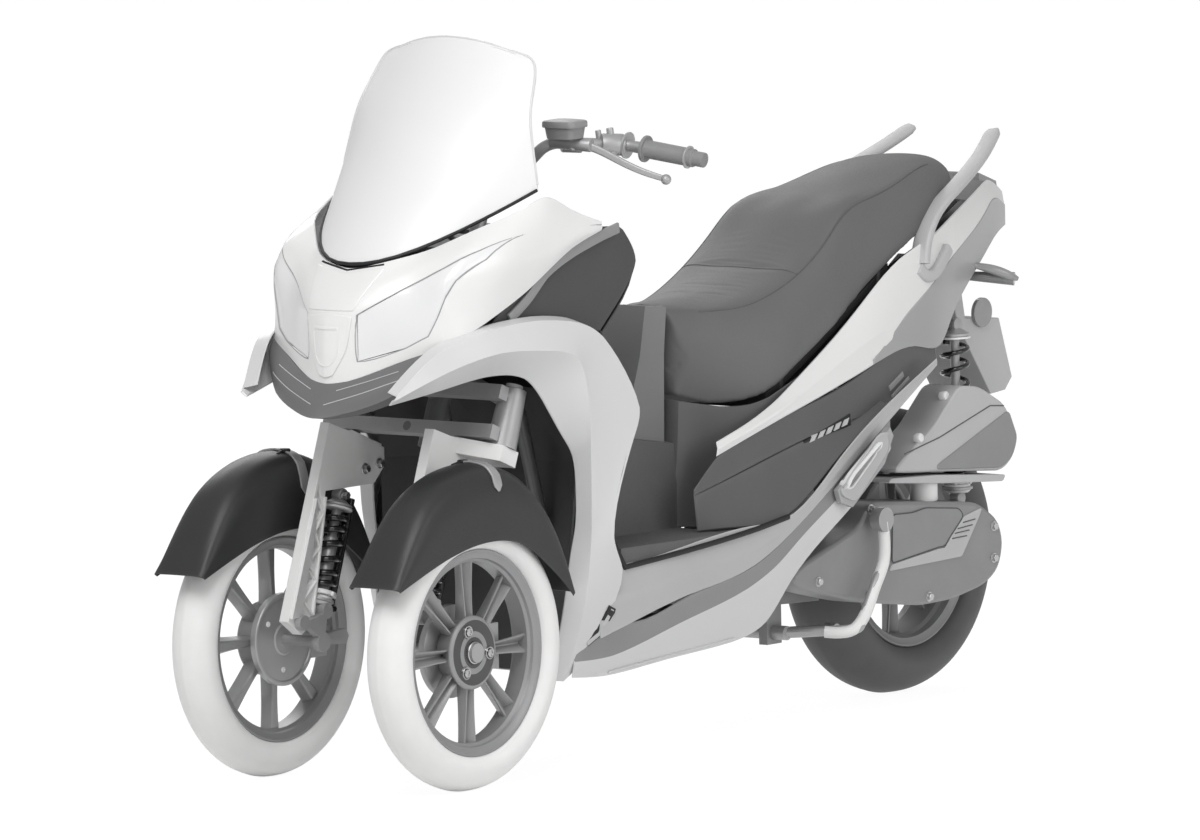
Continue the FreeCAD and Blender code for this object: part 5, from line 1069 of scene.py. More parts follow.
    def studs(self) -> Shape:
        """Three bolts in raised cups round the hub's face."""
        cup = mm([(0.0, 8.8), (0.0, 12.8), (0.8, 12.8), (4.2, 11.6), (4.6, 10.8), (4.2, 9.2)])
        shank = mm([(0.0, 8.0), (6.0, 8.0), (7.2, 6.8), (7.2, 5.0), (5.6, 4.6), (5.6, 1.0)])
        heads = []
        for degrees in (186, 306, 426):
            place = self.on_face(0.64 * self.hub_radius, degrees, self.hub_half - 0.0006)
            heads += [ring(cup, place, self.axis, 32), lathe(shank, place, self.axis, 32)]
        return joined(*heads)

    def axle_nut(self) -> Shape:
        """The nut in the middle: a ring, a hexagon with a chamfer and the axle's dimpled end."""
        face = self.middle + self.axis * self.hub_half
        collar = mm([(-2.0, 16.5), (-2.0, 21.2), (3.0, 20.6), (4.0, 19.0), (3.0, 16.8)])
        nut = mm([(-2.0, 15.0), (5.2, 15.0), (6.2, 13.2), (6.2, 7.5)])
        end = mm([(0.0, 7.0), (7.8, 7.0), (8.6, 6.0), (8.6, 3.2), (6.6, 2.4), (6.6, 0.4)])
        turned = lathe(nut, face, self.axis, 6), lathe(end, face, self.axis, 32)
        return joined(ring(collar, face, self.axis, 48), *turned)

    def screws(self) -> Shape:
        """Small screws in the brake cover's face."""
        head = mm([(0.0, 5.2), (1.4, 5.2), (2.2, 4.0), (1.6, 1.8)])
        places = [self.on_face(0.056, degrees, -self.hub_half - 0.0118) for degrees in (35, 155, 275)]
        return joined(*(lathe(head, place, -self.axis, 20) for place in places))

    def build(self) -> None:
        """Makes the tyre, the cast wheel, its brake cover and its bolts."""
        show(f"{self.node}_tyre_skin", self.tyre(), self.tyre_finish, self.tyre_slot, f"{self.node}_tyre",
             body=self.body, fold=40.0)
        arms = [self.spoke(2 * math.pi / self.spokes * k) for k in range(self.spokes)]
        cast = joined(self.barrel(), self.hub(), *arms)
        show(f"{self.node}_wheel_casting", cast, WHEEL_CAST, "wheel_metal", f"{self.node}_rim",
             body=self.body, fold=28.0)
        pieces = []
        if self.drum_radius:
            pieces = [("brake_disc", self.drum(), SILVER_CAST), ("disc_screws", self.screws(), WHITE_CAST)]
        pieces.append(("hub_plate", self.face(), HUB_CAST))
        pieces.append(("wheel_studs", joined(self.studs(), self.axle_nut()), TURNED_STEEL))
        for word, shape, finish in pieces:
            show(f"{self.node}_{word}", shape, finish, "wheel_metal", body=self.body)


@dataclass
class Fender:
    """A front mudguard: a channel over the tyre with a strap across its crown.

    Each station holds the crown's and the skirt's place round the axle, as shares of the radius.
    """

    side: Side
    station_shares: tuple = (
        (1.03, 0.57, 0.98, 0.54), (0.83, 0.87, 0.7, 0.64), (0.62, 1.12, 0.45, 0.72),
        (0.24, 1.31, 0.12, 0.79), (-0.15, 1.35, -0.19, 0.8), (-0.47, 1.25, -0.45, 0.74),
        (-0.75, 1.0, -0.7, 0.58), (-0.94, 0.65, -0.9, 0.42), (-1.03, 0.35, -1.0, 0.32),
    )
    width_shares: tuple = (1.0, 1.0, 0.97, 0.86, 0.66, 0.36, 0.0)
    drop_shares: tuple = (1.0, 0.66, 0.36, 0.16, 0.065, 0.018, 0.0)
    half_width: float = 0.058
    radius: float = 0.255
    wall: float = 0.003
    steps: tuple[int, int] = (6, 3)
    strap_station: int = 4

    @property
    def axle(self) -> Array:
        """The middle of the left front wheel."""
        return HULL.left_wheel

    def grid(self) -> Array:
        """The outer skin: each station runs from skirt over crown to skirt by width and drop shares."""
        table = np.array(self.station_shares) * self.radius
        drop = np.array(self.drop_shares + self.drop_shares[-2::-1])[None, :, None]
        width = np.array(self.width_shares + tuple(-share for share in self.width_shares[-2::-1]))
        flat = table[:, None, :2] * (1 - drop) + table[:, None, 2:] * drop
        across_tyre = np.broadcast_to(self.half_width * width, flat.shape[:2])
        grid = np.stack([flat[..., 0], across_tyre, flat[..., 1]], axis=-1) + self.axle
        return smooth_grid(grid, self.steps, column_creases=(3, 9), slack=0.1)

    def strap(self) -> Shape:
        """The strap: a flat band that runs over the crown and ends in a round tip on the outer face."""
        grid = self.grid()
        row = self.strap_station * self.steps[0]
        out = unit(grid_normals(grid, self.axle)[row, ::-1])[4:31]
        path = grid[row, ::-1][4:31] + out * 0.0016
        share = np.linspace(0.0, 1.0, len(path))
        tip = np.sqrt(np.clip(1 - ((share - 0.94) / 0.06).clip(0) ** 2, 0.04, 1.0))
        start = np.sqrt(np.clip(1 - ((0.05 - share) / 0.05).clip(0) ** 2, 0.04, 1.0))
        return swept(path, rounded_box(0.024, 0.0046, 0.0018), out, tip * start)

    def button(self) -> Shape:
        """The rubber button on the strap's crown, with the wire loop that it holds."""
        foot = self.grid()[self.strap_station * self.steps[0], 18] + [0.004, -0.02, -0.002]
        cap = lathe(mm([(0.0, 10.5), (4.5, 10.5), (6.2, 8.8), (6.6, 6.0)]), foot, UP, 28)
        return joined(cap, rod(foot + [0.01, 0.0, 0.001], foot + [0.026, -0.004, -0.003], 0.0042, 12))

    def build(self) -> None:
        """Makes the mudguard, its strap and the button on the crown."""
        word = self.side.word
        guard = shell(self.grid(), self.wall, self.axle)
        for name, shape, finish, fold, nodes in (
            ("", guard, FENDER_TRIM, 40.0, [f"{word}_fender"]),
            ("_strap", self.strap(), SILVER_CAST, 40.0, []),
            ("_button", self.button(), BLACK_SEAL_AND_SHADE, FOLD, []),
        ):
            show(f"{word}_mudguard{name}", shape.sided(self.side), finish, "dark_panel", *nodes,
                 body=f"{word}_front_leg", fold=fold)


@dataclass
class Windscreen:
    """The tall screen: arched rows that lean back towards a rounded top.

    Each row holds shares of its place and height in the middle and of its half width, then how far
    its edge lies back and up from the middle, and the power that the arch follows.
    """

    row_shares: tuple = (
        (-0.014, 0.96, 0.912, 0.171, 0.121, 2.2), (0.036, 1.06, 0.9, 0.121, 0.055, 2.1),
        (0.083, 1.15, 0.85, 0.078, 0.02, 2.0), (0.117, 1.22, 0.802, 0.052, 0.005, 2.0),
        (0.15, 1.286, 0.752, 0.038, -0.008, 2.0), (0.166, 1.318, 0.712, 0.03, -0.014, 2.0),
        (0.1745, 1.336, 0.66, 0.023, -0.02, 2.0), (0.179, 1.347, 0.59, 0.016, -0.024, 2.0),
        (0.181, 1.351, 0.49, 0.01, -0.022, 2.0),
    )
    wall: float = 0.005
    edge_radius: float = 0.0022
    seal_radius: float = 0.0032

    def grid(self) -> Array:
        """Each row: place + (back, rise) * |t|^power at Y = t * half width, t from -1 to 1."""
        table = smooth_line(self.row_shares, 7)
        t = np.sin(np.linspace(-math.pi / 2, math.pi / 2, 49))[None, :]
        x, z, width, back, rise, power = (table[:, k : k + 1] for k in range(6))
        bend = np.abs(t) ** power
        return HULL.place(np.stack([x + back * bend, t * width, z + rise * bend], axis=-1))

    def build(self) -> None:
        """Makes the screen, the polished bead round its edge and the seal at its foot."""
        grid = self.grid()
        sheet = shell(grid, self.wall, HULL.place((0.3, 0.0, 1.1)))
        show("screen_sheet", sheet, SCREEN, "clear_screen", "windscreen")
        border = np.concatenate([grid[::3, 0], grid[-1, 4:-4:3], grid[::-3, -1]])
        edge = swept(smooth_line(border, 3, slack=0.2), circle(self.edge_radius, 8), FRONT + 0.35 * UP)
        show("screen_edge", edge, PALE_LACQUER, "clear_screen")
        foot = swept(grid[0, ::2] + [0.002, 0.0, -0.001], circle(self.seal_radius, 8), UP)
        show("screen_foot_seal", foot, BLACK_SEAL_AND_SHADE, "dark_panel")


@dataclass
class Panels:
    """The body's skins, each a table of shares smoothed into a moulded panel."""

    wall: float = 0.004

    def skin(
        self, shares: Sequence | Array, core: tuple, steps: tuple[int, int] = (6, 6),
        columns: Sequence[int] = (), slack: float = 0.2, whole: Callable[[Array], Array] = np.asarray,
    ) -> Shape:
        """A moulded panel over one table of shares.

        Args:
            shares: Rows of share triples.
            core: A share triple on the inner side.
            steps: Samples per span down and across the table.
            columns: Columns where the panel folds.
            slack: Share of the curvature that is left out.
            whole: What completes the table on the right side, where the panel crosses the middle.

        Returns:
            The panel, closed all round.
        """
        grid = smooth_grid(whole(HULL.place(shares)), steps, (), columns, slack)
        return shell(grid, self.wall, HULL.place(core))


@dataclass
class Nose(Panels):
    """The fairing between screen and beak, with a headlight let into either side."""

    rib_shares: tuple = (
        ((-0.063, 0.0, 0.746), (-0.064, 0.0, 0.8), (-0.058, 0.0, 0.871), (-0.038, 0.0, 0.915),
         (-0.017, 0.0, 0.951)),
        ((-0.056, 0.18, 0.752), (-0.053, 0.18, 0.795), (-0.051, 0.2, 0.875), (-0.034, 0.22, 0.918),
         (-0.008, 0.26, 0.962)),
        ((-0.025, 0.56, 0.79), (-0.019, 0.6, 0.838), (-0.008, 0.6, 0.915), (0.008, 0.58, 0.96),
         (0.034, 0.56, 0.988)),
        ((-0.001, 0.8, 0.813), (0.003, 0.8, 0.86), (0.006, 0.82, 0.935), (0.036, 0.84, 0.985),
         (0.07, 0.76, 1.018)),
        ((0.055, 0.93, 0.853), (0.06, 0.96, 0.9), (0.076, 1.01, 0.958), (0.098, 0.98, 1.003),
         (0.122, 0.9, 1.046)),
        ((0.123, 0.965, 0.9), (0.128, 1.0, 0.93), (0.134, 1.02, 0.962), (0.15, 1.0, 1.005),
         (0.163, 0.955, 1.066)),
        ((0.205, 0.975, 0.966), (0.206, 1.0, 0.978), (0.208, 1.01, 0.99), (0.21, 0.99, 1.01),
         (0.212, 0.96, 1.036)),
        ((0.262, 0.975, 0.992), (0.262, 0.985, 0.996), (0.262, 0.985, 0.999), (0.262, 0.985, 1.003),
         (0.262, 0.98, 1.008)),
    )
    lamp_shares: tuple = (
        (-0.049, 0.23, 0.872), (-0.014, 0.5, 0.918), (0.013, 0.76, 0.957), (0.049, 0.91, 0.985),
        (0.1015, 0.985, 1.005), (0.05, 0.948, 0.968), (0.01, 0.853, 0.933), (0.002, 0.8, 0.9),
        (-0.004, 0.752, 0.865), (-0.011, 0.7, 0.833), (-0.025, 0.56, 0.812), (-0.05, 0.23, 0.787),
    )
    slot_shares: tuple = ((-0.01, -0.29, 0.96), (-0.017, 0.0, 0.948), (-0.01, 0.29, 0.96))
    upper_plate_shares: tuple = (
        ((-0.01, -0.31, 0.953), (-0.01, 0.0, 0.941), (-0.01, 0.31, 0.953)),
        ((-0.05, -0.2, 0.88), (-0.05, 0.0, 0.88), (-0.05, 0.2, 0.88)),
    )
    lower_plate_shares: tuple = (
        ((-0.05, -0.195, 0.868), (-0.05, 0.0, 0.872), (-0.05, 0.195, 0.868)),
        ((-0.05, -0.15, 0.806), (-0.05, 0.0, 0.804), (-0.05, 0.15, 0.806)),
        ((-0.05, -0.06, 0.762), (-0.05, 0.0, 0.758), (-0.05, 0.06, 0.762)),
    )
    tab_shares: tuple = ((-0.05, -0.1, 0.848), (-0.05, 0.0, 0.847), (-0.05, 0.1, 0.848))
    hollow_shares: tuple = (
        (-0.05, -0.115, 0.84), (-0.05, -0.095, 0.8), (-0.05, -0.04, 0.78), (-0.05, 0.04, 0.78),
        (-0.05, 0.095, 0.8), (-0.05, 0.115, 0.84),
    )
    core_shares: tuple = (0.3, 0.0, 0.8)

    def lamp_line(self, grow: float) -> Array:
        """The headlight's outline, moved outwards from its middle in the cross plane."""
        line = HULL.place(self.lamp_shares)
        out = unit(line - line.mean(axis=0))
        ahead = np.roll(line, -1, axis=0) - np.roll(line, 1, axis=0)
        square = unit(np.cross(unit(ahead), FRONT))
        square = square * np.where((square * out).sum(axis=1, keepdims=True) < 0, -1.0, 1.0)
        return line + square * grow

    def cutter(self, grow: float) -> Shape:
        """The outline pushed rearward through the fairing."""
        line = self.lamp_line(grow)
        line[:, 0] = HULL.axle_ahead + 0.16
        return slab(line, -0.6 * FRONT)

    def middle_parts(self, front: Surface) -> None:
        """Makes the plates, the vent slot and the raised edges on the middle line; the slot is a black bead
        of painted shadow.
        """
        upper, lower = HULL.place(self.upper_plate_shares), HULL.place(self.lower_plate_shares)
        plates = joined(front.plate(upper, 0.0022, (14, 8)), front.plate(lower, 0.003, (12, 8), bow=0.6))
        show("nose_middle_plates", plates, WHITE_LACQUER, "white_panel", bevel_mm=0.8)
        # The vent slot's inside is a black bead sunk into the skin: painted shadow.
        vent_shadow = front.bead(HULL.place(self.slot_shares), 0.0042, 0.003, 8, (1,), sink=0.0022, slack=1.0)
        show("nose_vent_slot_shadow", vent_shadow, BLACK_SEAL_AND_SHADE, "dark_panel")
        tab = front.bead(HULL.place(self.tab_shares), 0.006, 0.0052)
        hollow = front.bead(HULL.place(self.hollow_shares), 0.003, 0.0046)
        show("nose_badge_edges", joined(tab, hollow), WHITE_LACQUER, "white_panel")

    def build(self) -> None:
        """Makes the fairing, both headlights with their seals and a grey line of painted shade along each
        lamp's lower edge, and the middle panels.
        """
        grid = smooth_grid(with_mirror(HULL.place(self.rib_shares)), (6, 5), slack=0.25)
        core = HULL.place(self.core_shares)
        skin = shell(grid, self.wall, core)
        fairing = show("nose_panel", skin, WHITE_LACQUER, "white_panel", "nose_fairing")
        carve(fairing, both_sides(self.cutter(0.0012)), Cut.REMOVE)
        inner = shell(grid - 0.0022 * FRONT, self.wall, core)
        lens = show("left_headlight_lens", inner, LAMP_LENS, "lamp_lens", "headlights")
        carve(lens, self.cutter(-0.0008), Cut.KEEP)
        show("right_headlight_lens", skin_of(lens, FRONT).shape.mirrored(), LAMP_LENS, "lamp_lens")
        front = Surface(skin, FRONT)
        line = self.lamp_line(0.0004)
        below = np.concatenate([line[4:], line[:1]])
        # Along the lamp's lower and rear edge, where the surface turns, a grey bead of painted shade; above
        # it, a thin gasket line.
        shade = front.bead(below, 0.0026, 0.003, 5, (1, 5, 6), sink=0.0028, slack=0.6)
        fine = front.bead(line[:5], 0.0018, 0.0026, 5, sink=0.0026)
        show("headlight_seals_and_shade_lines", both_sides(joined(shade, fine)), LAMP_GASKET_AND_SHADE, "dark_panel")
        self.middle_parts(front)


@dataclass
class FrontBody(Panels):
    """Beak, wings, leg shield and its dark sides."""

    beak_shares: tuple = (
        ((-0.0632, 0.0, 0.7458), (-0.08, 0.0, 0.712), (-0.089, 0.0, 0.686), (-0.06, 0.0, 0.68)),
        ((-0.0562, 0.18, 0.7518), (-0.076, 0.16, 0.716), (-0.083, 0.14, 0.69), (-0.052, 0.14, 0.684)),
        ((-0.0252, 0.56, 0.7898), (-0.05, 0.54, 0.75), (-0.054, 0.52, 0.722), (-0.026, 0.5, 0.716)),
        ((-0.0012, 0.8, 0.8128), (-0.014, 0.78, 0.79), (-0.018, 0.76, 0.775), (0.004, 0.74, 0.77)),
    )
    beak_line_shares: tuple = (
        ((-0.066, 0.12, 0.735), (-0.053, 0.34, 0.752), (-0.038, 0.56, 0.771)),
        ((-0.078, 0.06, 0.71), (-0.062, 0.34, 0.732), (-0.04, 0.6, 0.757)),
    )
    wing_shares: tuple = (
        ((-0.078, 0.68, 0.716), (-0.08, 0.72, 0.724), (-0.074, 0.72, 0.734)),
        ((-0.008, 0.78, 0.733), (-0.012, 0.9, 0.77), (-0.023, 0.86, 0.806)),
        ((0.06, 0.86, 0.749), (0.057, 1.04, 0.796), (0.043, 0.99, 0.838)),
        ((0.121, 0.94, 0.739), (0.136, 1.12, 0.79), (0.127, 1.05, 0.846)),
        ((0.15, 0.96, 0.695), (0.184, 1.14, 0.765), (0.19, 1.07, 0.835)),
        ((0.184, 0.96, 0.626), (0.2, 1.14, 0.68), (0.239, 1.09, 0.8)),
        ((0.206, 0.96, 0.556), (0.209, 1.1, 0.57), (0.298, 1.12, 0.662)),
        ((0.207, 0.96, 0.485), (0.21, 1.09, 0.49), (0.288, 1.12, 0.612)),
        ((0.203, 0.92, 0.4), (0.212, 1.06, 0.405), (0.245, 1.12, 0.43)),
        ((0.197, 0.9, 0.332), (0.21, 1.03, 0.335), (0.268, 1.08, 0.366)),
        ((0.189, 0.78, 0.171), (0.205, 0.82, 0.166), (0.216, 0.83, 0.176)),
    )
    level_rows: int = 5
    level_tuck_shares: tuple = (0.004, -0.1, 0.006)
    steep_tuck_shares: tuple = (0.003, -0.035, -0.002)
    shield_side_shares: tuple = (
        ((0.06, 0.88, 0.826), (0.1, 0.925, 0.892), (0.16, 0.935, 0.955), (0.262, 0.945, 0.998)),
        ((0.185, 0.935, 0.832), (0.215, 0.945, 0.88), (0.262, 0.95, 0.945), (0.3, 0.94, 0.993)),
        ((0.262, 0.93, 0.803), (0.305, 0.93, 0.862), (0.337, 0.92, 0.925), (0.318, 0.9, 0.985)),
    )
    band_shares: tuple = (
        (0.298, 0.94, 0.992), (0.268, 0.945, 0.983), (0.215, 0.945, 0.9615), (0.158, 0.94, 0.9245),
        (0.1315, 0.935, 0.889), (0.098, 0.93, 0.852),
    )
    band_width: float = 0.02
    shield_wall_shares: tuple = (
        ((0.242, 1.07, 0.8), (0.262, 0.96, 0.805), (0.32, 0.6, 0.8), (0.345, 0.3, 0.79),
         (0.35, 0.0, 0.785)),
        ((0.29, 1.1, 0.662), (0.3, 0.98, 0.662), (0.325, 0.6, 0.662), (0.345, 0.3, 0.662),
         (0.35, 0.0, 0.662)),
        ((0.243, 1.1, 0.43), (0.262, 0.98, 0.43), (0.285, 0.6, 0.43), (0.29, 0.45, 0.43),
         (0.292, 0.0, 0.43)),
        ((0.262, 1.05, 0.366), (0.275, 0.98, 0.366), (0.29, 0.6, 0.366), (0.296, 0.45, 0.366),
         (0.298, 0.0, 0.366)),
    )
    shield_upper_shares: tuple = (
        ((0.346, 0.0, 0.772), (0.36, 0.0, 0.89), (0.33, 0.0, 0.96)),
        ((0.317, 0.6, 0.78), (0.352, 0.6, 0.9), (0.325, 0.6, 0.97)),
        ((0.258, 0.93, 0.786), (0.337, 0.9, 0.925), (0.318, 0.88, 0.985)),
    )

    def wings(self) -> Shape:
        """The left wing: its outer rows with one more column tucked in behind the upper edge."""
        table = np.array(self.wing_shares)
        level = np.arange(len(table))[:, None] < self.level_rows
        tuck = np.where(level, self.level_tuck_shares, self.steep_tuck_shares)
        table = np.concatenate([table, (table[:, 2] + tuck)[:, None]], axis=1)
        return self.skin(table, (0.3, 0.2, 0.6), columns=(1, 2), slack=0.15)

    def build(self) -> None:
        """Makes the four groups of panels."""
        chin = self.skin(self.beak_shares, (0.1, 0.0, 0.78), (6, 5), (2,), whole=with_mirror)
        show("beak_panel", chin, MID_TRIM, "dark_panel", "beak")
        face = Surface(chin, FRONT)
        rows = [HULL.place(row) for row in self.beak_line_shares]
        lines = joined(*(face.bead(row, 0.0016, 0.0014, sink=0.0006) for row in rows))
        show("beak_lines", both_sides(lines), LIGHT_LINE, "light_panel")
        show("wing_panels", both_sides(self.wings()), PALE_LACQUER, "light_panel", "wings")
        side = self.skin(self.shield_side_shares, (0.2, 0.0, 0.9))
        line = HULL.place(self.band_shares)
        band = Surface(side, LEFT).bead(line, self.band_width, 0.007, 8, sink=0.001, slack=0.3)
        show("shield_side_bands", both_sides(band), BAND_TRIM, "light_panel")
        upper = self.skin(self.shield_upper_shares, (0.1, 0.0, 0.9), slack=0.0, whole=with_mirror)
        wall = self.skin(self.shield_wall_shares, (0.1, 0.0, 0.6), (6, 5), slack=0.3, whole=across)
        shield = joined(wall, upper, both_sides(side))
        show("leg_shield_panels", shield, DARK_TRIM, "dark_panel", "leg_shield")


@dataclass
class Seat:
    """The stepped saddle: a rider's dish, a ramp and a raised rear seat.

    Each section holds its place, then shares across and up for the top's edge, the bulge of the
    side and the low edge.
    """

    section_shares: tuple = (
        (0.53, 0.24, 0.795, 0.32, 0.74, 0.3, 0.64), (0.571, 0.34, 0.793, 0.46, 0.7, 0.42, 0.62),
        (0.635, 0.46, 0.797, 0.66, 0.662, 0.64, 0.63), (0.673, 0.5, 0.812, 0.712, 0.694, 0.66, 0.658),
        (0.717, 0.528, 0.84, 0.704, 0.734, 0.66, 0.694), (0.775, 0.536, 0.897, 0.66, 0.778, 0.64, 0.738),
        (0.819, 0.52, 0.948, 0.608, 0.832, 0.6, 0.774), (0.88, 0.488, 0.968, 0.6, 0.882, 0.58, 0.826),
        (0.937, 0.448, 0.985, 0.592, 0.912, 0.57, 0.87), (1.016, 0.36, 1.008, 0.5, 0.942, 0.46, 0.904),
        (1.079, 0.2, 1.0, 0.3, 0.96, 0.27, 0.935),
    )
    crown_share: float = 0.012
    ramp_share: float = 0.715
    voxel_mm: float = 5.5
    held_mm: float = 7.0
    cap_mm: float = 8.0
    pressure: float = 4.0
    cloth_frames: int = 20
    welt_radius: float = 0.0016

    def rings(self) -> Array:
        """Sections smoothed along the seat; each runs from low edge over the crown to low edge."""
        x, top_y, top_z, bulge_y, bulge_z, low_y, low_z = np.array(self.section_shares).T
        shoulder = top_y * 0.42 + bulge_y * 0.58, bulge_z * 0.26 + top_z * 0.74
        corners = [
            (0 * x, low_z), (low_y * 0.5, low_z), (low_y, low_z), (bulge_y, bulge_z), shoulder,
            (top_y, top_z), (top_y * 0.5, top_z + self.crown_share * 0.8), (0 * x, top_z + self.crown_share),
        ]
        half = np.stack([np.stack([x, y, z], axis=-1) for y, z in corners], axis=1)
        closed = np.concatenate([half, (half * [1, -1, 1])[:, -2::-1]], axis=1)
        creases = (2, closed.shape[1] - 3)
        return smooth_grid(HULL.place(closed), (8, 5), column_creases=creases, slack=0.1)[:, :-1]

    def seams(self) -> list[Array]:
        """The sewn lines on the cover: along either top edge and across the foot of the ramp."""
        x, top_y, top_z = np.array(self.section_shares).T[:3]
        edge = smooth_line(HULL.place(np.stack([x, top_y * 1.03, top_z], -1)[1:-1]), 10)
        t = np.linspace(-1, 1, 33)
        ramp = HULL.place(np.stack([self.ramp_share + 0.006 * t * t, 0.54 * t, np.full(33, 0.86)], -1))
        return [edge, edge * [1.0, -1.0, 1.0], ramp]

    def even_mesh(self, cover: bpy.types.Object) -> None:
        """Gives the cover a mesh of even small faces, which the cloth needs."""
        remesh = cover.modifiers.new("even_mesh", "REMESH")
        remesh.mode, remesh.voxel_size, remesh.use_smooth_shade = "VOXEL", self.voxel_mm * MM, True
        relax = cover.modifiers.new("relax", "SMOOTH")
        relax.factor, relax.iterations = 0.5, 6
        apply_modifiers(cover)

    def swell(self, cover: bpy.types.Object, sewn: Array) -> None:
        """Swells the cover between its seams: a cloth pressed from inside and held at the seams.

        Args:
            cover: The saddle, a closed mesh.
            sewn: Points along the seams, which stay where they are.
        """
        self.even_mesh(cover)
        mesh = cover.data
        start = coordinates(mesh)
        tree = KDTree(len(sewn))
        for k, spot in enumerate(sewn):
            tree.insert(spot.tolist(), k)
        tree.balance()
        held = [
            vertex.index for vertex in mesh.vertices
            if vertex.normal.z < -0.35 or tree.find(vertex.co)[2] < self.held_mm * MM
        ]
        cover.vertex_groups.new(name="held").add(held, 1.0, "REPLACE")
        cloth = cover.modifiers.new("padding", "CLOTH").settings
        cloth.use_pressure = True
        cloth.uniform_pressure_force = self.pressure
        cloth.effector_weights.gravity = 0.0
        cloth.vertex_group_mass = "held"
        for step in range(1, self.cloth_frames + 1):
            bpy.context.scene.frame_set(step)
        graph = bpy.context.evaluated_depsgraph_get()
        move = coordinates(cover.evaluated_get(graph).data) - start
        bpy.context.scene.frame_set(1)
        cover.modifiers.clear()
        length = np.linalg.norm(move, axis=1, keepdims=True)
        log.info("seat cover swells by %.1f mm at most before the cap", float(length.max()) / MM)
        start += move * np.minimum(1.0, self.cap_mm * MM / np.maximum(length, 1e-9))
        mesh.vertices.foreach_set("co", start.ravel())
        mesh.update()
        finer = cover.modifiers.new("finer", "SUBSURF")
        finer.levels = finer.render_levels = 1
        apply_modifiers(cover)

    def build(self) -> None:
        """Makes the saddle: the cover, swollen between its seams, and a welt on each seam. The welts are
        darker than the cover; across the ramp's foot that dark line is painted shade where the cover folds.
        """
        shape = capped(self.rings())
        skin = Surface(shape, UP)
        lines = [skin.lay(line)[0] for line in self.seams()]
        cover = show("seat_cushion", shape, SEAT_VINYL, "seat_cover", "seat", body="seat_lid", fold=60.0)
        self.swell(cover, np.concatenate(lines))
        # Darker welts: real seams, and across the ramp's foot painted shade where the cover folds.
        welts_and_fold_shade = [swept(line - 0.0004 * UP, circle(self.welt_radius, 8), UP) for line in lines]
        show("seat_welts_and_fold_shade", joined(*welts_and_fold_shade), SHADE_TRIM, "seat_cover", body="seat_lid")


@dataclass
class MiddleBody(Panels):
    """The seat base and the rubber strip along the floor's edge."""

    base_shares: tuple = (
        ((0.72, 0.72, 0.52), (0.64, 0.7, 0.398), (0.52, 0.52, 0.4), (0.492, 0.42, 0.401),
         (0.492, 0.0, 0.401)),
        ((0.72, 0.72, 0.6), (0.64, 0.7, 0.52), (0.545, 0.5, 0.5), (0.512, 0.4, 0.52),
         (0.512, 0.0, 0.52)),
        ((0.71, 0.68, 0.662), (0.64, 0.66, 0.622), (0.58, 0.48, 0.612), (0.53, 0.34, 0.628),
         (0.53, 0.0, 0.632)),
    )
    mat_edge_shares: tuple = (
        (0.268, 1.0, 0.412), (0.286, 1.012, 0.366), (0.4, 1.02, 0.378), (0.536, 1.02, 0.397),
        (0.6, 1.01, 0.41),
    )

    def build(self) -> None:
        """Makes the seat base and the strip."""
        base = self.skin(self.base_shares, (0.8, 0.0, 0.5), slack=0.3, whole=across)
        show("seat_base_panel", base, SHADE_TRIM, "dark_panel", "seat_base")
        path = smooth_line(HULL.place(self.mat_edge_shares), 8, (1,), 0.4)
        strip = swept(path, rounded_box(0.008, 0.01, 0.003), UP)
        show("floor_edge_rubber", both_sides(strip), BLACK_SEAL_AND_SHADE, "dark_panel")


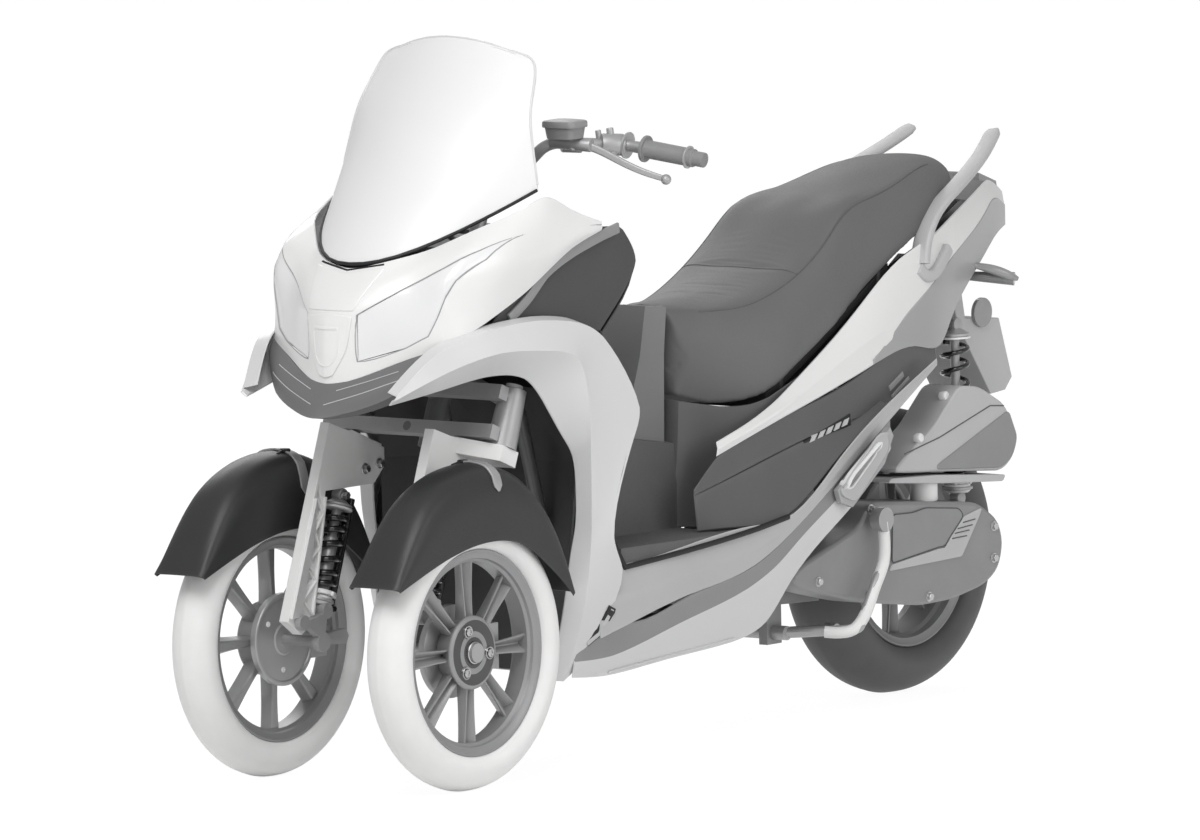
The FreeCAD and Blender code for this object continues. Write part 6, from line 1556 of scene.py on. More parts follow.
@dataclass
class RearBody(Panels):
    """White tail sides, dark sides, skirts, sills and lower panels."""

    tail_shares: tuple = (
        ((0.51, 0.8, 0.56), (0.51, 0.81, 0.548), (0.51, 0.8, 0.536)),
        ((0.635, 0.74, 0.618), (0.635, 0.82, 0.606), (0.635, 0.82, 0.59)),
        ((0.673, 0.72, 0.645), (0.673, 0.81, 0.626), (0.673, 0.82, 0.605)),
        ((0.811, 0.66, 0.758), (0.811, 0.78, 0.706), (0.811, 0.82, 0.663)),
        ((0.905, 0.63, 0.842), (0.905, 0.7, 0.744), (0.905, 0.76, 0.684)),
        ((0.97, 0.62, 0.876), (0.97, 0.64, 0.792), (0.97, 0.68, 0.674)),
        ((1.016, 0.56, 0.9), (1.016, 0.58, 0.828), (1.016, 0.58, 0.722)),
        ((1.111, 0.42, 0.95), (1.111, 0.46, 0.901), (1.111, 0.44, 0.822)),
        ((1.139, 0.36, 0.958), (1.139, 0.4, 0.922), (1.139, 0.4, 0.85)),
        ((1.187, 0.26, 0.93), (1.187, 0.28, 0.905), (1.187, 0.28, 0.867)),
    )
    wedge_first_row: int = 3
    wedge_shift_shares: tuple = (0.0, 0.006, 0.0)
    rim_shift_shares: tuple = (0.0, -0.085, -0.02)
    dark_shares: tuple = (
        ((0.465, 0.8, 0.478), (0.465, 0.8, 0.47)), ((0.51, 0.8, 0.531), (0.51, 0.81, 0.486)),
        ((0.669, 0.81, 0.599), (0.669, 0.82, 0.541)), ((0.77, 0.81, 0.636), (0.77, 0.81, 0.565)),
        ((0.844, 0.785, 0.672), (0.844, 0.78, 0.578)), ((0.916, 0.735, 0.688), (0.916, 0.74, 0.616)),
        ((0.96, 0.67, 0.684), (0.96, 0.7, 0.64)),
    )
    skirt_shares: tuple = (
        ((0.465, 0.8, 0.466), (0.47, 0.8, 0.402)), ((0.51, 0.81, 0.482), (0.51, 0.88, 0.403)),
        ((0.589, 0.82, 0.51), (0.589, 0.98, 0.406)), ((0.669, 0.82, 0.537), (0.669, 0.95, 0.46)),
        ((0.718, 0.815, 0.549), (0.718, 0.92, 0.503)), ((0.77, 0.8, 0.561), (0.77, 0.89, 0.543)),
        ((0.828, 0.785, 0.59), (0.828, 0.86, 0.584)),
    )
    sill_shares: tuple = (
        ((0.24, 0.96, 0.372), (0.24, 0.98, 0.3), (0.252, 0.95, 0.24)),
        ((0.288, 1.0, 0.37), (0.288, 1.03, 0.31), (0.3, 1.0, 0.262)),
        ((0.4, 1.0, 0.384), (0.4, 1.04, 0.335), (0.41, 1.0, 0.296)),
        ((0.536, 1.01, 0.402), (0.536, 1.03, 0.362), (0.536, 1.0, 0.33)),
        ((0.589, 1.02, 0.404), (0.589, 1.02, 0.386), (0.589, 1.0, 0.364)),
        ((0.718, 0.95, 0.502), (0.718, 0.96, 0.486), (0.718, 0.95, 0.468)),
        ((0.828, 0.89, 0.588), (0.828, 0.9, 0.575), (0.828, 0.89, 0.558)),
        ((0.935, 0.82, 0.652), (0.935, 0.82, 0.648), (0.935, 0.82, 0.642)),
    )
    lower_shares: tuple = (
        ((0.215, 0.98, 0.33), (0.215, 0.86, 0.172)), ((0.288, 0.99, 0.262), (0.288, 0.8, 0.162)),
        ((0.41, 0.99, 0.29), (0.41, 0.78, 0.172)), ((0.536, 0.99, 0.326), (0.536, 0.77, 0.183)),
        ((0.589, 0.99, 0.36), (0.6, 0.78, 0.21)), ((0.637, 0.97, 0.396), (0.637, 0.84, 0.281)),
        ((0.718, 0.94, 0.464), (0.718, 0.92, 0.384)), ((0.77, 0.92, 0.51), (0.77, 0.9, 0.43)),
        ((0.828, 0.88, 0.554), (0.828, 0.88, 0.5)),
    )
    split_shares: tuple = (0.82, 0.62, 0.42, 0.29, 0.27, 0.31, 0.42, 0.44, 0.44)
    slot_shares: tuple = ((0.262, 1.0, 0.296), (0.249, 1.0, 0.252), (0.231, 1.0, 0.236))
    belly_shares: tuple = (
        ((0.29, 0.82, 0.166), (0.29, 0.0, 0.158)), ((0.4, 0.8, 0.176), (0.4, 0.0, 0.164)),
        ((0.536, 0.79, 0.187), (0.536, 0.0, 0.176)),
    )
    tail_core_shares: tuple = (0.9, 0.0, 0.7)
    vent_columns: int = 5
    vent_rows_mm: tuple = (0.0, 17.0)
    vent_shade_patch_mm: tuple = ((-246, 205, 514), (-246, 205, 538), (-392, 205, 576), (-392, 205, 536))
    slits_mm: tuple = (
        (((-524, 200, 610), (-572, 200, 633)), 11.0), (((-532, 200, 594), (-592, 200, 624)), 6.0),
    )
    leaf_mm: tuple = ((-896, 112, 806), (-925, 135, 797), (-948, 155, 786), (-964, 170, 776))

    def tail(self) -> None:
        """Makes the white tail sides, their downward faces in a mid grey of painted shade, and a black strip
        of painted shade under the seat's rim.
        """
        table = np.array(self.tail_shares)
        # The tail's lower rear faces, split off to take a mid grey: painted shade.
        wedge = table[self.wedge_first_row :, 1:] + self.wedge_shift_shares
        wedge[0, 0] = wedge[0, 1] + [0.0, 0.0, 0.006]
        upper, fore, under = (
            self.skin(part, self.tail_core_shares, slack=0.15) for part in (table[:, :2], table[:, 1:], wedge)
        )
        show("tail_side_panels", both_sides(joined(upper, fore)), WHITE_LACQUER, "white_panel", "tail_sides")
        # The downward faces in mid grey: painted shade on the white tail.
        show("tail_under_panels_painted_shade", both_sides(under), TAIL_SHADE_GREY, "light_panel")
        # A black strip under the seat's rim: painted shade in the gap under the seat's overhang.
        rim = smooth_line(HULL.place(table[1:8, 0] + self.rim_shift_shares), 6, slack=0.3)
        seal = swept(rim, rounded_box(0.034, 0.006, 0.002), UP)
        show("seat_rim_shade_strips", both_sides(seal), BLACK_SEAL_AND_SHADE, "dark_panel")

    def vent_cells(self, flank: Surface) -> Shape:
        """The vents: slanted cells in columns that rise rearwards, in two rows."""
        cells = []
        for k in range(self.vent_columns):
            for drop in self.vent_rows_mm:
                x, z = -262.0 - 25.0 * k - 0.3 * drop, 534.0 + 5.0 * k - drop
                corners = ((x, 205, z), (x - 15, 205, z + 3), (x - 25, 205, z + 15), (x - 10, 205, z + 12))
                cells.append(flank.patch(mm(corners), 0.003))
        return joined(*cells)

    def dark_sides(self) -> None:
        """Makes the dark sides with their vents and slits; behind the vent cells lies a black patch of
        painted shade.
        """
        dark = self.skin(self.dark_shares, (0.8, 0.0, 0.6), (6, 4), slack=0.15)
        show("dark_side_panels", both_sides(dark), SHADE_TRIM, "dark_panel", "dark_sides")
        flank = Surface(dark, LEFT)
        # Behind the vent cells, a black patch: painted shade in the vent's openings.
        rim = flank.patch(mm(self.vent_shade_patch_mm), 0.0015)
        show("side_vent_shade_patches", both_sides(rim), BLACK_SEAL_AND_SHADE, "dark_panel")
        show("side_vent_cells", both_sides(self.vent_cells(flank)), LIGHT_LINE, "light_panel")
        slits = [flank.bead(mm(row), width * MM, 0.003, 4, slack=1.0) for row, width in self.slits_mm]
        show("side_slits", both_sides(joined(*slits)), BAND_TRIM, "dark_panel")

    def turn_signals(self) -> None:
        """Makes the rear turn signals: flat leaves, widest in the middle."""
        path = smooth_line(mm(self.leaf_mm), 5)
        swell = 0.25 + 0.95 * np.sin(np.linspace(0.12, 2.95, len(path))) ** 0.7
        lamp = swept(path, rounded_box(0.03, 0.015, 0.006), UP, swell)
        show("turn_signals", both_sides(lamp), SIGNAL_LENS, "lamp_lens", fold=50.0)

    def lower_panels(self) -> None:
        """Makes the dark band below the sill, its slot, and the pale panels under it; the slot holds a black
        bead of painted shadow.
        """
        table = np.array(self.lower_shares)
        middle = table[:, 0] + (table[:, 1] - table[:, 0]) * np.array(self.split_shares)[:, None]
        band, lower = (
            self.skin(np.stack(edges, axis=1), (0.5, 0.0, 0.35), (6, 4), slack=0.15)
            for edges in ((table[:, 0], middle), (middle, table[:, 1]))
        )
        show("lower_band_panels", both_sides(band), BAND_TRIM, "dark_panel")
        flank = Surface(band, LEFT)
        line = HULL.place(self.slot_shares)
        # The slot's inside is a black bead: painted shadow.
        dark = flank.bead(line, 0.022, 0.0024, creases=(1,), slack=1.0)
        pale = flank.bead(line - 0.004 * UP, 0.009, 0.0036, creases=(1,), slack=1.0)
        show("lower_band_slot_shadows", both_sides(dark), BLACK_SEAL_AND_SHADE, "dark_panel")
        show("lower_band_slot_edges", both_sides(pale), LIGHT_LINE, "light_panel")
        belly = self.skin(self.belly_shares, (0.4, 0.0, 0.6), (4, 5), slack=0.0, whole=across)
        sides = joined(both_sides(lower), belly)
        show("lower_side_panels", sides, PALE_LACQUER, "light_panel", "lower_panels")

    def build(self) -> None:
        """Makes the panels from the tail down."""
        self.tail()
        self.dark_sides()
        self.turn_signals()
        skirt = self.skin(self.skirt_shares, (0.8, 0.0, 0.5), (6, 4), slack=0.15)
        show("skirt_panels", both_sides(skirt), SHADE_TRIM, "dark_panel", "skirts")
        sill = self.skin(self.sill_shares, (0.6, 0.0, 0.4), (6, 5), (1,), slack=0.1)
        show("sill_panels", both_sides(sill), SILL_LACQUER, "light_panel", "sills")
        self.lower_panels()


@dataclass
class Coilover:
    """A spring and damper between two eyes."""

    name: str
    body: str
    low: Array
    high: Array
    coil_radius: float
    turns: float = 7.0
    wire: float = 0.0045
    rod_radius: float = 0.009
    eye_radius: float = 0.013
    # How far behind the shock the black bar of painted shade stands; zero leaves it out.
    guard: float = 0.0
    replaces: tuple = ()

    def __post_init__(self) -> None:
        """Works out the shock's line, its length and where the spring starts."""
        self.way, self.side, self.third = basis(self.high - self.low)
        self.length = float(np.linalg.norm(self.high - self.low))
        self.spring_start = self.eye_radius + 0.03

    def spring(self) -> Shape:
        """The spring: wire along the helix foot + t * way + r (cos a, sin a), its ends closer wound."""
        t = np.linspace(0.0, 1.0, int(self.turns * 28))
        angle = (2 * math.pi * self.turns * t)[:, None]
        end = self.length - self.eye_radius - 0.022
        along = self.spring_start + (end - self.spring_start) * (t - 0.045 * np.sin(2 * math.pi * t))
        round_it = np.cos(angle) * self.side + np.sin(angle) * self.third
        path = self.low + along[:, None] * self.way + (self.coil_radius - self.wire) * round_it
        return swept(path, circle(self.wire, 8), self.way)

    def damper(self) -> Shape:
        """The damper: eyes, lower cup, body, rod and upper cup, turned about the shock's line."""
        e, c, top = self.eye_radius, self.coil_radius, self.length - self.eye_radius
        profile = [
            (e * 0.4, 0.008), (e + 0.002, 0.009), (e + 0.003, c - 0.004), (e + 0.0045, c), (e + 0.009, c),
            (e + 0.0105, c - 0.007), (e + 0.012, 0.0135), (self.length * 0.62, 0.0135),
            (self.length * 0.63, 0.0125), (self.length * 0.64, self.rod_radius),
            (top - 0.012, self.rod_radius), (top - 0.01, c - 0.006), (top - 0.008, c), (top - 0.004, c),
            (top - 0.002, c - 0.005), (top + e * 0.6, 0.008),
        ]
        half = LEFT * self.eye_radius * 0.8
        eyes = [rod(place - half, place + half, self.eye_radius, 24) for place in (self.low, self.high)]
        return joined(lathe(profile, self.low, self.way, 32), *eyes)

    def collars(self) -> Shape:
        """The pale preload collar under the spring, with its notches, and the cup above it."""
        r, way = self.coil_radius, self.way
        end = self.length - self.eye_radius - 0.026
        pieces = []
        for foot, tall in ((self.spring_start - 0.014, 0.009), (end + 0.012, 0.005)):
            profile = [(0.0, r - 0.003), (0.001, r + 0.0015), (tall - 0.001, r + 0.0015), (tall, r - 0.002)]
            pieces.append(lathe(profile, self.low + way * foot, way, 32))
        for angle in np.arange(6) * math.pi / 3:
            out = (r + 0.001) * (math.cos(angle) * self.side + math.sin(angle) * self.third)
            spot = self.low + way * (self.spring_start - 0.0105) + out
            pieces.append(rod(spot - way * 0.004, spot + way * 0.004, 0.0035, 8))
        cup = [(0.0, r - 0.008), (0.004, r - 0.004), (0.016, r - 0.004), (0.018, r - 0.008)]
        pieces.append(lathe(cup, self.low + way * (self.spring_start - 0.032), way, 32))
        return joined(*pieces)

    def shade_bar(self) -> Shape:
        """A slim black bar behind the shock, from eye to eye: painted shade for the dark shaded side beside
        the spring.
        """
        back = np.array([-self.guard, 0.0, -0.006])
        low, high = self.low + back + self.way * 0.006, self.high + back - self.way * 0.004
        return joined(rod(low, high, 0.0085, 16), bolt(low, LEFT, 0.006, 0.014))

    def build(self) -> None:
        """Makes the damper and its spring, and the black bar of painted shade behind them where there is one.
        """
        pieces = [("collars", self.collars(), WHITE_CAST, 40.0, ())]
        if self.guard:
            pieces.append(("shade_bar", self.shade_bar(), SPRING_STEEL, 40.0, ()))
        pieces.append(("damper", self.damper(), SILVER_CAST, 30.0, self.replaces))
        pieces.append(("spring", self.spring(), SPRING_STEEL, 60.0, ()))
        for word, shape, finish, fold, nodes in pieces:
            show(f"{self.name}_{word}", shape, finish, "spring_metal", *nodes, body=self.body, fold=fold)


@dataclass
class Controls:
    """Brake fluid tanks, clamps, switch blocks and levers, drawn for the left bar in millimetres.

    The bars hold a start, an end, a radius, a number of sides and the share of the radius that
    their ends are softened by: clamp, cylinder barrel, switch block and three knobs.
    """

    tank: tuple = ((374, 131), (433, 133), (436, 170), (430, 206), (378, 206), (370, 168))
    tank_rings: tuple = (
        (1158, 0.7), (1160, 0.8), (1178, 0.88), (1180, 0.9), (1180.5, 0.99), (1182, 1.0), (1189, 1.0),
        (1192, 0.97), (1193, 0.9),
    )
    lever: tuple = (
        (392, 176, 1149), (383, 198, 1146), (370, 222, 1136), (348, 262, 1112), (330, 300, 1094),
        (316, 328, 1084),
    )
    bars: tuple = (
        ((381, 142, 1148), (350, 165, 1145), 17.5, 24, 0.15),
        ((399, 132, 1152), (381, 212, 1146), 12.5, 24, 0.15),
        ((322, 186, 1142.5), (287, 213, 1139.3), 20.5, 28, 0.15),
        ((305, 198, 1150), (306, 196, 1172), 6.8, 16, 0.3),
        ((324, 185, 1150), (326, 184, 1169), 5.5, 16, 0.3),
        ((310, 205, 1128), (318, 214, 1117), 7.5, 16, 0.3),
    )
    clamp_bolt: tuple = (364, 152, 1163)
    grip: tuple = ((284, 215, 1139), (259, 380, 1115))
    flange: tuple = ((0.0, 21.5), (0.8, 25.0), (4.0, 25.0), (5.2, 21.5))
    end_ring: tuple = ((0.0, 17.5), (0.8, 21.2), (3.6, 21.2), (4.8, 17.5))

    def tub(self) -> Shape:
        """The tank: its outline scaled about its middle at each height."""
        outline = rounded(self.tank, 12.0)
        middle = outline.mean(axis=0)
        rings = [
            np.column_stack([middle + (outline - middle) * scale, np.full(len(outline), z)])
            for z, scale in self.tank_rings
        ]
        return capped(mm(rings))

    def bar_parts(self) -> Shape:
        """Clamp, cylinder barrel, switch block with its knobs and the grip's flanges."""
        start, end = mm(self.grip)
        way = unit(end - start)
        rods = [rod(mm(a), mm(b), r * MM, sides, lip) for a, b, r, sides, lip in self.bars]
        return joined(
            *rods,
            bolt(mm(self.clamp_bolt), UP, 0.0055, 0.007),
            lathe(mm(self.flange), start + way * 0.002, way, 36),
            lathe(mm(self.end_ring), start + way * 0.132, way, 36),
        )

    def blade(self) -> Shape:
        """The lever: a flat blade that thins outwards, its pivot and the ball at its end."""
        path = smooth_line(mm(self.lever), 6)
        arm = swept(path, rounded_box(0.0085, 0.0135, 0.003), UP, np.linspace(1.25, 0.8, len(path)))
        pivot = rod(path[0] - 0.012 * UP, path[0] + 0.012 * UP, 0.0085, 20)
        return joined(arm, pivot, ball(path[-1] + [-0.0015, 0.004, -0.0015], 0.0098, 24))

    def build(self) -> None:
        """Makes the controls of both bars."""
        for name, shape, finish, fold, nodes in (
            ("brake_tanks", self.tub(), MID_SILVER, 40.0, ["brake_controls"]),
            ("bar_controls", self.bar_parts(), SILVER_CAST, 40.0, []),
            ("brake_levers", self.blade(), SILVER_CAST, 50.0, []),
        ):
            show(name, both_sides(shape), finish, "dark_panel", *nodes, body="steering", fold=fold)


@dataclass
class Drive:
    """Belt cover, air box and their details on the left of the rear wheel, and the muffler's.

    Outlines are X and Z in millimetres; a plate's reach is how far its corners' curves start out.
    """

    cover: tuple = (
        (-468, 402), (-640, 385), (-800, 368), (-862, 330), (-878, 285), (-862, 235), (-815, 208),
        (-720, 192), (-619, 190), (-450, 212), (-282, 250), (-222, 274), (-240, 300), (-331, 328),
        (-434, 360),
    )
    window: tuple = (
        (-530, 371), (-593, 369), (-633, 374), (-736, 363), (-750, 348), (-699, 306), (-690, 296),
        (-670, 296), (-525, 280),
    )
    frame: tuple = (
        (-806, 357), (-800, 345), (-741, 271), (-515, 266), (-523, 278), (-670, 293), (-690, 293),
        (-708, 311), (-751, 346),
    )
    lines: tuple = (
        ((-745, 335), (-783, 338)), ((-728, 325), (-774, 328)), ((-719, 317), (-764, 319)),
        ((-711, 308), (-756, 309)),
    )
    bolts: tuple = ((-844, 258), (-846, 318), (-640, 205), (-455, 228), (-300, 268), (-465, 388))
    box: tuple = (
        (-556, 447), (-588, 470), (-684, 520), (-766, 592), (-830, 584), (-905, 545), (-948, 478),
        (-930, 440), (-895, 418), (-690, 436), (-600, 442),
    )
    facet: tuple = ((-690, 449), (-916, 532), (-942, 478), (-926, 443), (-893, 424), (-690, 440))
    lid: tuple = ((-590, 479), (-700, 500), (-860, 545), (-902, 541))
    keel: tuple = ((-540, 438), (-690, 430), (-896, 411), (-888, 399), (-690, 414), (-530, 430))
    clips: tuple = ((-640, 166, 503), (-742, 150, 572))
    neck: tuple = ((-685, 150, 380), (-685, 150, 428))
    muffler: tuple = ((-544.0, -155.0, 265.0), (-1016.5, -170.0, 330.0))
    band: tuple = ((0.0, 61.0), (0.0, 65.0), (1.5, 66.2), (11.5, 66.2), (13.0, 65.0), (13.0, 61.0))
    band_shares: tuple = (0.1, 0.86)
    cap: tuple = ((-2.0, 60.0), (3.0, 59.0), (6.0, 56.0), (7.0, 50.0), (3.0, 44.0), (3.0, 1.0))
    outlet: tuple = ((-4.0, 15.0), (-4.0, 19.0), (10.0, 19.0), (11.2, 17.0), (10.0, 15.0))
    outlet_rise: float = 12.0
    guard_radius: float = 68.5

    def plane(self, corners: Sequence | Array, y: float) -> Array:
        """Corners given as X and Z, set on a plane at Y."""
        flat = np.asarray(corners, float)
        return mm(np.column_stack([flat[:, 0], np.full(len(flat), y), flat[:, 1]]))

    def plate(self, corners: Sequence, near: float, far: float, reach: float) -> Shape:
        """A flat body with rounded corners between two planes."""
        return slab(rounded(self.plane(corners, far), reach * MM), LEFT * (near - far) * MM)

    def strokes(self, rows: Sequence, y: float, width: float, closed: bool = False) -> Shape:
        """Thin raised lines on a plane."""
        lines = []
        for row in rows:
            path = self.plane(row, y)
            path = smooth_line(np.concatenate([path, path[:1]]) if closed else path, 2, slack=1.0)
            lines.append(swept(path, rounded_box(width * MM, 0.0016, 0.0005, 2), LEFT))
        return joined(*lines)

    def muffler_parts(self) -> Shape:
        """Two bands, the rear cap with its outlet, and the guard over the muffler's outer side.

        The guard lies at its radius round the muffler's line, from -1 to 1 times an angle of
        0.8 + 0.1 sin(7 s), s the share of the length.
        """
        low, high = mm(self.muffler)
        way, _, third = basis(high - low)
        length = np.linalg.norm(high - low)
        bands = [ring(mm(self.band), low + way * share * length, way, 64) for share in self.band_shares]
        cap = lathe(mm(self.cap), high, way, 48)
        outlet = ring(mm(self.outlet), high + third * self.outlet_rise * MM, way, 40)
        share = np.linspace(0.16, 0.8, 24)[:, None, None]
        angle = np.linspace(-1.0, 1.0, 15)[None, :, None] * (0.8 + 0.1 * np.sin(share * 7.0))
        out = np.cos(angle) * -LEFT + np.sin(angle) * np.cross(way, -LEFT)
        guard = low + way * share * length + self.guard_radius * MM * out
        return joined(*bands, cap, outlet, shell(guard, 0.002, (low + high) / 2))

    def belt_cover(self) -> None:
        """Makes the belt cover with its window, frame, lines and bolts."""
        cover, rim = self.plate(self.cover, 192, 98, 26), rounded(self.window, 9.0)
        show("belt_cover_body", cover, CASE_CAST, "cast_metal", "belt_cover", bevel_mm=7.0, fold=40.0)
        border = self.plate(self.frame, 195.5, 190, 5)
        show("belt_cover_frame", border, SILVER_TRIM, "cast_metal", bevel_mm=1.2)
        window = self.plate(self.window, 194, 190, 9)
        show("belt_cover_window", window, CASE_CAST, "cast_metal", bevel_mm=1.0)
        dark = joined(self.strokes([rim], 194.2, 1.8, closed=True), self.strokes(self.lines, 195.8, 2.2))
        show("belt_cover_lines", dark, DARK_STEEL, "cast_metal")
        heads = [bolt(spot, LEFT, 0.0072, 0.008) for spot in self.plane(self.bolts, 191.5)]
        show("belt_cover_bolts", joined(*heads), TURNED_STEEL, "cast_metal")

    def air_box(self) -> None:
        """Makes the air box with its facet, keel, lid line, neck and clips."""
        box = self.plate(self.box, 178, 92, 20)
        show("air_box_body", box, SILVER_TRIM, "grey_panel", "air_filter_box", bevel_mm=12.0, fold=40.0)
        for name, outline, near, far, reach, finish in (
            ("facet", self.facet, 180.5, 160, 12, CASE_CAST), ("keel", self.keel, 185, 96, 6, SILVER_TRIM),
        ):
            show(f"air_box_{name}", self.plate(outline, near, far, reach), finish, "grey_panel", bevel_mm=2.0)
        show("air_box_lid_line", self.strokes([self.lid], 178.2, 2.4), DARK_STEEL, "grey_panel")
        neck = rod(*mm(self.neck), 0.026, 32, 0.1)
        clips = [rod(spot, spot + mm((0, 16, 3)), 0.009, 20, 0.4) for spot in mm(self.clips)]
        show("air_box_fittings", joined(neck, *clips), WHITE_CAST, "grey_panel")

    def build(self) -> None:
        """Makes the muffler's fittings, the belt cover and the air box."""
        show("muffler_fittings", self.muffler_parts(), SILVER_CAST, "cast_metal", fold=40.0)
        self.belt_cover()
        self.air_box()


@dataclass
class GrabRails:
    """The rails beside the rear seat, in millimetres: flat blades that rise from a bracket."""

    rail: tuple = (
        (-679, 157, 830), (-687, 155, 859), (-705, 153, 894), (-737, 150, 925), (-796, 146, 958),
        (-861, 138, 989), (-934, 118, 1021), (-994, 97, 1053),
    )
    foot: tuple = ((-668, 158, 822), (-690, 160, 806), (-742, 156, 828), (-770, 150, 850))

    def build(self) -> None:
        """Makes both rails, a little narrower towards their round ends."""
        path = smooth_line(mm(self.rail), 6)
        share = np.linspace(0.0, 1.0, len(path))
        scale = (1.0 - 0.18 * share) * np.sqrt(np.clip(1 - ((share - 0.97) / 0.03).clip(0) ** 2, 0.5, 1.0))
        blade = swept(path, rounded_box(0.016, 0.04, 0.006), LEFT, scale)
        bracket = swept(smooth_line(mm(self.foot), 6), rounded_box(0.024, 0.022, 0.006), LEFT)
        rails = both_sides(joined(blade, bracket))
        show("grab_rail_blades", rails, SILVER_TRIM, "frame_metal", "grab_rails", fold=40.0)


@dataclass
class Castings:
    """The pieces that follow their solids, with rounded edges: cast, welded and moulded parts.

    Each row of parts holds a node, its finish, its slot and the width of its rounding.
    """

    parts: tuple = (
        ("side_heads", SILVER_CAST, "cast_metal", 1.5), ("tilt_arms", SILVER_CAST, "frame_metal", 1.5),
        ("frame_front", STEEL_TUBE, "frame_metal", 0.8), ("frame_rails", STEEL_TUBE, "frame_metal", 0.8),
        ("body_stays", STEEL_TUBE, "frame_metal", 0.0), ("foot_pegs", SILVER_CAST, "cast_metal", 2.5),
        ("engine", CASE_CAST, "cast_metal", 4.0), ("rear_axle_arm", CASE_CAST, "cast_metal", 2.0),
        ("muffler", CASE_CAST, "cast_metal", 2.0), ("plate_holder", SILVER_TRIM, "grey_panel", 3.0),
        ("tail_lights", SIGNAL_LENS, "lamp_lens", 1.5), ("floor", FLOOR_MAT, "dark_panel", 1.2),
        ("console", CONSOLE_TRIM, "grey_panel", 6.0), ("dash", DARK_TRIM, "dark_panel", 1.5),
        ("tail_deck", MID_TRIM, "grey_panel", 1.5),
    )
    open_gap_shares: tuple = ((0.165, 0.66, 0.76), (0.13, 1.3, 0.945))
    pedal: tuple = (
        (-352, 165, 167), (-382, 210, 171), (-402, 217.5, 190), (-443, 217.5, 250), (-468, 217.5, 289),
        (-472, 217.5, 330), (-468, 217.5, 366),
    )
    pad: tuple = (-467, 209, 371)
    pad_profile: tuple = ((0.0, 18.0), (2.0, 22.5), (10.0, 22.5), (12.0, 19.5))
    peg_level: float = 262.0
    peg_rim: tuple = ((-440, 538), (-442, 506), (-338, 417), (-294, 434), (-298, 460), (-406, 543))
    peg_slot: tuple = ((-404, 526), (-397, 502), (-322, 446), (-305, 446), (-302, 458), (-318, 473))
    leg_bolt_places: tuple = ((622.0, 112.2, 566.0), (664.0, 112.2, 560.0), (725.2, 112.2, 516.8))

    def clear_wing_stays(self, piece: bpy.types.Object) -> None:
        """Leaves out the pair of stays that would stand in the open gap over the wings."""
        low, high = HULL.place(self.open_gap_shares)
        work = bmesh.new()
        work.from_mesh(piece.data)
        places = np.array([(vertex.co.x, abs(vertex.co.y), vertex.co.z) for vertex in work.verts])
        inside = ((places > low) & (places < high)).all(axis=1)
        doomed = [vertex for vertex, hit in zip(work.verts, inside) if hit]
        bmesh.ops.delete(work, geom=doomed, context="VERTS")
        work.to_mesh(piece.data)
        work.free()

    def leg_ribs(self, leg: bpy.types.Object) -> Shape:
        """A flange along the leg's front edge and zigzag ribs behind it, raised on the inner face.

        At height z the leg's front edge lies at 897 - 0.3746 (z - 300) and its rear edge at
        829 - 0.2083 (z - 290).
        """
        z = np.linspace(306.0, 520.0, 8)
        fore, aft = 897 - 0.3746 * (z - 300), 829 - 0.2083 * (z - 290)
        inner = fore - 0.4 * (fore - aft)
        zigzag = np.where(np.arange(8) % 2, inner - 2, aft + 4)
        edge, back, ribs, border = (
            mm(np.stack([x, np.full(8, 112.0), z], axis=1)) for x in (fore - 2, inner, zigzag, aft + 3)
        )
        face = skin_of(leg, -LEFT)
        beads = [face.bead(line, 0.006, 0.007, 1, sink=0.001, slack=1.0) for line in (ribs, border)]
        return joined(face.patch(np.concatenate([edge, back[::-1]]), 0.007), *beads)

    def peg_details(self, pegs: bpy.types.Object) -> None:
        """The folded foot peg's raised rim and its slot, laid on the left peg's plate and mirrored."""
        face = skin_of(pegs, LEFT)
        rim, loop = (
            rounded(mm([(x, self.peg_level, z) for x, z in row]), reach)
            for row, reach in ((self.peg_rim, 0.016), (self.peg_slot, 0.008))
        )
        edge = face.bead(np.concatenate([loop, loop[:1]]), 0.004, 0.018, 1, sink=0.009, slack=1.0)
        show("peg_plates", both_sides(face.patch(rim, 0.004)), SILVER_TRIM, "cast_metal", bevel_mm=1.2)
        show("peg_slots", both_sides(face.patch(loop, 0.0052)), BAND_TRIM, "cast_metal")
        show("peg_slot_edges", both_sides(edge), WHITE_CAST, "cast_metal")

    def leg_bolts(self) -> Shape:
        """Two bolts through the leg's upper plate and one at the shock's head."""
        return joined(*(bolt(place, -LEFT, 0.0075, 0.01) for place in mm(self.leg_bolt_places)))

    def legs(self) -> None:
        """Makes both legs with their ribs, bolts and links."""
        ribs = None
        for side in Side:
            word, body = side.word, f"{side.word}_front_leg"
            leg = refine(f"{word}_leg", WHITE_CAST, "light_panel", 1.6, body)
            ribs = ribs or self.leg_ribs(leg)
            show(f"{word}_leg_ribs", ribs.sided(side), WHITE_CAST, "light_panel", body=body, bevel_mm=1.0)
            show(f"{word}_leg_bolts", self.leg_bolts().sided(side), TURNED_STEEL, "cast_metal", body=body)
            refine(f"{word}_link", SILVER_CAST, "cast_metal", 1.4, body)

    def build(self) -> None:
        """Makes the castings of the chassis, the legs, the bars and the stand."""
        for node, finish, slot, bevel in self.parts:
            piece = refine(node, finish, slot, bevel)
            if node == "body_stays":
                self.clear_wing_stays(piece)
            if node == "foot_pegs":
                self.peg_details(piece)
        self.legs()
        refine("handlebar", SILVER_CAST, "frame_metal", 1.0, "steering")
        refine("grips", GRIP_RUBBER, "grip_rubber", 1.5, "steering")
        refine("stand", SILVER_CAST, "frame_metal", 1.2, "centre_stand")
        arm = swept(smooth_line(mm(self.pedal), 6, slack=0.1), circle(0.0112, 16), LEFT)
        pad = lathe(mm(self.pad_profile), mm(self.pad), LEFT, 36)
        show("stand_pedal", joined(arm, pad), WHITE_CAST, "frame_metal", body="centre_stand")
        dress(DARK_TRIM, "inner_wall", "storage_tub")


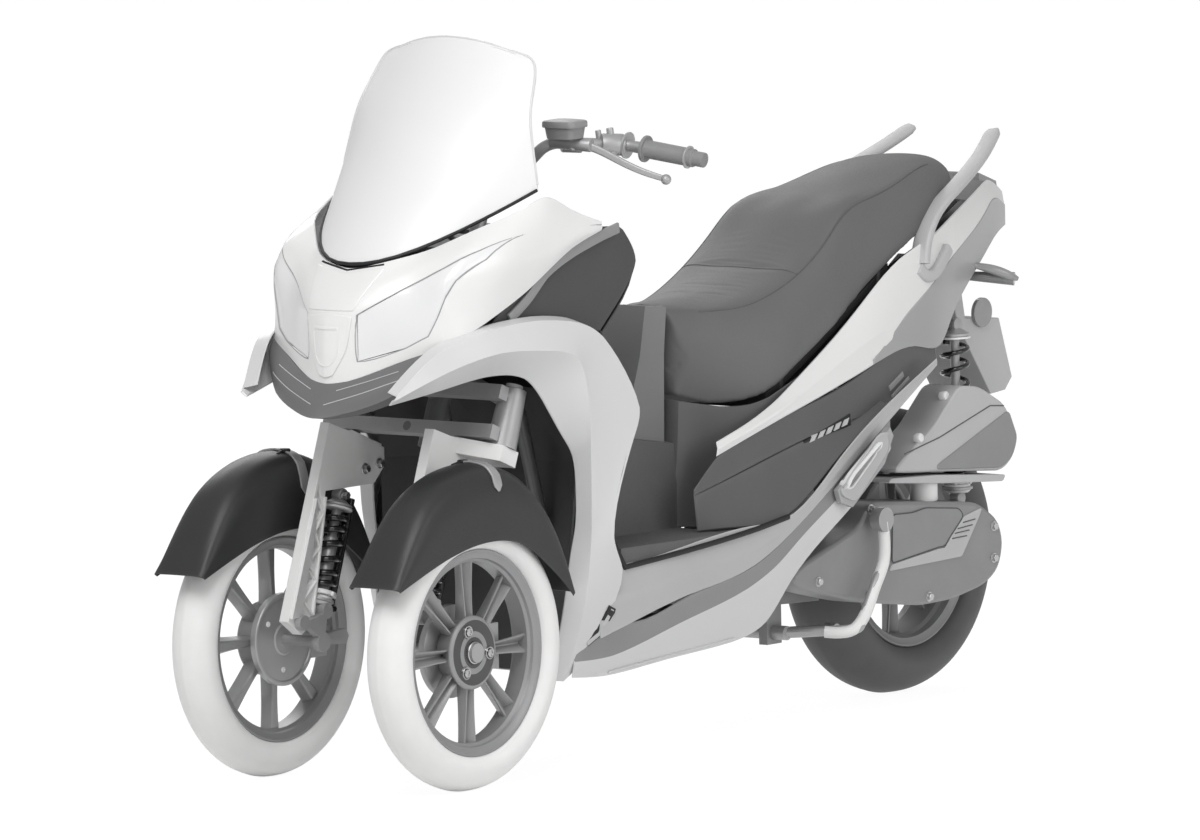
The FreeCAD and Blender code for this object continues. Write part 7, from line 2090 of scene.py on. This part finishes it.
@dataclass
class Studio:
    """Floor, light and camera; each lamp holds its place, its power and its width."""

    focal_mm: float = 600.0
    sensor_mm: float = 36.0
    stand_mm: tuple = (28284.6, 22903.3, 4512.3)
    yaw: float = -141.69
    pitch: float = -6.042
    roll: float = -1.214
    floor_reach: float = 40.0
    aim: tuple = (0.0, 0.0, 0.6)
    lamps: tuple = (
        ("key_lamp", (3.4, 1.6, 4.2), 125.0, 2.6), ("side_lamp", (0.4, 4.6, 2.2), 45.0, 2.6),
        ("far_lamp", (-2.6, -3.6, 3.2), 60.0, 2.6),
    )

    def floor(self) -> None:
        """A wide pale floor that keeps the machine's shadow."""
        material = bpy.data.materials.new("pale_studio_paper")
        material.use_nodes = True
        tree = material.node_tree
        tree.nodes.clear()
        place = add_node(tree, "ShaderNodeTexCoord").outputs["Object"]
        fleck = add_node(tree, "ShaderNodeTexNoise", {"Scale": 14.0, "Detail": 3.0}, {"Vector": place})
        tones = {"data_type": "RGBA", 6: linear("#f4f4f4"), 7: linear("#f0f0f0")}
        tone = add_node(tree, "ShaderNodeMix", tones, {0: fleck.outputs["Fac"]}).outputs[2]
        matt = {"Roughness": 0.9}
        paper = add_node(tree, "ShaderNodeBsdfPrincipled", matt, {"Base Color": tone}).outputs[0]
        glow = add_node(tree, "ShaderNodeEmission", {"Color": (1, 1, 1, 1), "Strength": 1.1}).outputs[0]
        both = add_node(tree, "ShaderNodeMixShader", {0: 0.86}, {1: paper, 2: glow}).outputs[0]
        path = add_node(tree, "ShaderNodeLightPath").outputs
        rays = {0: path["Is Camera Ray"], 1: path["Is Glossy Ray"]}
        seen = add_node(tree, "ShaderNodeMath", {"operation": "MAXIMUM"}, rays).outputs[0]
        mix = add_node(tree, "ShaderNodeMixShader", links={0: seen, 1: paper, 2: both}).outputs[0]
        add_node(tree, "ShaderNodeOutputMaterial", links={"Surface": mix})
        corners = np.array([(-1, -1, 0), (1, -1, 0), (1, 1, 0), (-1, 1, 0)]) * self.floor_reach
        sheet = link("studio_floor", as_mesh("studio_floor", Shape(corners, [np.array([[0, 1, 2, 3]])])))
        sheet.data.materials.append(material)

    def world(self) -> None:
        """An even sky: white to the camera, softer as light."""
        world = bpy.data.worlds.new("studio_sky")
        bpy.context.scene.world = world
        world.use_nodes = True
        tree = world.node_tree
        tree.nodes.clear()
        path = add_node(tree, "ShaderNodeLightPath").outputs
        rays = {0: path["Is Camera Ray"], 1: path["Is Transmission Ray"]}
        seen = add_node(tree, "ShaderNodeMath", {"operation": "MAXIMUM"}, rays).outputs[0]
        light, white = (
            add_node(tree, "ShaderNodeBackground", {"Color": (1, 1, 1, 1), "Strength": strength}).outputs[0]
            for strength in (0.46, 1.0)
        )
        mix = add_node(tree, "ShaderNodeMixShader", links={0: seen, 1: light, 2: white}).outputs[0]
        add_node(tree, "ShaderNodeOutputWorld", links={"Surface": mix})

    def lamp(self, name: str, place: Sequence[float], power: float, width: float) -> None:
        """A soft square lamp aimed at the machine's middle."""
        data = bpy.data.lights.new(name, "AREA")
        data.energy, data.size = power, width
        back = unit(np.subtract(place, self.aim))
        right = unit(np.cross(UP, back))
        link(name, data).matrix_world = stood(right, np.cross(back, right), back, place)

    def camera(self) -> None:
        """The camera at the photograph's angle: long lens, far away."""
        data = bpy.data.cameras.new("photo_camera")
        data.lens, data.sensor_width = self.focal_mm, self.sensor_mm
        data.clip_start, data.clip_end = 1.0, 200.0
        camera = link("photo_camera", data)
        yaw, pitch, roll = np.radians([self.yaw, self.pitch, self.roll])
        flat = math.cos(pitch)
        look = np.array([flat * math.cos(yaw), flat * math.sin(yaw), math.sin(pitch)])
        level = unit(np.cross(look, UP))
        upward = np.cross(level, look)
        right = math.cos(roll) * level + math.sin(roll) * upward
        up = -math.sin(roll) * level + math.cos(roll) * upward
        place = mm(self.stand_mm) + HULL.axle_ahead * FRONT
        camera.matrix_world = stood(right, up, -look, place)
        bpy.context.scene.camera = camera

    def build(self) -> None:
        """Sets the studio."""
        self.floor()
        self.world()
        for name, place, power, width in self.lamps:
            self.lamp(name, place, power, width)
        self.camera()
        bpy.context.scene.view_settings.view_transform = "Standard"


def stood(right: Array, up: Array, back: Array, place: Sequence | Array) -> Matrix:
    """The matrix of a thing at a place, its own X, Y and Z axes along three directions."""
    matrix = np.eye(4)
    matrix[:3] = np.stack([right, up, back, place], axis=1)
    return Matrix(matrix.tolist())


def front_end(side: Side) -> None:
    """Builds one side's front wheel, mudguard and shock."""
    word, flip = side.word, np.array([1.0, side.value, 1.0])
    Wheel(
        f"front_{word}", f"front_{word}_wheel", HULL.left_wheel * flip, side.value, tyre_radius=0.255,
        tyre_half=0.045, rim_radius=0.19, rim_half=0.032, hub_half=0.024, tyre_finish=WHITE_TYRE,
        tyre_slot="white_tyre",
    ).build()
    Fender(side).build()
    foot = HULL.place((0.008, 0.0, 0.311)) + [0.0, 0.123, 0.0]
    head = HULL.place((0.054, 0.0, 0.53)) + [0.0, 0.123, -0.0133]
    # The front shocks carry the black bar of painted shade beside the spring, placed by guard.
    Coilover(
        f"{word}_front", f"{word}_front_leg", foot * flip, head * flip, coil_radius=0.027, turns=6.0,
        wire=0.0062, guard=0.033, replaces=(f"{word}_front_shock",),
    ).build()


def rear_wheel() -> None:
    """Builds the rear wheel, whose brake lies inside the drive."""
    middle = np.array([HULL.axle_ahead - HULL.wheelbase, 0.0, 0.27])
    Wheel(
        "rear", "rear_wheel", middle, 1, tyre_radius=0.27, tyre_half=0.075, rim_radius=0.18,
        rim_half=0.056, hub_half=0.056, tyre_finish=GREY_TYRE, tyre_slot="grey_tyre", drum_radius=0.0,
    ).build()


def rear_shock(side: Side) -> None:
    """Builds one of the two rear shocks; the left one stands for their common node."""
    out = LEFT * side.value * 0.133
    low, high = HULL.place(((1.03, 0.0, 0.372), (1.03, 0.0, 0.702))) + out
    nodes = ("rear_shocks",) if side is Side.LEFT else ()
    Coilover(f"{side.word}_rear", "chassis", low, high, coil_radius=0.029, replaces=nodes).build()


def main() -> None:
    """Builds the sub-assemblies in order."""
    logging.basicConfig(level=logging.INFO, format="%(message)s")
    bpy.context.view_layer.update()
    Studio().build()
    for side in Side:
        front_end(side)
    rear_wheel()
    for part in (Windscreen(), Nose(), FrontBody(), Seat(), MiddleBody(), RearBody()):
        part.build()
    for side in Side:
        rear_shock(side)
    for part in (Castings(), Controls(), Drive(), GrabRails()):
        part.build()


if __name__ == "__main__":
    main()
